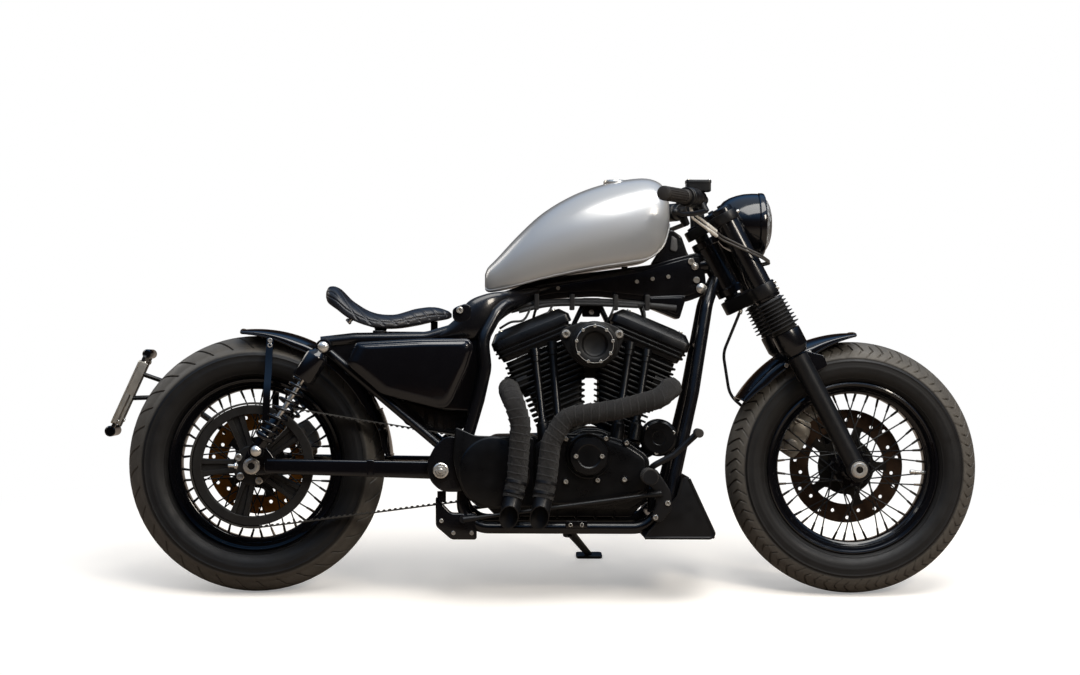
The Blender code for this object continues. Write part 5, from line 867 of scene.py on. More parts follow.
rows = spline(SEAT_STATIONS, 24)
length = [0.0]
for before, after in zip(rows, rows[1:]):
    length.append(length[-1] + math.hypot(after[0] - before[0], after[2] - before[2]))
rings = []
for (x, low, high, half), along in zip(rows, length):
    foot = low + 0.004
    right = []
    for k in range(HALF_STEPS + 1):
        a = math.pi / 2 * k / HALF_STEPS
        right.append(Vector((half * math.cos(a) ** 0.5, foot + (high - foot) * math.sin(a) ** 0.8)))
    spans = [(a - b).length for a, b in zip(right, right[1:])]
    end = max(0.0, min(1.0, along / 0.02, (length[-1] - along) / 0.02))
    around = []
    for k, point in enumerate(right):
        over = sum(spans[k:])
        back, ahead = right[max(k - 1, 0)], right[min(k + 1, HALF_STEPS)]
        outward = Vector((ahead.y - back.y, back.x - ahead.x)).normalized()
        up = (point.y - foot) / max(high - foot, 1e-6)
        plain = 1.0 - max(0.0, min(1.0, (0.09 - along) / 0.02)) * max(0.0, min(1.0, (0.62 - up) / 0.1))
        sides = [(along + sign * over) / QUILT for sign in ((-1, 1) if up > 0.93 else (-1,))]
        drawn = max(seam((s - round(s)) * QUILT, SEAM_WIDTH) for s in sides) * plain
        welt = 0.8 * seam((up - WELT_HEIGHT) * (high - foot), WELT_WIDTH)
        sunk = QUILT_DEPTH * end * max(drawn * min(1.0, up / 0.12), welt)
        around.append(point - outward * sunk)
    rings.append([Vector((x, -p.x, p.y)) for p in around] + [Vector((x, p.x, p.y))
        for p in reversed(around[:-1])] + [Vector((x, half * 0.985 * (1 - 2 * k / 8), low))
        for k in range(9)])
work = bmesh.new()
skin(work, rings)
pad = keep(work, "saddle_leather", leather, "chassis", "seat", sharp=70)
# The saddle's spring bolt, under its right edge.
work = bmesh.new()
at = Vector((0.241, -0.09, 0.689))
turned(work, [(0, -0.004), (0.006, -0.004), (0.006, 0.006), (0.008, 0.006), (0.0084, 0.011), (0.007, 0.013),
              (0, 0.013)], 20, aimed(at, at + Vector((-0.75, 0, -0.66))))
keep(work, "saddle_spring_bolt", plated, "chassis")


# Fork
# Two telescopic legs behind black covers: upper tubes, short rubber gaiters with ribs, pressed cups
# and slim satin sliders, held by two forged clamps on the steering stem.
RAKE = math.radians(28.0)
FORK_OFFSET = 0.064
STEM_TO_AXLE = 0.61
HEAD = Vector((WHEELBASE - STEM_TO_AXLE * math.sin(RAKE) - FORK_OFFSET * math.cos(RAKE), 0,
               FRONT_RADIUS + STEM_TO_AXLE * math.cos(RAKE) - FORK_OFFSET * math.sin(RAKE)))
STEERING = Matrix.Translation(HEAD) @ Matrix.Rotation(-RAKE, 4, "Y")
LEG_Y = 0.108
GAITER_RIBS = 8
# Satin paint on the sliders and brackets, glossier powder coat on frame and covers, matt gaiter rubber.
satin_black = surface("satin_black_paint", "0C0C0D", "131315", (0.34, 0.46), cloud_mm=80,
    grain_mm=0.9, grain_um=14, ior=1.42)
frame_paint = surface("black_powder_coat", "0B0B0D", "101013", (0.16, 0.28), cloud_mm=140,
                      grain_mm=1.5, grain_um=10, coat=0.3, ior=1.4)
gaiter_rubber = surface("gaiter_rubber", "232323", "303031", (0.4, 0.54), cloud_mm=25,
    grain_mm=1.0, grain_um=30, ior=1.45)


def on_fork(x, y, along):
    """A point ahead of the legs, to the left, and up the legs from the axle."""
    return STEERING @ Vector((FORK_OFFSET + x, y, along - STEM_TO_AXLE))


for side, name in ((-1, "right"), (1, "left")):
    y = side * LEG_Y
    leg = aimed(on_fork(0, y, 0), on_fork(0, y, 1))
    work = bmesh.new()
    turned(work, mm([(0, -30.5), (12, -30.5), (19.5, -27), (23.5, -18), (24, 20), (24.5, 60), (24.5, 300),
        (25.2, 322), (0, 322)]), 48, leg)
    turned(work, mm([(0, -26.5), (24, -26.5), (25.8, -24), (25.8, 24), (24, 26.5), (0, 26.5)]), 40,
        across_at(WHEELBASE, y, FRONT_RADIUS))
    keep(work, "fork_slider_" + name, satin_black, "steering", "fork_leg_" + name, sharp=30)
    work = bmesh.new()
    turned(work, mm([(24.8, 326), (28.5, 328), (30, 333), (34.5, 341), (36.8, 346), (37, 384), (36.2, 389),
        (30, 389.5), (24.8, 389)]), 48, leg)
    turned(work, [(0.02, 0.48), (0.031, 0.48), (0.033, 0.4835), (0.033, 0.487), (0.027, 0.4875),
                  (0.0268, 0.73), (0.0258, 0.7362), (0.02, 0.7402), (0, 0.7405)], 48, leg)
    turned(work, [(0, 0.7402), (0.0085, 0.7402), (0.0085, 0.7445), (0.007, 0.746), (0, 0.746)], 6, leg)
    keep(work, "fork_cover_" + name, frame_paint, "steering", sharp=30)
    profile = [(0.024, 0.391), (0.033, 0.391), (0.0345, 0.394)]
    low, high = 0.398, 0.478
    for k in range(GAITER_RIBS):
        at = low + (high - low) * k / GAITER_RIBS
        step = (high - low) / GAITER_RIBS
        reach = 0.044 - 0.005 * k / GAITER_RIBS
        profile += [(0.031, at), (0.0325, at + step * 0.22), (reach - 0.0012, at + step * 0.4),
            (reach, at + step * 0.5), (reach - 0.0012, at + step * 0.6), (0.0325, at + step * 0.78)]
    profile += [(0.031, high), (0.024, high)]
    work = bmesh.new()
    turned(work, profile, 56, leg)
    keep(work, "fork_gaiter_" + name, gaiter_rubber, "steering", sharp=55)


# Headlamp
# A deep black steel bowl with a bright bezel, a chromed reflector and a domed clear glass, carried
# on a short stalk from the lower clamp.
LAMP = (1.283, 0.938)
LAMP_RADIUS = 0.081
# Chrome in the reflector, and clear fluted glass over it.
chrome = surface("chrome_plate", "D8D8DA", "E2E2E4", (0.05, 0.1), metallic=1.0, cloud_mm=90,
    grain_mm=2.0, grain_um=2)
forward = Matrix.Translation((LAMP[0], 0, LAMP[1])) @ Matrix.Rotation(math.radians(90), 4, "Y")
work = bmesh.new()
turned(work, [(0, -0.1235), (0.014, -0.1228), (0.03, -0.1195), (0.046, -0.112), (0.0585, -0.101),
    (0.0675, -0.086), (0.074, -0.068), (0.078, -0.05), (0.0797, -0.03), (0.0797, -0.0165), (0.0775, -0.015),
    (0.0775, -0.0135), (0, -0.0135)], 96, forward)
turned(work, [(0.0722, -0.012), (0.079, -0.0145), (LAMP_RADIUS, -0.012), (LAMP_RADIUS, -0.003),
    (0.0795, 0.0008), (0.0755, 0.003), (0.0722, 0.0022)], 96, forward)
foot = STEERING @ Vector((0.056, 0, -0.0875))
tube(work, [foot, STEERING @ Vector((0.056, 0, -0.07)), (LAMP[0] - 0.06, 0, LAMP[1] - 0.064)], 0.011, 20)
keep(work, "headlamp_bowl", gloss_paint, "steering", "headlamp", sharp=35)
work = bmesh.new()
turned(work, mm([(0, -12.5), (20, -12), (45, -9.5), (62, -6), (71.5, -2), (71.5, -13), (0, -13.2)]), 64,
    forward)
turned(work, mm([(0, 1), (9, 0.5), (10, -2), (10, -11), (0, -11)]), 24, forward)
keep(work, "headlamp_reflector", chrome, "steering")
clear = bpy.data.materials.new("clear_lamp_glass")
clear.use_nodes = True
glazing = clear.node_tree.nodes["Principled BSDF"]
flutes = add(clear.node_tree, "ShaderNodeTexWave", {"wave_type": "BANDS", "bands_direction": "Y"}, {
    "Vector": add(clear.node_tree, "ShaderNodeTexCoord").outputs["Object"], "Scale": 26.0})
fluted = add(clear.node_tree, "ShaderNodeBump", None, {"Strength": 0.25, "Distance": 0.0004,
                                                       "Height": flutes.outputs["Fac"]})
clear.node_tree.links.new(fluted.outputs[0], glazing.inputs["Normal"])
glazing.inputs["Base Color"].default_value = linear("F2F6F8")
glazing.inputs["Transmission Weight"].default_value = 1.0
glazing.inputs["Roughness"].default_value = 0.03
glazing.inputs["IOR"].default_value = 1.45
work = bmesh.new()
turned(work, [(0, 0.0228), (0.018, 0.022), (0.036, 0.0195), (0.05, 0.0155), (0.062, 0.0095), (0.07, 0.003),
    (0.0714, -0.0005), (0.069, -0.0005), (0.0675, 0.0018), (0.06, 0.008), (0.0485, 0.0135), (0.035, 0.0172),
    (0.018, 0.0196), (0, 0.0204)], 96, forward)
keep(work, "headlamp_dome", clear, "steering", "headlamp_glass", sharp=60)


# Cylinders
# Two cast alloy barrels and heads under wrinkle black paint, 45 degrees apart, with stout cast fins
# that are cut back upright where the two cylinders face each other, and ribbed rocker covers on top.
CRANK = (0.842, 0.29)
VEE = math.radians(22.5)
VEE_GAP = 0.013
DECK = 0.128
HEAD_TOP = 0.352
FIN_HALF = 0.078
HEAD_HALF = 0.092
FACING_HALF = 0.104
FINS = 15
FIN_THICK = 0.0054
PORT_UP = 0.294
PORT_Y = -0.046
# Wrinkle paint on the fins, and smoother engine enamel on covers and cases.
wrinkle = surface("wrinkle_black_paint", "050505", "0A0908", (0.4, 0.58), cloud_mm=50,
    grain_mm=1.6, grain_um=90, ior=1.4)
case_black = surface("satin_engine_enamel", "060607", "0A0A0B", (0.26, 0.36), cloud_mm=90,
                     grain_mm=1.4, grain_um=18, ior=1.42)


def on_vee(lean, across, up, y=0.0):
    """A point across and up a cylinder's axis from the crank. lean is -1 for the rear one and 1 for the
    front one."""
    return Vector((CRANK[0] + lean * up * math.sin(VEE) + across * math.cos(VEE), y,
                   CRANK[1] + up * math.cos(VEE) - lean * across * math.sin(VEE)))


def rounded(points, radius, steps=5):
    """A closed outline of pairs with its corners rounded."""
    points = [Vector(p) for p in points]
    result = []
    for before, here, after in zip(points[-1:] + points[:-1], points, points[1:] + points[:1]):
        inward, outward = before - here, after - here
        reach = min(radius, 0.48 * inward.length, 0.48 * outward.length)
        first, last = here + inward.normalized() * reach, here + outward.normalized() * reach
        for k in range(steps + 1):
            t = k / steps
            result.append(first * (1 - t) ** 2 + here * 2 * t * (1 - t) + last * t * t)
    return result


def scaled_in(points, depth):
    """A closed outline of pairs moved inwards by depth."""
    area = sum(a[0] * b[1] - b[0] * a[1] for a, b in zip(points, points[1:] + points[:1]))
    side = 1 if area > 0 else -1
    result = []
    for before, here, after in zip(points[-1:] + points[:-1], points, points[1:] + points[:1]):
        first, second = (here - before).normalized(), (after - here).normalized()
        one, two = Vector((-first.y, first.x)) * side, Vector((-second.y, second.x)) * side
        middle = one + two
        middle = middle.normalized() if middle.length > 1e-6 else one
        result.append(here + middle * depth / max(middle.dot(one), 0.5))
    return result


def layered(work, outline, levels, put):
    """A skin through an outline at each (inset, height) level, put in place by put(u, v, height)."""
    skin(work, [[put(p.x, p.y, height) for p in (scaled_in(outline, inset) if inset else outline)]
                for inset, height in levels])


def fin_outline(lean, up, half, radius):
    """A fin's outline as (across, y) pairs, cut upright towards the other cylinder."""
    limit = min(FACING_HALF, (up * math.sin(VEE) - VEE_GAP) / math.cos(VEE))
    low, high = (-half, limit) if lean < 0 else (-limit, half)
    wide = FIN_HALF + 0.001
    return rounded([(low, -wide), (high, -wide), (high, wide), (low, wide)], radius)


for lean, name in ((-1, "rear"), (1, "front")):
    work = bmesh.new()
    pitch = (HEAD_TOP - DECK - 0.018) / FINS
    for k in range(FINS):
        at = DECK + 0.014 + k * pitch
        head = k >= FINS - 5
        half = HEAD_HALF if head else FIN_HALF - 0.003
        layered(work, fin_outline(lean, at, half, 0.014 if head else 0.026),
                ((0.001, 0.0), (0, 0.0012), (0, FIN_THICK - 0.0012), (0.001, FIN_THICK)),
                lambda u, v, up: on_vee(lean, u, at + up, v))
    for low, high, half, inset in ((DECK + 0.01, HEAD_TOP - 0.09, FIN_HALF - 0.018, 0.009),
                                   (HEAD_TOP - 0.092, HEAD_TOP - 0.002, HEAD_HALF - 0.007, 0.007)):
        cores = []
        for k in range(9):
            at = low + (high - low) * k / 8
            inner = min(FACING_HALF, (at * math.sin(VEE) - VEE_GAP) / math.cos(VEE)) - inset
            ends = (-half, inner) if lean < 0 else (-inner, half)
            wide = FIN_HALF - 0.012
            cores.append([on_vee(lean, p.x, at, p.y) for p in rounded(
                [(ends[0], -wide), (ends[1], -wide), (ends[1], wide), (ends[0], wide)], 0.02)])
        skin(work, cores)
    axis = Matrix.Translation(on_vee(lean, 0, 0)) @ Matrix.Rotation(lean * VEE, 4, "Y")
    turned(work, [(0, DECK), (0.0535, DECK), (0.0535, DECK + 0.01), (0.0475, DECK + 0.013),
        (0.0475, HEAD_TOP - 0.092), (0.056, HEAD_TOP - 0.088), (0.056, HEAD_TOP - 0.0006),
        (0, HEAD_TOP - 0.0006)], 48, axis)
    for u, v in ((0.034, 0.056), (-0.034, 0.056), (0.034, -0.056), (-0.034, -0.056)):
        tube(work, [on_vee(lean, u, HEAD_TOP - 0.15, v), on_vee(lean, u, HEAD_TOP - 0.004, v)], 0.0085, 14)
    tube(work, [on_vee(lean, lean * 0.05, PORT_UP, PORT_Y),
                on_vee(lean, lean * (FIN_HALF + 0.0002), PORT_UP, PORT_Y)], 0.031, 28)
    keep(work, "cylinder_" + name + "_fins", wrinkle, "chassis", "cylinder_" + name, sharp=40)

    lid = bmesh.new()
    table = [  # up, low end, high end, half width, corner
        (0.3523, -0.078, 0.07, 0.076, 0.018), (0.3535, -0.09, 0.08, 0.08, 0.018),
        (0.364, -0.092, 0.08, 0.081, 0.018), (0.365, -0.098, 0.091, 0.0842, 0.018),
        (0.3664, -0.099, 0.0922, 0.085, 0.018), (0.3696, -0.099, 0.0922, 0.085, 0.018),
        (0.3706, -0.098, 0.0912, 0.0842, 0.018), (0.3712, -0.095, 0.09, 0.081, 0.018),
        (0.3764, -0.095, 0.093, 0.081, 0.018), (0.377, -0.1, 0.101, 0.0842, 0.018),
        (0.378, -0.1012, 0.1022, 0.085, 0.018), (0.3808, -0.1012, 0.1022, 0.085, 0.018),
        (0.3818, -0.1, 0.101, 0.0842, 0.018), (0.3824, -0.0975, 0.098, 0.081, 0.018),
        (0.3874, -0.0975, 0.1, 0.081, 0.018), (0.388, -0.101, 0.106, 0.0842, 0.018),
        (0.3892, -0.1022, 0.1072, 0.085, 0.016), (0.4072, -0.102, 0.107, 0.0849, 0.016),
        (0.4086, -0.1012, 0.1062, 0.0843, 0.016), (0.4265, -0.085, 0.0905, 0.065, 0.014),
        (0.4276, -0.0836, 0.0892, 0.0634, 0.014), (0.4306, -0.06, 0.066, 0.044, 0.014),
        (0.4312, -0.058, 0.064, 0.042, 0.014)]
    rings = []
    for up, low, high, half, corner in table:
        if lean > 0:
            low, high = -high, -low
        rings.append([on_vee(lean, p.x, up, p.y) for p in rounded(
            [(low, -half), (high, -half), (high, half), (low, half)], corner, 6)])
    skin(lid, rings)
    keep(lid, "rocker_cover_" + name, case_black, "chassis", "rocker_box_" + name, sharp=28)
    screws("rocker_bolts_" + name, "chassis", 0.0056, 0.006, [
        Matrix.Translation(on_vee(lean, lean * u, 0.4262, v)) @ Matrix.Rotation(lean * VEE, 4, "Y")
        for u in (-0.074, 0.068) for v in (-0.052, 0.052)])
    plug = bmesh.new()
    base = on_vee(lean, lean * 0.03, 0.318, 0.078)
    turned(plug, mm([(0, -12), (8.5, -12), (8.5, 4), (6.2, 6), (6.2, 24), (7.8, 26), (7.8, 44), (5, 48),
        (0, 48)]), 20, aimed(base, base + Vector((0, 1, 0.25))))
    lead = [base + Vector((0, 0.046, 0.012)), base + Vector((0, 0.058, 0.05)),
            Vector((CRANK[0] + lean * 0.135, 0.06, 0.722)), Vector((CRANK[0] + lean * 0.09, 0.034, 0.736)),
            Vector((0.96, 0.034 + lean * 0.006, 0.736)), Vector((1.0 + lean * 0.012, 0.03, 0.726))]
    tube(plug, wall_curve(lead, 8), 0.0036, 12)
    keep(plug, "plug_lead_" + name, gaiter_rubber, "chassis")


# Crankcase and covers
# Split alloy cases under satin black enamel: the gearcase cover with its round timer lid, the pulley
# cover behind it on two pillars, and the long primary case on the left.
def slab(work, outline, low, high, edge=0.003, corner=0.006, steps=4, crown=0.0):
    """An (x, z) outline as thick as from low to high across the bike, with rounded corners and rims. The
    face at high bulges by crown."""
    ring = rounded(outline, corner)
    levels = []
    for k in range(steps + 1):
        a = math.pi / 2 * k / steps
        levels.append((edge * (1 - math.sin(a)), edge * (1 - math.cos(a))))
    way = 1 if high > low else -1
    rings = []
    for start, sense, run in ((low, way, levels), (high, -way, levels[::-1])):
        for depth, rise in run:
            inner = scaled_in(ring, depth) if depth > 1e-7 else ring
            rings.append([Vector((p.x, start + sense * rise, p.y)) for p in inner])
    if crown:
        middle = Vector((sum(p.x for p in ring) / len(ring), sum(p.y for p in ring) / len(ring)))
        last = rings[-1]
        tall = max(abs(p.z - middle.y) for p in last)
        for share in (0.975, 0.95, 0.92, 0.88, 0.8, 0.66, 0.5, 0.32, 0.14):
            ring = [Vector((middle.x + (p.x - middle.x) * share, high, middle.y + (p.z - middle.y) * share))
                for p in last]
            for p in ring:
                p.y += way * crown * (1.15 - ((p.z - middle.y) / tall) ** 2) * min(1.0, (1 - share) / 0.1)
            rings.append(ring)
    skin(work, rings)


work = bmesh.new()
deck = [on_vee(lean, a, DECK - 0.0004) for lean, a in ((-1, -0.07), (-1, 0.03), (1, -0.03), (1, 0.07))]
top = [(p.x, p.z) for p in deck]
slab(work, [(0.56, 0.242), (0.56, 0.37), (0.6, 0.398), (0.7, 0.4)] + top
    + [(0.968, 0.372), (0.985, 0.33), (0.985, 0.24), (0.945, 0.196), (0.606, 0.196)], -0.0745, 0.0998,
    0.003, 0.012)
slab(work, [(0.703, 0.219), (0.703, 0.396)] + [(x, z - 0.004) for x, z in top]
     + [(0.962, 0.37), (0.98, 0.33), (0.98, 0.242), (0.938, 0.215)], -0.07, -0.0998, 0.003, 0.008)
for k in range(6):
    slab(work, [(0.66 + 0.048 * k, 0.191), (0.666 + 0.048 * k, 0.191), (0.666 + 0.048 * k, 0.24),
                (0.66 + 0.048 * k, 0.24)], -0.078, 0.09, 0.001, 0.002)
turned(work, mm([(0, 0), (20, 0), (21, 2), (21, 50), (19, 54), (0, 54)]), 32,
    aimed((0.945, 0.03, 0.362), (0.975, 0.03, 0.42)))
keep(work, "crankcase_castings", case_black, "chassis", "crankcase", sharp=30)

TIMER = (0.833, 0.353)
work = bmesh.new()
slab(work, mm([(700, 250), (700, 385), (762, 408), (861, 408), (930, 388), (985, 352), (986, 262),
    (940, 238), (850, 222), (740, 224)]), -0.1003, -0.144, 0.004, 0.02)
slab(work, mm([(708, 258), (708, 380), (764, 401), (860, 401), (927, 381), (978, 347), (979, 267),
    (937, 245), (850, 229), (744, 231)]), -0.14, -0.1535, 0.006, 0.018, crown=0.0015)
turned(work, mm([(49, 148), (57.5, 148), (57, 158), (54.5, 160.5), (49, 160), (48, 176), (45.5, 179.5),
    (30, 181.2), (27, 179.5), (0, 179), (0, 148)]), 72, right_at(TIMER[0], 0, TIMER[1]))
bosses = ((0.7774, 0.3945), (0.8758, 0.3962), (0.9271, 0.3854), (0.7772, 0.289), (0.856, 0.293),
    (0.922, 0.2945))
for x, z in bosses:
    turned(work, [(0, 0.14), (0.0105, 0.14), (0.0098, 0.1565), (0.0085, 0.158), (0, 0.158)], 24,
           right_at(x, 0, z))
for (side, u), foot in (((-1, 0.04), 0.762), ((-1, -0.006), 0.724), ((1, -0.04), 0.905), ((1, 0.006), 0.948)):
    start = Vector((foot, -0.1225, 0.4))
    end = on_vee(side, u, HEAD_TOP + 0.004, -0.08)
    aim = aimed(start, end)
    reach = (end - start).length
    turned(work, [(0, -0.01), (0.0165, -0.01), (0.017, 0.01), (0.0165, 0.03), (0.013, 0.034), (0.0125, 0.04),
                  (0.01, 0.042), (0.0092, 0.046), (0.0092, reach - 0.034), (0.0112, reach - 0.032),
                  (0.0112, reach - 0.02), (0.0125, reach - 0.018), (0.0125, reach), (0, reach)], 28, aim)
keep(work, "gearcase_cover", case_black, "chassis", "cam_cover", sharp=28)
screws("gearcase_screws", "chassis", 0.0058, 0.0055,
       [right_at(x, -0.1575, z) for x, z in bosses]
       + [right_at(TIMER[0] + dx, -0.1798, TIMER[1]) for dx in (-0.032, 0.032)])

work = bmesh.new()
slab(work, mm([(503, 424), (552, 402), (697, 398), (697, 228), (600, 222), (560, 226), (528, 254),
    (508, 300), (498, 345)]), -0.1615, -0.1705, 0.003, 0.01)
turned(work, mm([(0, 164), (90, 164), (88.5, 170), (84, 174), (70, 176.5), (40, 177.5), (0, 177.5)]), 72,
    right_at(0.6, 0, 0.312))
pillars = ((0.655, 0.389), (0.655, 0.236))
for x, z in pillars:
    tube(work, [(x, -0.0752, z), (x, -0.165, z)], 0.01, 20)
keep(work, "pulley_cover", case_black, "chassis", "sprocket_cover", sharp=28)
screws("pulley_cover_screws", "chassis", 0.0062, 0.0055,
       [right_at(x, -0.17, z) for x, z in ((0.5375, 0.3207),) + pillars])

work = bmesh.new()
slab(work, mm([(560, 300), (575, 250), (620, 216), (700, 206), (860, 214), (920, 236), (950, 285),
    (946, 340), (912, 380), (850, 392), (740, 400), (640, 396), (585, 362)]), 0.1004, 0.17, 0.014, 0.03, 5,
    crown=0.0025)
turned(work, [(0, 0.16), (0.07, 0.16), (0.069, 0.177), (0.066, 0.1815), (0.056, 0.185), (0.03, 0.1865),
              (0, 0.1868)], 72, across_at(0.655, 0, 0.306))
turned(work, mm([(0, 160), (46, 160), (45, 174), (42, 178), (0, 179)]), 56, across_at(0.885, 0, 0.304))
turned(work, mm([(0, 165), (17, 165), (17, 180), (0, 181)]), 6, across_at(0.77, 0, 0.345))
keep(work, "primary_case", case_black, "chassis", "primary_cover", sharp=28)
screws("primary_screws", "chassis", 0.006, 0.0055,
       [across_at(0.655 + 0.06 * math.cos(a), 0.18, 0.306 + 0.06 * math.sin(a))
        for a in (2 * math.pi * (k + 0.25) / 6 for k in range(6))]
       + [across_at(x, 0.166, z) for x, z in (
           (0.59, 0.34), (0.592, 0.266), (0.72, 0.222), (0.84, 0.23), (0.932, 0.27), (0.928, 0.345),
           (0.85, 0.374), (0.735, 0.382))])


# Air cleaner
# A round billet cleaner on a black bracket between the heads, its face ringed by nine small screws
# round a fine bright line, with the carburettor's throat behind it.
AIR = (0.845, 0.629)
x, z = AIR
face = right_at(x, 0, z)
bracket_bolts = (CRANK[0] - 0.066, CRANK[0] + 0.066)
work = bmesh.new()
turned(work, [(0, 0.18), (0.025, 0.18), (0.028, 0.1815), (0.031, 0.186), (0.0325, 0.19), (0.036, 0.1916),
              (0.048, 0.1914), (0.0505, 0.189), (0.0515, 0.184), (0.0545, 0.1825), (0.056, 0.18),
              (0.056, 0.13), (0.054, 0.1285), (0, 0.1285)], 96, face)
for k in range(5):
    turned(work, [(0.0558, 0.138 + 0.008 * k), (0.0575, 0.1386 + 0.008 * k), (0.0575, 0.1404 + 0.008 * k),
                  (0.0558, 0.141 + 0.008 * k)], 72, face)
slab(work, [(x - 0.088, z + 0.022), (x - 0.076, z + 0.04), (x - 0.03, z + 0.056), (x + 0.03, z + 0.056),
            (x + 0.066, z + 0.04), (x + 0.078, z + 0.022), (x + 0.058, z - 0.03), (x + 0.024, z - 0.058),
            (x - 0.024, z - 0.058), (x - 0.058, z - 0.03)], -0.1225, -0.14, 0.003, 0.01)
tube(work, [(x, -0.13, z), (x, 0.03, z)], 0.03, 32)
for side in (-1, 1):
    head = on_vee(side, -side * FIN_HALF, 0.318)
    tube(work, [(x, 0, 0.612), (head.x + side * 0.002, 0, 0.612)], [0.02, 0.0205], 24)
tube(work, [(x - 0.003, -0.122, 0.655), (x - 0.003, -0.11, 0.655)], 0.004, 8)
for bx in bracket_bolts:
    tube(work, [(bx, -0.0855, 0.655), (bx, -0.14, 0.655)], 0.009, 20)
slab(work, [(x - 0.036, z - 0.085), (x + 0.036, z - 0.085), (x + 0.04, z - 0.02), (x - 0.04, z - 0.02)],
    -0.04, 0.03, 0.005, 0.012)
turned(work, mm([(0, 0), (34, 0), (36, 4), (36, 30), (28, 36), (0, 36)]), 40,
    Matrix.Translation((x, -0.004, z + 0.022)))
keep(work, "air_cleaner_body", wrinkle, "chassis", "air_cleaner", sharp=32)
work = bmesh.new()
turned(work, [(0.0446, 0.1905), (0.0462, 0.1926), (0.048, 0.1905)], 96, face)
keep(work, "air_cleaner_bright_line", plated, "chassis")
screws("air_cleaner_screws", "chassis", 0.0043, 0.0036, ringed(face, 9, (0.0452, 0, 0.1912), 10.0))
work = bmesh.new()
turned(work, mm([(0, 3), (5, 3), (5.6, 12.5), (8.8, 12), (10.5, 9.5), (11, 6), (11, 0), (0, 0)]), 28,
    Matrix.Identity(4))
set_out(work, [right_at(bx, -0.14, 0.6545) for bx in bracket_bolts], "bracket_dome_nuts", plated, "chassis")


# Engine stay and loom
# A forked stay holds the heads to the frame above the cleaner, and the wiring loom runs along under
# the frame's spine in its clips, with thin vacuum and breather hoses down to the engine.
x = AIR[0]
work = bmesh.new()
for low_x, high_x in ((-0.052, -0.014), (0.052, 0.014)):
    slab(work, [(x + low_x - 0.006, 0.664), (x + low_x + 0.006, 0.664), (x + high_x + 0.007, 0.744),
                (x + high_x - 0.007, 0.744)], -0.03, 0.01, 0.002, 0.003)
slab(work, [(x - 0.022, 0.7), (x + 0.022, 0.7), (x + 0.024, 0.748), (x - 0.024, 0.748)], -0.018, 0.018,
    0.003, 0.005)
slab(work, [(x - 0.06, 0.656), (x + 0.06, 0.656), (x + 0.056, 0.676), (x - 0.056, 0.676)], -0.034, 0.014,
    0.003, 0.006)
keep(work, "engine_stay", case_black, "chassis", sharp=32)
screws("engine_stay_bolts", "chassis", 0.007, 0.0065, [right_at(x + dx, y, z) for dx, y, z in (
    (-0.047, -0.0345, 0.666), (0.047, -0.0345, 0.666), (0.0, -0.0184, 0.712))])
work = bmesh.new()
tube(work, wall_curve(mm([(640, -34, 716), (700, -30, 731), (800, -30, 737), (900, -30, 736),
    (990, -32, 729), (1060, -34, 722)]), 8), 0.0095, 20)
tube(work, wall_curve(mm([(660, -46, 712), (740, -46, 729), (850, -44, 731), (960, -44, 727)]), 8), 0.0055,
    14)
for hx in (0.705, 0.795, 0.905, 0.985):
    slab(work, [(hx - 0.006, 0.716), (hx + 0.006, 0.716), (hx + 0.006, 0.756), (hx - 0.006, 0.756)], -0.052,
        -0.018, 0.002, 0.003)
for path in (((0.69, -0.05, 0.72), (0.672, -0.058, 0.69), (0.64, -0.06, 0.684), (0.612, -0.052, 0.668)),
             ((0.745, -0.046, 0.728), (0.735, -0.06, 0.71), (0.716, -0.062, 0.694)),
             ((0.902, -0.046, 0.728), (0.894, -0.06, 0.708), (0.88, -0.05, 0.68)),
             ((0.975, -0.044, 0.724), (0.978, -0.06, 0.704), (0.976, -0.058, 0.684))):
    tube(work, wall_curve(path, 8), 0.003, 12)
keep(work, "wiring_loom", gaiter_rubber, "chassis")


# Exhausts
# Two drag pipes, 52 mm across with their wrap, bound from the heads down in dark glass-fibre tape in
# overlapping turns, tied off with steel ties above plain black slash-cut ends.
PIPE = 0.0262
TAPE = 0.0195
PATH_STEP = 0.0016
PLAIN_END = 0.05
PIPE_SIDES = 40
SLASH_CUT = Vector((-0.12, -0.86, -0.5)).normalized()
# Woven glass tape: dull, dark brown and sooty. Its threads are drawn coarser than real ones, to show.
tape = bpy.data.materials.new("woven_heat_tape")
tape.use_nodes = True
tree = tape.node_tree
where = add(tree, "ShaderNodeTexCoord")
uv = add(tree, "ShaderNodeMapping", None, {"Vector": where.outputs["UV"]})
warp = add(tree, "ShaderNodeTexWave", {"wave_type": "BANDS", "bands_direction": "X"}, {
    "Vector": uv.outputs[0], "Scale": 100.0, "Distortion": 0.6, "Detail": 1.0})
weft = add(tree, "ShaderNodeTexWave", {"wave_type": "BANDS", "bands_direction": "Y"}, {
    "Vector": uv.outputs[0], "Scale": 100.0, "Distortion": 0.6, "Detail": 1.0})
weave = add(tree, "ShaderNodeMath", {"operation": "MAXIMUM"}, {0: warp.outputs["Fac"],
    1: weft.outputs["Fac"]})
soot = add(tree, "ShaderNodeTexNoise", None, {"Vector": where.outputs["Object"], "Scale": 26.0,
    "Detail": 6.0})
dark = add(tree, "ShaderNodeMix", {"data_type": "RGBA"}, {0: soot.outputs["Fac"], 6: linear("0B0A09"),
    7: linear("262220")})
thread = add(tree, "ShaderNodeMix", {"data_type": "RGBA", "blend_type": "MULTIPLY"}, {
    0: 0.75, 6: dark.outputs[2], 7: weave.outputs[0]})
relief = add(tree, "ShaderNodeBump", None, {"Strength": 0.9, "Distance": 0.0005, "Height": weave.outputs[0]})
shader = tree.nodes["Principled BSDF"]
tree.links.new(thread.outputs[2], shader.inputs["Base Color"])
tree.links.new(relief.outputs[0], shader.inputs["Normal"])
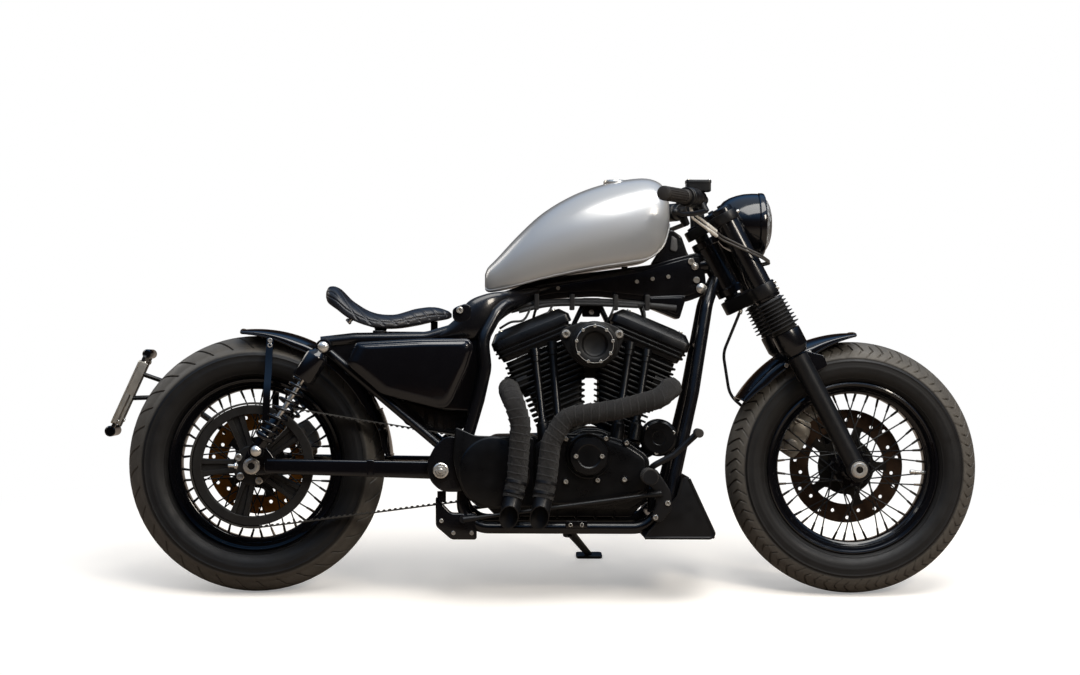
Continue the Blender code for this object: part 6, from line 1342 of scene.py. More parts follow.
shader.inputs["Roughness"].default_value = 0.85
shader.inputs["Sheen Weight"].default_value = 0.08


def bent(corners, bend, facet=6.0):
    """A polyline's corners rounded off, each step turning by facet degrees at most."""
    corners = [Vector(c) for c in corners]
    points = [corners[0]]
    for before, here, after in zip(corners, corners[1:], corners[2:]):
        inward, outward = (before - here).normalized(), (after - here).normalized()
        angle = inward.angle(outward)
        reach = min(bend / math.tan(angle / 2), 0.47 * (before - here).length, 0.47 * (after - here).length)
        first, last = here + inward * reach, here + outward * reach
        steps = max(2, math.ceil(math.degrees(math.pi - angle) / facet))
        for k in range(steps + 1):
            t = k / steps
            points.append(first * (1 - t) ** 2 + here * 2 * t * (1 - t) + last * t * t)
    points.append(corners[-1])
    return points


def evenly(points, step):
    """The same path with points an even step apart."""
    result = [points[0]]
    left = step
    for a, b in zip(points, points[1:]):
        span = (b - a).length
        at = 0.0
        while span - at >= left:
            at += left
            result.append(a.lerp(b, at / span))
            left = step
        left -= span - at
    if (points[-1] - result[-1]).length > step * 0.3:
        result.append(points[-1])
    return result


def exhaust(name, lean, corners):
    """A pipe from the cylinder's port through the corners: wound tape, a cut plain end and steel ties."""
    start = on_vee(lean, lean * (FIN_HALF + 0.0006), PORT_UP, PORT_Y)
    outward = on_vee(lean, lean * (FIN_HALF + 0.024), 0.29, PORT_Y)
    path = evenly(bent([start, outward, *corners], 0.055), PATH_STEP)
    whole = len(path)
    ends_at = whole - int(PLAIN_END / PATH_STEP)
    ways = [(path[min(i + 2, whole - 1)] - path[max(i - 2, 0)]).normalized() for i in range(whole)]
    side = ways[0].orthogonal().normalized()
    rings, frames = [], []
    work = bmesh.new()
    layer = work.loops.layers.uv.new("UVMap")
    gone = 0.0
    marks = []
    for i, (point, way) in enumerate(zip(path, ways)):
        side = (side - way * side.dot(way)).normalized()
        other = way.cross(side)
        frames.append((point, way, side.copy(), other.copy()))
        if i:
            gone += (point - path[i - 1]).length
        ring = []
        for k in range(PIPE_SIDES):
            a = 2 * math.pi * k / PIPE_SIDES
            wound = (gone / TAPE + k / PIPE_SIDES) % 1.0
            lap = 0.0015 * (1 - wound) + 0.001 * math.exp(-((wound - 0.04) / 0.09) ** 2)
            pucker = 0.0006 * math.sin(7 * a + gone * 210) * math.sin(gone * 130 + 2 * a)
            size = PIPE - 0.0018 + lap + pucker
            if i > ends_at:
                size = PIPE - 0.003
            ring.append(point + side * size * math.cos(a) + other * size * math.sin(a))
        rings.append(ring)
        marks.append(gone)
    wrapped = [[work.verts.new(p) for p in ring] for ring in rings[:ends_at + 1]]
    for i, (here, there) in enumerate(zip(wrapped, wrapped[1:])):
        for k in range(PIPE_SIDES):
            n = (k + 1) % PIPE_SIDES
            face = work.faces.new((here[k], here[n], there[n], there[k]))
            around = 2 * math.pi * PIPE
            for loop, (u, v) in zip(face.loops, ((marks[i], k), (marks[i], k + 1), (marks[i + 1], k + 1),
                                                  (marks[i + 1], k))):
                loop[layer].uv = (u * 10 - v / PIPE_SIDES * TAPE * 10, v / PIPE_SIDES * around * 10)
    work.faces.new(wrapped[0])
    work.faces.new(wrapped[-1])
    keep(work, name + "_wrapped", tape, "chassis", name, sharp=60)
    tail = bmesh.new()
    end = path[-1]
    sections = []
    for size, inwards in ((PIPE - 0.003, 0), (PIPE - 0.003, 1), (PIPE - 0.0026, 2), (PIPE - 0.0046, 2),
            (PIPE - 0.0052, 1), (PIPE - 0.0052, 0)):
        point, way, u, v = frames[ends_at - 4] if inwards == 0 else frames[-1]
        ring = [point + u * size * math.cos(a) + v * size * math.sin(a)
                for a in (2 * math.pi * k / PIPE_SIDES for k in range(PIPE_SIDES))]
        if inwards:
            back = 0.0014 if inwards == 1 else 0.0
            ring = [p + way * (end - p).dot(SLASH_CUT) / way.dot(SLASH_CUT) - way * back for p in ring]
        sections.append(ring)
    skin(tail, sections)
    keep(tail, name + "_end", satin_black, "chassis", sharp=40)
    ties = bmesh.new()
    for index in (10, ends_at - 8, ends_at - 24):
        point, way, u, v = frames[index]
        turned(ties, [(PIPE + 0.0002, -0.0032), (PIPE + 0.0012, -0.0032), (PIPE + 0.0012, 0.0032),
            (PIPE + 0.0002, 0.0032)], 48, aimed(point, point + way))
    keep(ties, name + "_ties", satin_black, "chassis")


exhaust("exhaust_rear", -1, [(0.637, -0.142, 0.508), (0.648, -0.19, 0.486), (0.664, -0.198, 0.43),
                             (0.656, -0.206, 0.3), (0.636, -0.226, 0.205)])
exhaust("exhaust_front", 1, [(1.036, -0.15, 0.522), (1.004, -0.19, 0.495), (0.9, -0.198, 0.468),
                             (0.775, -0.202, 0.45), (0.738, -0.208, 0.39), (0.728, -0.22, 0.3),
                             (0.71, -0.238, 0.205)])


# Frame
# One welded cradle of 31 mm tube under gloss powder coat, with a deep forged neck, pivot plates that
# carry the swingarm's bolt, the saddle's strap and the rear brake's cylinder behind the right rail.
TUBE = 0.0155
CRADLE_Y = 0.128
RAIL_Z = 0.173
PIVOT = (0.468, 0.315)
SHOCK_TOP = (0.178, 0.618)
SHOCK_FOOT = (0.015, 0.362)
SHOCK_Y = 0.168
FORGING_TOP = mm([(462, 114, 658), (500, 111, 690), (533, 108, 734), (578, 98, 754), (620, 78, 761),
    (664, 45, 767), (715, 16, 777)])
FORGING_FOOT = mm([(466, 114, 636), (515, 111, 640), (560, 108, 642), (592, 98, 666), (621, 78, 696),
    (662, 45, 722), (710, 16, 746)])
FORGING_HALF = 0.0165


def mirrored(points, side):
    """Points given for the right side, as they are for side -1, or reflected for side 1."""
    return [Vector((p[0], -side * p[1], p[2])) for p in points]


def outwards(side, x, y, z):
    """A place at y on one side whose Z axis points out of the machine."""
    return aimed((x, side * y, z), (x, side * 0.3, z))


def nut(work, start, way, radius, height=0.008):
    """A washer and a chamfered hexagon with a stud's end, standing on start along way."""
    place = aimed(start, Vector(start) + Vector(way))
    turned(work, [(0, 0), (radius * 1.32, 0), (radius * 1.32, 0.0016), (0, 0.0016)], 28, place)
    turned(work, [(0, 0.0014), (radius * 0.96, 0.0014), (radius, 0.0022), (radius, height - 0.0012),
                  (radius * 0.88, height), (0, height)], 6, place)
    turned(work, [(0, height - 0.001), (radius * 0.46, height - 0.001), (radius * 0.46, height + 0.0022),
                  (radius * 0.36, height + 0.0032), (0, height + 0.0032)], 20, place)


work = bmesh.new()
neck = mm([(0, -77), (28.5, -77), (34, -75.5), (34.5, -60), (31, -57), (30.5, 57), (34.5, 60), (34, 75.5),
    (28.5, 77), (0, 77)])
turned(work, neck, 56, STEERING)
tube(work, bent([STEERING @ Vector((0.004, 0, 0.01)), (1.02, 0, 0.815), (0.72, 0, 0.775), (0.61, 0, 0.735)],
    0.1), 0.022, 28)
slab(work, mm([(1128, 868), (1140, 760), (1085, 738), (990, 738), (860, 752), (740, 745), (650, 722),
    (630, 748), (740, 786), (960, 824), (1075, 856)]), -0.02, 0.02, 0.004, 0.02)
slab(work, mm([(1120, 858), (1130, 768), (1080, 750), (985, 752), (860, 764), (740, 757), (670, 738),
    (745, 778), (960, 814), (1070, 846)]), -0.0225, 0.0225, 0.003, 0.016)
slab(work, mm([(996, 834), (1024, 880), (1026, 912), (1048, 924), (1074, 906), (1088, 866), (1100, 845)]),
    -0.019, 0.019, 0.004, 0.006)
slab(work, mm([(978, 753), (983, 727), (1068, 693), (1087, 757)]), -0.036, 0.036, 0.005, 0.01)
slab(work, mm([(990, 749), (993, 731), (1064, 703), (1078, 751)]), -0.038, 0.038, 0.003, 0.008)
for side in (-1, 1):
    tube(work, bent(mirrored([
        (0.7, 0.012, 0.755), (0.612, 0.1, 0.722), (0.569, CRADLE_Y, 0.64), (0.577, CRADLE_Y, 0.57),
        (0.56, CRADLE_Y, 0.49), (0.526, CRADLE_Y, 0.372), (0.522, CRADLE_Y, 0.21), (0.562, CRADLE_Y, RAIL_Z),
        (0.975, CRADLE_Y, RAIL_Z), (1.036, CRADLE_Y, 0.238), (1.098, 0.088, 0.51), (1.136, 0.05, 0.735),
        (1.162, 0.01, 0.8)], -side), 0.075), TUBE, 28)
    upper, lower = wall_curve(mirrored(FORGING_TOP, -side), 6), wall_curve(mirrored(FORGING_FOOT, -side), 6)
    rings = []
    for high, low in zip(upper, lower):
        middle, reach = (high + low) / 2, (high - low) / 2
        ring = []
        for a in (2 * math.pi * k / 28 for k in range(28)):
            bulge = math.copysign(abs(math.sin(a)) ** 0.7, math.sin(a))
            ring.append(middle + reach * math.cos(a) + Vector((0, FORGING_HALF, 0)) * bulge)
        rings.append(ring)
    skin(work, rings)
    tube(work, bent(mirrored(mm([(168, 116, 629), (250, 116, 639), (430, 116, 642.5), (520, 110, 670),
        (600, 90, 732), (690, 14, 760)]), -side), 0.09), TUBE, 28)
    tube(work, mirrored(mm([(178, 122, 614), (500, 134, 345)]), -side), 0.011, 22)
    tube(work, mirrored([(SHOCK_TOP[0], 0.104, SHOCK_TOP[1]), (SHOCK_TOP[0], SHOCK_Y + 0.018,
        SHOCK_TOP[1])], -side), 0.009, 20)
    tube(work, mirrored([(SHOCK_TOP[0], 0.1, SHOCK_TOP[1]), (SHOCK_TOP[0], 0.154, SHOCK_TOP[1])], -side),
        0.019, 28)
    low, high = sorted((side * 0.151, side * 0.159))
    slab(work, mm([(432, 330), (440, 290), (470, 262), (524, 262), (536, 330), (534, 392), (480, 402),
        (450, 372)]), low, high, 0.0025, 0.018)
    for z in (0.29, 0.376):
        tube(work, mirrored([(0.522, 0.11, z), (0.522, 0.156, z)], -side), 0.012, 20)
    nut(work, (PIVOT[0], side * 0.1585, PIVOT[1]), (0, side, 0), 0.0165, 0.009)
    tube(work, mirrored(mm([(300, 103.5, 614), (300, 141.7, 614)]), -side), 0.012, 18)
    slab(work, mm([(172, 606), (176, 640), (262, 650), (276, 640), (246, 566), (232, 566)]),
        *sorted((side * 0.104, side * 0.124)), 0.003, 0.006)
    slab(work, mm([(494, 690), (494, 714), (504, 721), (528, 729), (540, 722), (540, 690), (515, 676)]),
        *sorted((side * 0.098, side * 0.126)), 0.003, 0.009)
cross_tubes = [
    ((0.3, 0.116, 0.637), (0.3, -0.116, 0.637), 0.01),
    ((0.534, -CRADLE_Y, 0.19), (0.534, CRADLE_Y, 0.19), 0.012),
    ((1.0, -CRADLE_Y, 0.196), (1.0, CRADLE_Y, 0.196), 0.012),
    ((1.118, -0.07, 0.63), (1.118, 0.07, 0.63), 0.01),
    ((0.522, 0, 0.34), (0.5597, 0, 0.34), 0.016),
    ((0.522, -CRADLE_Y, 0.34), (0.522, CRADLE_Y, 0.34), 0.012),
    ((1.0, 0, 0.262), (0.9853, 0, 0.262), 0.01),
    ((1.0, 0, 0.196), (1.0, 0, 0.27), 0.009)]
for start, end, radius in cross_tubes:
    tube(work, [start, end], radius, 20)
tube(work, [(0.544, -CRADLE_Y, 0.455), (0.544, CRADLE_Y, 0.455)], 0.012, 24)
slab(work, mm([(322, 496), (379, 425), (430, 409), (503, 402), (540, 430), (545, 462), (470, 462),
    (415, 477), (335, 500)]), -0.075, 0.098, 0.004, 0.006)
for k in range(5):
    slab(work, [(0.4 + 0.024 * k, 0.4105), (0.41 + 0.024 * k, 0.4105), (0.41 + 0.024 * k, 0.456),
                (0.4 + 0.024 * k, 0.456)], -0.074, -0.0775, 0.001, 0.003)
for x, z in ((0.72, 0.803), (0.93, 0.829)):
    tube(work, [(x, 0, z - 0.06), (x, 0, z)], 0.008, 16)
slab(work, mm([(455, 250), (456, 176), (495, 143), (558, 143), (557, 209), (494, 209)]), -0.1435, -0.113,
    0.005, 0.008)
tube(work, mm([(470, -128, 235), (470, -128, 262)]), 0.011, 18)
rail_top = 0.6555
slab(work, [(0.296, rail_top - 0.004), (0.324, rail_top - 0.004), (0.324, rail_top + 0.005),
    (0.296, rail_top + 0.005)], -0.122, 0.122, 0.002, 0.002)
for y in (-0.085, 0.085):
    turned(work, mm([(0, 0), (11.5, 0), (12, 2), (10.5, 5.5), (12, 9), (11.5, 11), (0, 11)]), 24,
        Matrix.Translation((0.31, y, rail_top + 0.002)))
slab(work, [(0.3, rail_top - 0.003), (0.452, rail_top - 0.003), (0.452, rail_top + 0.004),
    (0.3, rail_top + 0.004)], -0.014, 0.014, 0.0015, 0.002)
tube(work, [(0.446, 0, rail_top + 0.001), (0.446, 0, 0.6855)], 0.009, 18)
stand_turn = next(joint for joint in frame["joints"] if joint["name"] == "side_stand_fold")
to_upright = UPRIGHT_TO_PARKED.inverted()
STAND_PIVOT = to_upright @ Vector(stand_turn["pos_m"])
STAND_AXIS = (to_upright.to_3x3() @ Vector(stand_turn["axis"])).normalized()
if STAND_AXIS.z < 0:
    STAND_AXIS = -STAND_AXIS
tube(work, [STAND_PIVOT + STAND_AXIS * 0.0118, STAND_PIVOT + STAND_AXIS * 0.036], 0.015, 28)
tube(work, [STAND_PIVOT - STAND_AXIS * 0.015, STAND_PIVOT + STAND_AXIS * 0.02], 0.006, 18)
tube(work, [(0.8, CRADLE_Y, RAIL_Z), STAND_PIVOT + STAND_AXIS * 0.029], 0.008, 18)
keep(work, "frame_tubes", frame_paint, "chassis", "frame", sharp=32)
work = bmesh.new()
for side in (-1, 1):
    turned(work, [(0, 0.0085), (0.0055, 0.008), (0.0105, 0.0058), (0.0132, 0.0028), (0.0138, 0), (0, 0)], 36,
           outwards(side, SHOCK_TOP[0], 0.1815, SHOCK_TOP[1]))
keep(work, "shock_dome_nuts", plated, "chassis")
neck_bolts = ((1.098, 0.842), (1.112, 0.795))
screws("neck_bolts", "chassis", 0.0085, 0.0065,
       [right_at(x, -0.0225, z) for x, z in neck_bolts] + [right_at(0.512, -0.1258, 0.712)]
       + [across_at(x, 0.0225, z) for x, z in neck_bolts])
work = bmesh.new()
for x, z, size in ((1.124, 0.774, 0.0125), (1.108, 0.83, 0.009)):
    turned(work, [(0, 0), (size, 0), (size, 0.0025), (size * 0.86, 0.0032), (size * 0.8, 0.0075),
        (size * 0.45, 0.011), (0, 0.012)], 36, aimed((x, -0.0215, z), (x, -0.2, z)))
keep(work, "neck_dome_nuts", plated, "chassis")
# Grey paint on the small neck cover: flat and slightly worn.
neck_grey = surface("grey_neck_cover_paint", "4A4B4E", "58585A", (0.3, 0.44), cloud_mm=60,
    grain_um=12)
work = bmesh.new()
slab(work, mm([(1048, 908), (1062, 900), (1064, 874), (1060, 866), (1044, 870)]), -0.024, 0.024, 0.003,
    0.005)
keep(work, "neck_cover", neck_grey, "chassis")
screws("frame_small_bolts", "chassis", 0.0052, 0.0045,
       [right_at(x, -0.1434, z) for x, z in (
           (0.47, 0.19), (0.5, 0.16), (0.545, 0.16), (0.545, 0.196), (0.79, 0.181), (0.818, 0.181))]
       + [right_at(x, -0.0222, z) for x, z in (
           (0.7, 0.757), (0.76, 0.772), (0.96, 0.79), (1.0, 0.797), (1.04, 0.803))])
work = bmesh.new()
slab(work, mm([(777, 173.5), (832, 173.5), (832, 190.5), (777, 190.5)]), -0.1425, -0.1455, 0.001, 0.004)
keep(work, "rail_bracket", frame_paint, "chassis")
work = bmesh.new()
for side in (-1, 1):
    nut(work, (PIVOT[0], side * 0.1672, PIVOT[1]), (0, side, 0), 0.0125, 0.006)
    turned(work, mm([(0, 0), (19, 0), (19, 6), (16.5, 7.8), (7, 8), (6, 7), (0, 7)]), 40,
        outwards(side, PIVOT[0], 0.159, PIVOT[1]))
keep(work, "pivot_bolt_caps", plated, "chassis")


# Swingarm
# Two box-section arms welded to cast axle ends, their outer corners rounded, with axle adjusters.
SWINGARM_Y = 0.132
work = bmesh.new()
for side in (-1, 1):
    low, high = sorted((side * 0.119, side * 0.145))
    slab(work, [(0.03, 0.3045), (0.03, 0.3415), (PIVOT[0], 0.3375), (PIVOT[0] + 0.022, 0.327),
                (PIVOT[0] + 0.022, 0.303), (PIVOT[0], 0.2925)], low, high, 0.006, 0.012)
    inner, outer = sorted((side * 0.119, side * 0.139))
    slab(work, mm([(-21, 310), (-21, 336), (-6, 370), (12, 381), (32, 374), (56, 345), (70, 303.5),
        (30, 301), (-4, 300.5)]), inner, outer, 0.004, 0.012)
    collar = sorted((side * 0.1175, side * 0.1465))
    slab(work, mm([(284, 298.5), (284, 340.5), (304, 340), (304, 298)]), *collar, 0.003, 0.006)
    tube(work, mirrored([(PIVOT[0], 0.119, PIVOT[1]), (PIVOT[0], 0.148, PIVOT[1])], -side), 0.03, 40)
    tube(work, mirrored([(SHOCK_FOOT[0], SWINGARM_Y, SHOCK_FOOT[1]),
        (SHOCK_FOOT[0], SHOCK_Y + 0.018, SHOCK_FOOT[1])], -side), 0.009, 20)
    tube(work, mirrored([(SHOCK_FOOT[0], 0.136, SHOCK_FOOT[1]), (SHOCK_FOOT[0], 0.154, SHOCK_FOOT[1])],
        -side), 0.016, 28)
tube(work, [(PIVOT[0] - 0.052, -SWINGARM_Y, PIVOT[1] + 0.004),
    (PIVOT[0] - 0.052, SWINGARM_Y, PIVOT[1] + 0.004)], 0.013, 24)
keep(work, "swingarm_welded", gloss_paint, "chassis", "swingarm", sharp=32)
work = bmesh.new()
for side in (-1, 1):
    turned(work, mm([(0, 0), (13, 0), (13, 2), (11.2, 2.6), (10.6, 6.6), (6, 10), (0, 10.6)]), 32,
        outwards(side, SHOCK_FOOT[0], 0.18, SHOCK_FOOT[1]))
keep(work, "shock_foot_nuts", plated, "chassis")
work = bmesh.new()
for side in (-1, 1):
    tube(work, [(-0.058, side * 0.13, 0.323), (-0.034, side * 0.13, 0.323)], 0.0042, 16)
    nut(work, (-0.0362, side * 0.13, 0.323), (-1, 0, 0), 0.0078, 0.007)
keep(work, "axle_adjusters", plated, "chassis")


# Shocks
# Coil-over shocks: a bright damper rod inside a black wound spring, under a plain shroud.
COIL_TURNS = 7.5
COIL_RADIUS = 0.0222
COIL_SQUEEZE = 0.035
WIRE_RADIUS = 0.0037
for side, name in ((-1, "right"), (1, "left")):
    top = Vector((SHOCK_TOP[0], side * SHOCK_Y, SHOCK_TOP[1]))
    foot = Vector((SHOCK_FOOT[0], side * SHOCK_Y, SHOCK_FOOT[1]))
    length = (top - foot).length
    place = aimed(foot, top)
    work = bmesh.new()
    for middle in (top, foot):
        turned(work, [(0.0093, -0.013), (0.0185, -0.013), (0.0192, -0.0118), (0.0192, 0.0118),
            (0.0185, 0.013), (0.0093, 0.013)], 36, across_at(middle.x, middle.y, middle.z))
    turned(work, [(0, 0.012), (0.015, 0.012), (0.016, 0.018), (0.0165, 0.032), (0.0245, 0.036),
        (0.0262, 0.039), (0.0262, 0.044), (0.0245, 0.047), (0.016, 0.048), (0.015, 0.1), (0.014, 0.102),
        (0, 0.102)], 40, place)
    turned(work, [(0, length - 0.094), (0.027, length - 0.094), (0.029, length - 0.091),
        (0.029, length - 0.03), (0.0275, length - 0.025), (0.019, length - 0.018), (0.016, length - 0.012),
        (0, length - 0.012)], 44, place)
    coil = []
    low, high = 0.0505, length - 0.0975
    for k in range(int(COIL_TURNS * 28) + 1):
        share = k / (COIL_TURNS * 28)
        squeeze = share - COIL_SQUEEZE * math.sin(2 * math.pi * share)
        a = 2 * math.pi * COIL_TURNS * share
        coil.append(place @ Vector((COIL_RADIUS * math.cos(a), COIL_RADIUS * math.sin(a),
                                    low + (high - low) * squeeze)))
    tube(work, coil, WIRE_RADIUS, 12)
    keep(work, "shock_body_" + name, gloss_paint, "chassis", "shock_" + name, sharp=34)
    work = bmesh.new()
    turned(work, [(0, 0.1), (0.0062, 0.1), (0.0062, length - 0.092), (0, length - 0.092)], 24, place)
    keep(work, "damper_rod_" + name, plated, "chassis")


# Mudguards
# Cropped steel mudguards with pointed ends and rolled edges, on flat stays that are bolted on.
TIP_LENGTH = 0.45


def mudguard(work, centre, radius, skirt, half, start, end, tips):
    """A pressed guard from start to end degrees round a wheel. skirt is the radius its sides reach down
    to, and tips how much of that depth is left at each end."""
    def arch(out, share):
        r_out = radius + out
        wide = half + out
        foot = radius - (radius - skirt) * share
        depth = r_out - foot
        rows = [(foot, wide), (foot + depth * 0.45, wide * 0.985), (r_out - depth * 0.27, wide * 0.8),
                (r_out - depth * 0.055, wide * 0.42), (r_out, 0)]
        return wall_curve(rows, 5)

    steps = 64
    rings = []
    edge = {-1: [], 1: []}
    for k in range(steps + 1):
        along = k / steps
        share = min(1.0, tips[0] + along / TIP_LENGTH, tips[1] + (1 - along) / TIP_LENGTH)
        outer, inner = arch(0, share), arch(-0.0026, share)
        loop = ([(r, -y) for r, y in outer] + [(r, y) for r, y in reversed(outer[:-1])]
                + [(r, y) for r, y in inner] + [(r, -y) for r, y in reversed(inner[:-1])])
        turn = math.radians(start + (end - start) * along)
        around = [Vector((centre[0] + r * math.cos(turn), y, centre[1] + r * math.sin(turn)))
            for r, y in loop]
        rings.append(around)
        for side in (-1, 1):
            r, y = outer[0][0] + 0.001, side * (outer[0][1] - 0.0016)
            edge[side].append(Vector((centre[0] + r * math.cos(turn), y, centre[1] + r * math.sin(turn))))
    skin(work, rings)
    for side in (-1, 1):
        tube(work, edge[side], 0.0026, 10)
    for ring in (rings[0], rings[-1]):
        tube(work, ring[:len(ring) // 2], 0.0024, 10)


work = bmesh.new()
mudguard(work, (0, REAR_RADIUS), 0.341, 0.309, 0.08, 96, 16, (0.35, 0.6))
mudguard(work, (0, REAR_RADIUS), 0.345, 0.322, 0.07, 24, 4, (1.0, 0.6))
for side in (-1, 1):
    rows = [(0.038, 0.64, 0.083), (0.0365, 0.6, 0.0905), (0.036, 0.56, 0.1), (0.035, 0.528, 0.1105),
            (0.034, 0.5, 0.1187), (0.0335, 0.48, 0.1187), (0.03, 0.372, 0.1187)]
    rings = []
    for x, z, outer in rows:
        inner = outer - 0.0038
        rings.append([Vector((x - 0.0085, side * inner, z)), Vector((x + 0.0085, side * inner, z)),
                      Vector((x + 0.009, side * (inner + 0.0019), z)), Vector((x + 0.0085, side * outer, z)),
                      Vector((x - 0.0085, side * outer, z)), Vector((x - 0.009, side * (inner + 0.0019), z))])
    skin(work, rings)
keep(work, "rear_mudguard", gloss_paint, "chassis", "rear_fender", sharp=34)
screws("rear_stay_bolts", "chassis", 0.0062, 0.005,
    [aimed((0.038, side * 0.0828, z), (0.038, side * 0.2, z + 0.01))
        for side in (-1, 1) for z in (0.634, 0.622)]
    + [outwards(-1, 0.03, 0.1185, 0.38)])
work = bmesh.new()
mudguard(work, (WHEELBASE, FRONT_RADIUS), 0.343, 0.306, 0.079, 90, 149, (0.25, 0.55))
for side in (-1, 1):
    corners = [on_fork(-0.026, 0, 0.258), on_fork(0.058, 0, 0.262), on_fork(0.062, 0, 0.29),
        on_fork(0.026, 0, 0.322), on_fork(-0.026, 0, 0.322)]
    low, high = sorted((side * 0.077, side * 0.0839))
    slab(work, [(c.x, c.z) for c in corners], low, high, 0.002, 0.006)
keep(work, "front_mudguard", gloss_paint, "steering", "front_fender", sharp=34)
screws("front_guard_bolts", "steering", 0.0058, 0.0048,
       [aimed(on_fork(x, side * 0.078, 0.312), on_fork(x, side * 0.2, 0.312))
        for side in (-1, 1) for x in (0.033, -0.033)])


# Side covers
# The oil tank on the right and the battery's case on the left, behind pressed covers with full,
# softly crowned faces. Their cores are tucked between the rails.
OUTER = mm([(258, 631), (416, 640), (531, 642), (542, 634), (548, 616), (533, 568), (497, 485), (483, 469),
    (462, 467), (319, 503), (239, 571), (234, 583)])
for side, name, node in ((-1, "oil_tank_cover", "oil_tank"), (1, "battery_cover", "battery_case")):
    work = bmesh.new()
    slab(work, OUTER, side * 0.1424, side * 0.163, 0.008, 0.009, 8, crown=0.006)
    core = mm([(268, 604), (560, 646), (570, 600), (566, 560), (546, 457), (466, 462), (415, 490),
        (312, 527), (246, 590)])
    slab(work, core, side * 0.02, side * 0.098, 0.006, 0.012)
    slab(work, mm([(330, 600), (480, 600), (462, 500), (330, 530)]), side * 0.09, side * 0.144, 0.002, 0.006)
    keep(work, name, gloss_paint, "chassis", node, sharp=40)


# Chin spoiler
# A folded scoop across the downtubes' feet, its lower edge rolled over a wire.
work = bmesh.new()
CHIN = mm([(972, 148), (1142, 148), (1150, 160), (1084, 300), (1068, 300), (1056, 256)])
for side in (-1, 1):
    low, high = sorted((side * 0.1465, side * 0.1505))
    slab(work, CHIN, low, high, 0.0012, 0.006)
    tube(work, bent([(0.974, side * 0.149, 0.15), (1.139, side * 0.149, 0.15), (1.1475, side * 0.149, 0.16),
                     (1.0835, side * 0.149, 0.296)], 0.012), 0.004, 14)
    tube(work, [(0.973, side * 0.149, 0.15), (1.055, side * 0.149, 0.254), (1.067, side * 0.149, 0.298)],
        0.003, 12)
slab(work, mm([(974, 148), (1141, 148), (1141, 151.5), (974, 151.5)]), -0.149, 0.149, 0.0008, 0.001)
slab(work, mm([(1139.5, 150), (1148, 161.5), (1082, 300), (1077.5, 300), (1142, 162), (1136, 152)]), -0.149,
    0.149, 0.0008, 0.001)
tube(work, mm([(1144, -149, 152.5), (1144, 149, 152.5)]), 0.004, 14)
tube(work, mm([(1081, -149, 298.5), (1081, 149, 298.5)]), 0.003, 12)
for y in (-0.06, 0.06):
    tube(work, [(1.0, y, 0.15), (1.0, y, 0.1837)], 0.01, 18)
keep(work, "chin_scoop", satin_black, "chassis", "chin_spoiler", sharp=32)


# Yokes and bars
# Forged yokes clamp the legs with pinch bolts; a flat drag bar sits in split risers on the top one.
BAR = (1.112, 0.986)
RISER_Y = 0.045
GRIP_END = (0.994, 0.4)
BAR_BEND_Y = 0.2


def bar_end(side):
    """The grip's outer end on one side, and the way out to it along the bar."""
    outer = Vector((GRIP_END[0], side * GRIP_END[1], BAR[1]))
    return outer, (outer - Vector((BAR[0], side * BAR_BEND_Y, BAR[1]))).normalized()


work = bmesh.new()
turned(work, mm([(0, -105), (17, -105), (17, 118), (0, 118)]), 32, STEERING)
for along, thick, nose in ((0.505, 0.034, 0.07), (0.712, 0.026, 0.022)):
    left = mm([(-34, 30), (28, 100), (34, 134), (72, 145), (97, 126), (97, 90), (70, 74)])
    outline = rounded(left + [(nose, 0.046), (nose, -0.046)] + [(x, -y) for x, y in reversed(left)], 0.016, 6)
    level = along - STEM_TO_AXLE
    layered(work, outline, ((0.003, -thick / 2), (0.0008, -thick / 2 + 0.0008), (0, -thick / 2 + 0.003),
                            (0, thick / 2 - 0.003), (0.0008, thick / 2 - 0.0008), (0.003, thick / 2)),
            lambda u, v, up: STEERING @ Vector((u, v, level + up)))
    turned(work, [(0, level + thick / 2 - 0.001), (0.024, level + thick / 2 - 0.001),
        (0.024, level + thick / 2 + 0.004), (0.018, level + thick / 2 + 0.006),
        (0, level + thick / 2 + 0.006)], 36 if along > 0.6 else 24, STEERING)
for y in (-RISER_Y, RISER_Y):
    foot = STEERING @ Vector((0.004, y, 0.712 - STEM_TO_AXLE + 0.011))
    tube(work, [foot, foot.lerp(Vector((BAR[0], y, BAR[1])), 0.8), (BAR[0], y, BAR[1])],
        [0.015, 0.013, 0.013], 28)
    turned(work, mm([(12.8, -15), (20.5, -15), (22, -13.5), (22, 13.5), (20.5, 15), (12.8, 15)]), 44,
        across_at(BAR[0], y, BAR[1]))
keep(work, "yokes_and_risers", satin_black, "steering", "triple_clamp", sharp=32)
screws("yoke_pinch_bolts", "steering", 0.0048, 0.005,
    [Matrix.Translation((BAR[0] + dx, y, BAR[1] + 0.02))
        for y in (-RISER_Y, RISER_Y) for dx in (-0.008, 0.008)]
    + [aimed(on_fork(0.031, side * 0.118, up), on_fork(0.12, side * 0.118, up))
        for side in (-1, 1) for up in (0.497, 0.513, 0.712)])
work = bmesh.new()
ends = [Vector((0.99754, side * 0.394, BAR[1])) for side in (-1, 1)]
tube(work, bent([ends[0], (BAR[0], -BAR_BEND_Y, BAR[1]), (BAR[0], BAR_BEND_Y, BAR[1]), ends[1]], 0.1, 3.0),
     0.0127, 32)
keep(work, "drag_bar", satin_black, "steering", "handlebar")

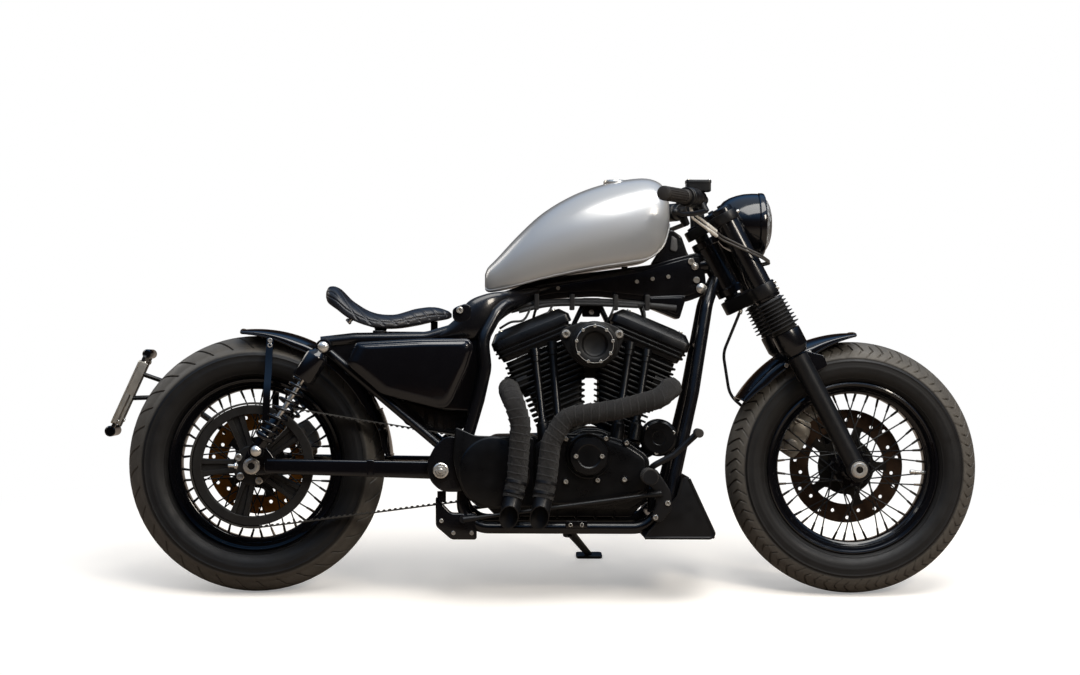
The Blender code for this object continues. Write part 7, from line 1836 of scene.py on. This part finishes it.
# Grip rubber: matt dark grey, with a fine moulded grain.
grip_rubber = surface("grip_rubber", "262423", "35322F", (0.46, 0.62), cloud_mm=16,
    grain_mm=0.8, grain_um=30, ior=1.45)
for side, name in ((-1, "right"), (1, "left")):
    outer, along = bar_end(side)
    inner = outer - along * 0.13
    place = aimed(outer, outer - along)
    grip = bmesh.new()
    rings = []
    for reach, size, cut in ((0.0004, 0.014, 0), (0.002, 0.0172, 0), (0.009, 0.0178, 0),
            (0.0105, 0.0166, 0), (0.013, 0.0176, 0.0017), (0.108, 0.0176, 0.0017), (0.1105, 0.0166, 0),
            (0.112, 0.0182, 0), (0.124, 0.0182, 0), (0.125, 0.016, 0)):
        rings.append([place @ Vector(((size - cut * (k % 6 < 2)) * math.cos(2 * math.pi * k / 108),
                                      (size - cut * (k % 6 < 2)) * math.sin(2 * math.pi * k / 108), reach))
                      for k in range(108)])
    skin(grip, rings)
    keep(grip, "grip_" + name, grip_rubber, "steering", "hand_controls_" + name, sharp=40)
    body = bmesh.new()
    turned(body, [(0, 0.1252), (0.0225, 0.1252), (0.0235, 0.1262), (0.0235, 0.1335), (0.0225, 0.1345),
        (0.02, 0.135), (0.0232, 0.138), (0.024, 0.14), (0.024, 0.157), (0.0233, 0.1585), (0.024, 0.16),
        (0.024, 0.178), (0.023, 0.18), (0.019, 0.182), (0.0203, 0.184), (0.021, 0.185), (0.021, 0.203),
        (0.02, 0.204), (0, 0.204)], 44, place)
    back = Vector((-along.y * side, along.x * side, 0))
    if back.x < 0:
        back = -back
    drop = (back * 0.55 - Vector((0, 0, 0.84))).normalized()
    clamp = inner - along * 0.064
    pivot = clamp + drop * 0.036
    path = bent([pivot - along * 0.006, inner + along * 0.012 + drop * 0.05,
        outer - along * 0.034 + drop * 0.06, outer - along * 0.006 + drop * 0.055], 0.05, 4.0)
    tube(body, path, [0.0062 - 0.0012 * (i / len(path)) for i in range(len(path))], 18)
    tube(body, [clamp + drop * 0.017, pivot + drop * 0.004], [0.012, 0.01], 24)
    bmesh.ops.create_uvsphere(body, u_segments=24, v_segments=16, radius=0.0092,
                              matrix=Matrix.Translation(outer - along * 0.003 + drop * 0.0545))
    for k in range(3):
        spot = outer - along * (0.146 + 0.013 * k)
        turned(body, [(0, 0.02), (0.0045, 0.02), (0.0045, 0.0262), (0.0035, 0.027), (0, 0.027)], 20,
               aimed(spot, spot - back))
    if side < 0:
        layered(body, rounded(mm([(-30, -22), (32, -22), (32, 22), (-30, 22)]), 0.007, 5),
            ((0.004, 0.017), (0.001, 0.018), (0.001, 0.037), (0, 0.0375), (0, 0.043), (0.0008, 0.0444),
            (0.003, 0.045)), lambda u, v, up: clamp + Vector((u, v, up)))
    else:
        turned(body, mm([(0, 17), (10, 17), (11, 19), (11, 28), (9, 30), (0, 30)]), 28,
            Matrix.Translation(clamp))
    keep(body, "controls_" + name, satin_black, "steering", sharp=34)
outer, along = bar_end(-1)
screws("reservoir_screws", "steering", 0.0034, 0.0016,
       [Matrix.Translation(outer - along * 0.194 + Vector((x, y, 0.0446)))
        for y in (-0.016, 0.016) for x in (-0.024, 0.026)])


# Cables
# Twin throttle cables in plastic sheaths loop ahead of the fork from bright ferrules, and a rubber
# hose drops behind the leg to the front caliper. All three end on the machine.
THIN = 0.0027
HOSE = 0.004
start = outer - along * 0.158 + Vector((0, 0, -0.0244))
loop = bent([start, start + Vector((0, 0, -0.016))] + [HEAD + Vector((ahead, y, up)) for ahead, y, up in (
    (-0.007, -0.172, 0.0645), (0.095, -0.14, 0.0215), (0.125, -0.08, 0.0095), (0.108, -0.03, 0.0055),
    (0.069, -0.02, 0.0095))], 0.035, 5.0)
hose = bent([on_fork(-0.058, 0.086, 0.475), on_fork(-0.0524, 0.088, 0.481), on_fork(-0.1429, 0.094, 0.4044),
             on_fork(-0.1786, 0.098, 0.2988), on_fork(-0.1361, 0.096, 0.1913), on_fork(-0.101, 0.1, 0.1466),
             on_fork(-0.101, 0.0783, 0.1466)], 0.07, 5.0)
# Plastic sheath: grey with a soft shine. The ferrules are bright nickel.
sheath = surface("grey_cable_sheath", "3A3836", "524F4B", (0.28, 0.42), cloud_mm=20,
    grain_um=8)
bright_tube = surface("bright_ferrule_plate", "E6E2DA", "F2EFE8", (0.22, 0.32), metallic=0.3,
    grain_um=1.5)


def strand(side):
    """One of the two throttle cables: apart at the control, side by side at the far end."""
    even = evenly(loop, 0.004)
    return [p + Vector((0.0, side * 0.0029, side * 0.0024)) * (1 + 2.8 * (1 - k / len(even)) ** 2)
            for k, p in enumerate(even)]


for name, path, radius, finish, nodes in (
        ("throttle_cable_lower", strand(-1), THIN, sheath, ["throttle_cables"]),
        ("throttle_cable_upper", strand(1), THIN, sheath, []),
        ("front_brake_line", hose, HOSE, gaiter_rubber, ["brake_hose"])):
    work = bmesh.new()
    tube(work, path, radius, 18)
    made = keep(work, name, finish, "steering", *nodes)
work = bmesh.new()
for side in (-1, 1):
    line = strand(side)
    run = [sum((b - a).length for a, b in zip(line[:k], line[1:k + 1])) for k in range(len(line))]
    tube(work, [p for p, at in zip(line, run) if at < 0.085], 0.0036, 20)
    tube(work, [p for p, at in zip(line, run) if 0.083 < at < 0.125], 0.0048, 20)
keep(work, "throttle_ferrules", bright_tube, "steering")
work = bmesh.new()
for path, radius in ((strand(-1)[::-1], THIN), (strand(1)[::-1], THIN), (hose, HOSE), (hose[::-1], HOSE)):
    way = (path[1] - path[0]).normalized()
    turned(work, [(radius * 0.9, 0.0), (radius * 1.45, 0.0006), (radius * 1.5, 0.01), (radius * 1.15, 0.0115),
                  (radius * 1.15, 0.02), (radius * 0.95, 0.021)], 24, aimed(path[0], path[0] + way))
keep(work, "cable_ferrules", plated, "steering")


# Calipers
# Cast two-piston calipers in grey, the front one behind the left leg and the rear one over the arm.
CALIPER_TILT = 29.0
FRONT_CALIPER = (1.376, 0.394)
REAR_CALIPER = (0.112, 0.385)
# Bare cast alloy gone grey: dull and a little rough.
caliper_grey = surface("cast_alloy_grey", "8A857C", "A29C92", (0.38, 0.52), metallic=0.6,
    cloud_mm=25, grain_mm=0.9, grain_um=40)
for name, (x, z), tilt, low, high, outline, body, node in (
        ("front_caliper_cast", FRONT_CALIPER, CALIPER_TILT, 0.0424, 0.078,
         [(-0.026, -0.048), (0.022, -0.052), (0.03, -0.02), (0.03, 0.022), (0.02, 0.052), (-0.026, 0.048),
          (-0.034, 0)], "steering", "front_caliper"),
        ("rear_caliper_cast", REAR_CALIPER, -CALIPER_TILT, 0.0424, 0.1148,
         [(-0.024, -0.04), (0.028, -0.04), (0.036, 0), (0.028, 0.04), (-0.024, 0.04)],
         "chassis", "rear_caliper")):
    place = Matrix.Translation((x, 0, z)) @ Matrix.Rotation(math.radians(tilt), 4, "Y")
    work = bmesh.new()
    front = body == "steering"
    slab(work, outline, low, 0.0555, 0.004, 0.01)
    slab(work, outline, 0.0685, high, 0.006, 0.01)
    if front:
        slab(work, mm([(-30, -44), (-13, -47), (-13, 47), (-30, 44)]), 0.05, 0.074, 0.003, 0.006)
    else:
        slab(work, mm([(13, -38), (31, -36), (31, 36), (13, 38)]), 0.05, 0.074, 0.003, 0.006)
    for v in (-0.024, 0.022):
        turned(work, mm([(0, 0), (16.5, 0), (17.5, 2), (17, 6), (12, 7.5), (0, 7.5)]), 36,
            right_at(0, low + 0.0004, v))
        turned(work, mm([(0, -1), (15, -1), (14, 3), (0, 3)]), 36, across_at(0, high - 0.001, v))
    for vert in work.verts:
        vert.co = place @ vert.co
    if front:
        upper, lower = on_fork(0.004, 0, 0.2), on_fork(0.004, 0, 0.12)
        slab(work, [(x - 0.01, z + 0.04), (x + 0.01, z - 0.03), (lower.x, lower.z), (upper.x, upper.z)],
            0.0705, 0.083, 0.002, 0.008)
    else:
        slab(work, mm([(94, 342.2), (142, 341.4), (142, 380), (94, 380)]), 0.101, 0.1315, 0.002, 0.006)
    keep(work, name, caliper_grey, body, node, sharp=32)
place = Matrix.Translation((FRONT_CALIPER[0], 0, FRONT_CALIPER[1])) @ Matrix.Rotation(
    math.radians(CALIPER_TILT), 4, "Y")
screws("caliper_screws", "steering", 0.0058, 0.006,
    [place @ right_at(-0.018, 0.0424, v) for v in (-0.038, 0.037)])


# Foot controls
# Forward pegs with turned, ringed rubbers, bent pedals and long rods back along the lower rails.
PEG = (0.979, 0.306)
BRACKET_Y = 0.1438
ROD_Y = 0.181
ROD_FRONT = (1.012, 0.262)
ROD_REAR = (0.524, 0.196)
BRACKET_BOLTS = ((1.028, 0.238), (0.998, 0.203))
for side, name in ((-1, "right"), (1, "left")):
    work = bmesh.new()
    y = BRACKET_Y
    low, high = sorted((side * (y + 0.022), side * (y + 0.034)))
    slab(work, mm([(985, 196), (1012, 190), (1040, 222), (1036, 268), (1000, 322), (966, 326), (960, 300),
        (996, 270), (1000, 238)]), low, high, 0.003, 0.009)
    for x, z in BRACKET_BOLTS:
        tube(work, [(x, side * y, z), (x, side * (y + 0.026), z)], 0.01, 20)
    tube(work, bent(mirrored([(0.985, y + 0.028, 0.316), (0.988, 0.2, 0.33), (1.04, 0.206, 0.358),
                              (1.1, 0.208, 0.414)], -side), 0.02, 5.0), 0.008, 20)
    tube(work, mirrored([(ROD_FRONT[0], 0.185, ROD_FRONT[1]), (ROD_FRONT[0], y + 0.03, ROD_FRONT[1])],
        -side), 0.007, 18)
    tube(work, mirrored([(ROD_REAR[0], 0.185, ROD_REAR[1]), (ROD_REAR[0], y, ROD_REAR[1])], -side), 0.009, 18)
    turned(work, mm([(0, -4), (13, -4), (13, 30), (0, 30)]), 28, outwards(side, PEG[0], y + 0.03, PEG[1]))
    keep(work, "foot_control_" + name, satin_black, "chassis", "foot_controls_" + name, sharp=34)
    work = bmesh.new()
    rings = [(0, 0), (0.017, 0), (0.019, 0.002)]
    at = 0.006
    while at < 0.074:
        rings += [(0.0198, at), (0.02, at + 0.004), (0.0178, at + 0.0048), (0.0178, at + 0.0066)]
        at += 0.0078
    rings += [(0.0198, 0.0805), (0.0194, 0.0835), (0, 0.0835)]
    turned(work, rings, 40, outwards(side, PEG[0], 0.1775, PEG[1]))
    pad = [(0, -0.028), (0.0095, -0.028), (0.011, -0.026)]
    at = -0.022
    while at < 0.02:
        pad += [(0.011, at), (0.011, at + 0.003), (0.0098, at + 0.0036), (0.0098, at + 0.0054)]
        at += 0.0066
    pad += [(0.011, 0.0235), (0.0095, 0.028), (0, 0.028)]
    turned(work, pad, 28, across_at(1.098, side * 0.224, 0.413))
    keep(work, "peg_rubbers_" + name, grip_rubber, "chassis", sharp=40)
    work = bmesh.new()
    for a, b, size, around in ((ROD_FRONT, ROD_REAR, 0.0048, 18),
            (ROD_FRONT, (0.98, 0.2577), [0.0078, 0.007], 20), (ROD_REAR, (0.556, 0.2003), [0.0078, 0.007],
            20)):
        tube(work, mirrored([(a[0], ROD_Y, a[1]), (b[0], ROD_Y, b[1])], -side), size, around)
    turned(work, mm([(0, 0), (15, 0), (17, 1.5), (17.2, 3), (0, 3)]), 36,
        outwards(side, PEG[0], 0.2608, PEG[1]))
    keep(work, "brake_rod_" + name, satin_black, "chassis")
    screws("peg_bracket_bolts_" + name, "chassis", 0.0066, 0.006,
           [(right_at if side < 0 else across_at)(x, side * 0.1776, z) for x, z in BRACKET_BOLTS])
    work = bmesh.new()
    turned(work, mm([(0, 0), (16.6, 0), (17, 0.8), (15.8, 2.2), (0, 2.6)]), 40,
        outwards(side, PEG[0], 0.2612, PEG[1]))
    keep(work, "peg_cap_" + name, caliper_grey, "chassis")


# Side stand
# A tapered leg from an eye on its tilted pin to a flat foot plate, which lies on the ground at FOOT.
FOOT = (0.146642, 0.17191)
work = bmesh.new()
turned(work, mm([(6.2, -10.8), (17, -10.8), (18, -9.5), (18, 9.5), (17, 10.8), (6.2, 10.8)]), 36,
    aimed(STAND_PIVOT, STAND_PIVOT + STAND_AXIS))
foot_middle = to_upright @ Vector((*FOOT, 0.006))
tube(work, [STAND_PIVOT, STAND_PIVOT.lerp(foot_middle, 0.12), STAND_PIVOT.lerp(foot_middle, 0.96),
    foot_middle], [0.01, 0.011, 0.0088, 0.0088], 24)
layered(work, rounded(mm([(-35, -23), (35, -23), (35, 23), (-35, 23)]), 0.01, 5),
    ((0.0015, 0.0), (0, 0.0012), (0, 0.0068), (0.0015, 0.008)), lambda u, v,
    up: to_upright @ Vector((FOOT[0] + u, FOOT[1] + v, up)))
keep(work, "stand_leg", satin_black, "side_stand", "side_stand", sharp=34)


# Number plate holder
# A bent arm from the axle's left end to a blank alloy plate behind the tyre, with a small lamp above
# and below it and a folded flange along its right edge.
work = bmesh.new()
tube(work, bent(mm([(0, 160, 323), (-60, 164, 370), (-230, 166, 490), (-262, 160, 530)]), 0.05, 5.0), 0.008,
    20)
turned(work, mm([(0, 0), (19, 0), (20, 1), (20, 14.5), (18.5, 16), (0, 16)]), 36,
    across_at(0, 0.1498, 0.323))
tube(work, mm([(-258, 162, 526), (-318, 140, 548)]), 0.006, 16)
tube(work, mm([(-226, 173, 488), (-344, 140, 484)]), 0.006, 16)
tilt = Matrix.Translation((-0.342, 0.13, 0.502)) @ Matrix.Rotation(math.radians(24), 4, "Y")


def tilted_box(work, low, high, soft=0.002):
    """A box with rounded corners in the plate's own tilted axes."""
    ring = rounded([(low[1], low[2]), (high[1], low[2]), (high[1], high[2]), (low[1], high[2])], soft * 4, 5)
    layered(work, ring, ((soft * 0.5, low[0]), (0, low[0] + soft * 0.25), (0, high[0] - soft * 0.25),
                         (soft * 0.5, high[0])), lambda u, v, x: tilt @ Vector((x, u, v)))


tilted_box(work, (-0.001, -0.06, -0.1), (0.007, -0.03, 0.104))
tilted_box(work, (-0.001, 0.03, -0.1), (0.007, 0.06, 0.104))
for z in (-0.08, -0.03, 0.03, 0.085):
    tilted_box(work, (-0.001, -0.06, z - 0.01), (0.006, 0.06, z + 0.01))
keep(work, "plate_carrier", satin_black, "chassis", "plate_holder", sharp=34)
# Bare sheet alloy: pale, warm and brushed dull.
bare_alloy = surface("bare_alloy_plate", "B9B2A4", "CDC7BA", (0.38, 0.5), metallic=0.85,
    cloud_mm=40, grain_um=1.5)
work = bmesh.new()
tilted_box(work, (-0.002, -0.09, -0.088), (0.002, 0.09, 0.088), 0.0015)
keep(work, "blank_plate", bare_alloy, "chassis")
work = bmesh.new()
tilted_box(work, (0.003, -0.0915, -0.084), (0.012, -0.089, 0.0), 0.001)
tilted_box(work, (0.017, -0.0915, -0.084), (0.023, -0.089, 0.0), 0.001)
tilted_box(work, (0.003, -0.0915, -0.002), (0.023, -0.089, 0.088), 0.001)
keep(work, "plate_side_flange", bare_alloy, "chassis")
work = bmesh.new()
for x, z, radius in ((0.0, -0.112, 0.014), (0.004, 0.108, 0.012)):
    turned(work, [(0, -0.05), (radius * 0.8, -0.05), (radius, -0.046), (radius, 0.046),
        (radius * 0.8, 0.05), (0, 0.05)], 28, tilt @ across_at(x, 0, z))
keep(work, "plate_lamps", gloss_paint, "chassis", sharp=34)
screws("plate_screws", "chassis", 0.0048, 0.004,
       [tilt @ Matrix.Translation((0.0068, y, z)) @ Matrix.Rotation(math.pi / 2, 4, "Y")
        for y in (-0.045, 0.045) for z in (-0.08, 0.085)])


# Horn
# The round horn and its black cover ahead of the right gearcase, held by three screws.
HORN = (1.01, 0.397)
horn_screws = [(HORN[0] + 0.038 * math.cos(math.radians(a)), HORN[1] + 0.038 * math.sin(math.radians(a)))
               for a in (20, 140, 260)]
work = bmesh.new()
turned(work, mm([(0, 81), (30, 81), (46.5, 89), (46.5, 119), (45.8, 122.5), (42, 127), (38.5, 129),
    (37.5, 131), (18, 131), (16.5, 130), (0, 130)]), 64, right_at(HORN[0], 0, HORN[1]))
for x, z in horn_screws:
    turned(work, mm([(0, 100), (7.2, 100), (6.8, 127.2), (0, 128)]), 22, right_at(x, 0, z))
tube(work, [(HORN[0] - 0.004, -0.091, HORN[1] - 0.004), (0.96, -0.05, 0.345)], 0.012, 22)
keep(work, "horn_cover", case_black, "chassis", sharp=32)
screws("horn_screws", "chassis", 0.0048, 0.0036, [right_at(x, -0.1272, z) for x, z in horn_screws])


# Finishes of the CAD pieces that stay
# Each solid that is shown just as it was built gets its real finish.
FINISHES = {"frame_black": frame_paint, "gloss_black": gloss_paint, "bare_steel": plated}
for node_name, node in frame["nodes"].items():
    slot = next(part["material_slot"] for part in frame["record"]["subparts"] if part["node"] == node_name)
    if node.hide_render:
        continue
    finish = FINISHES.get(slot, frame_paint)
    node.data.materials.clear()
    node.data.materials.append(finish)
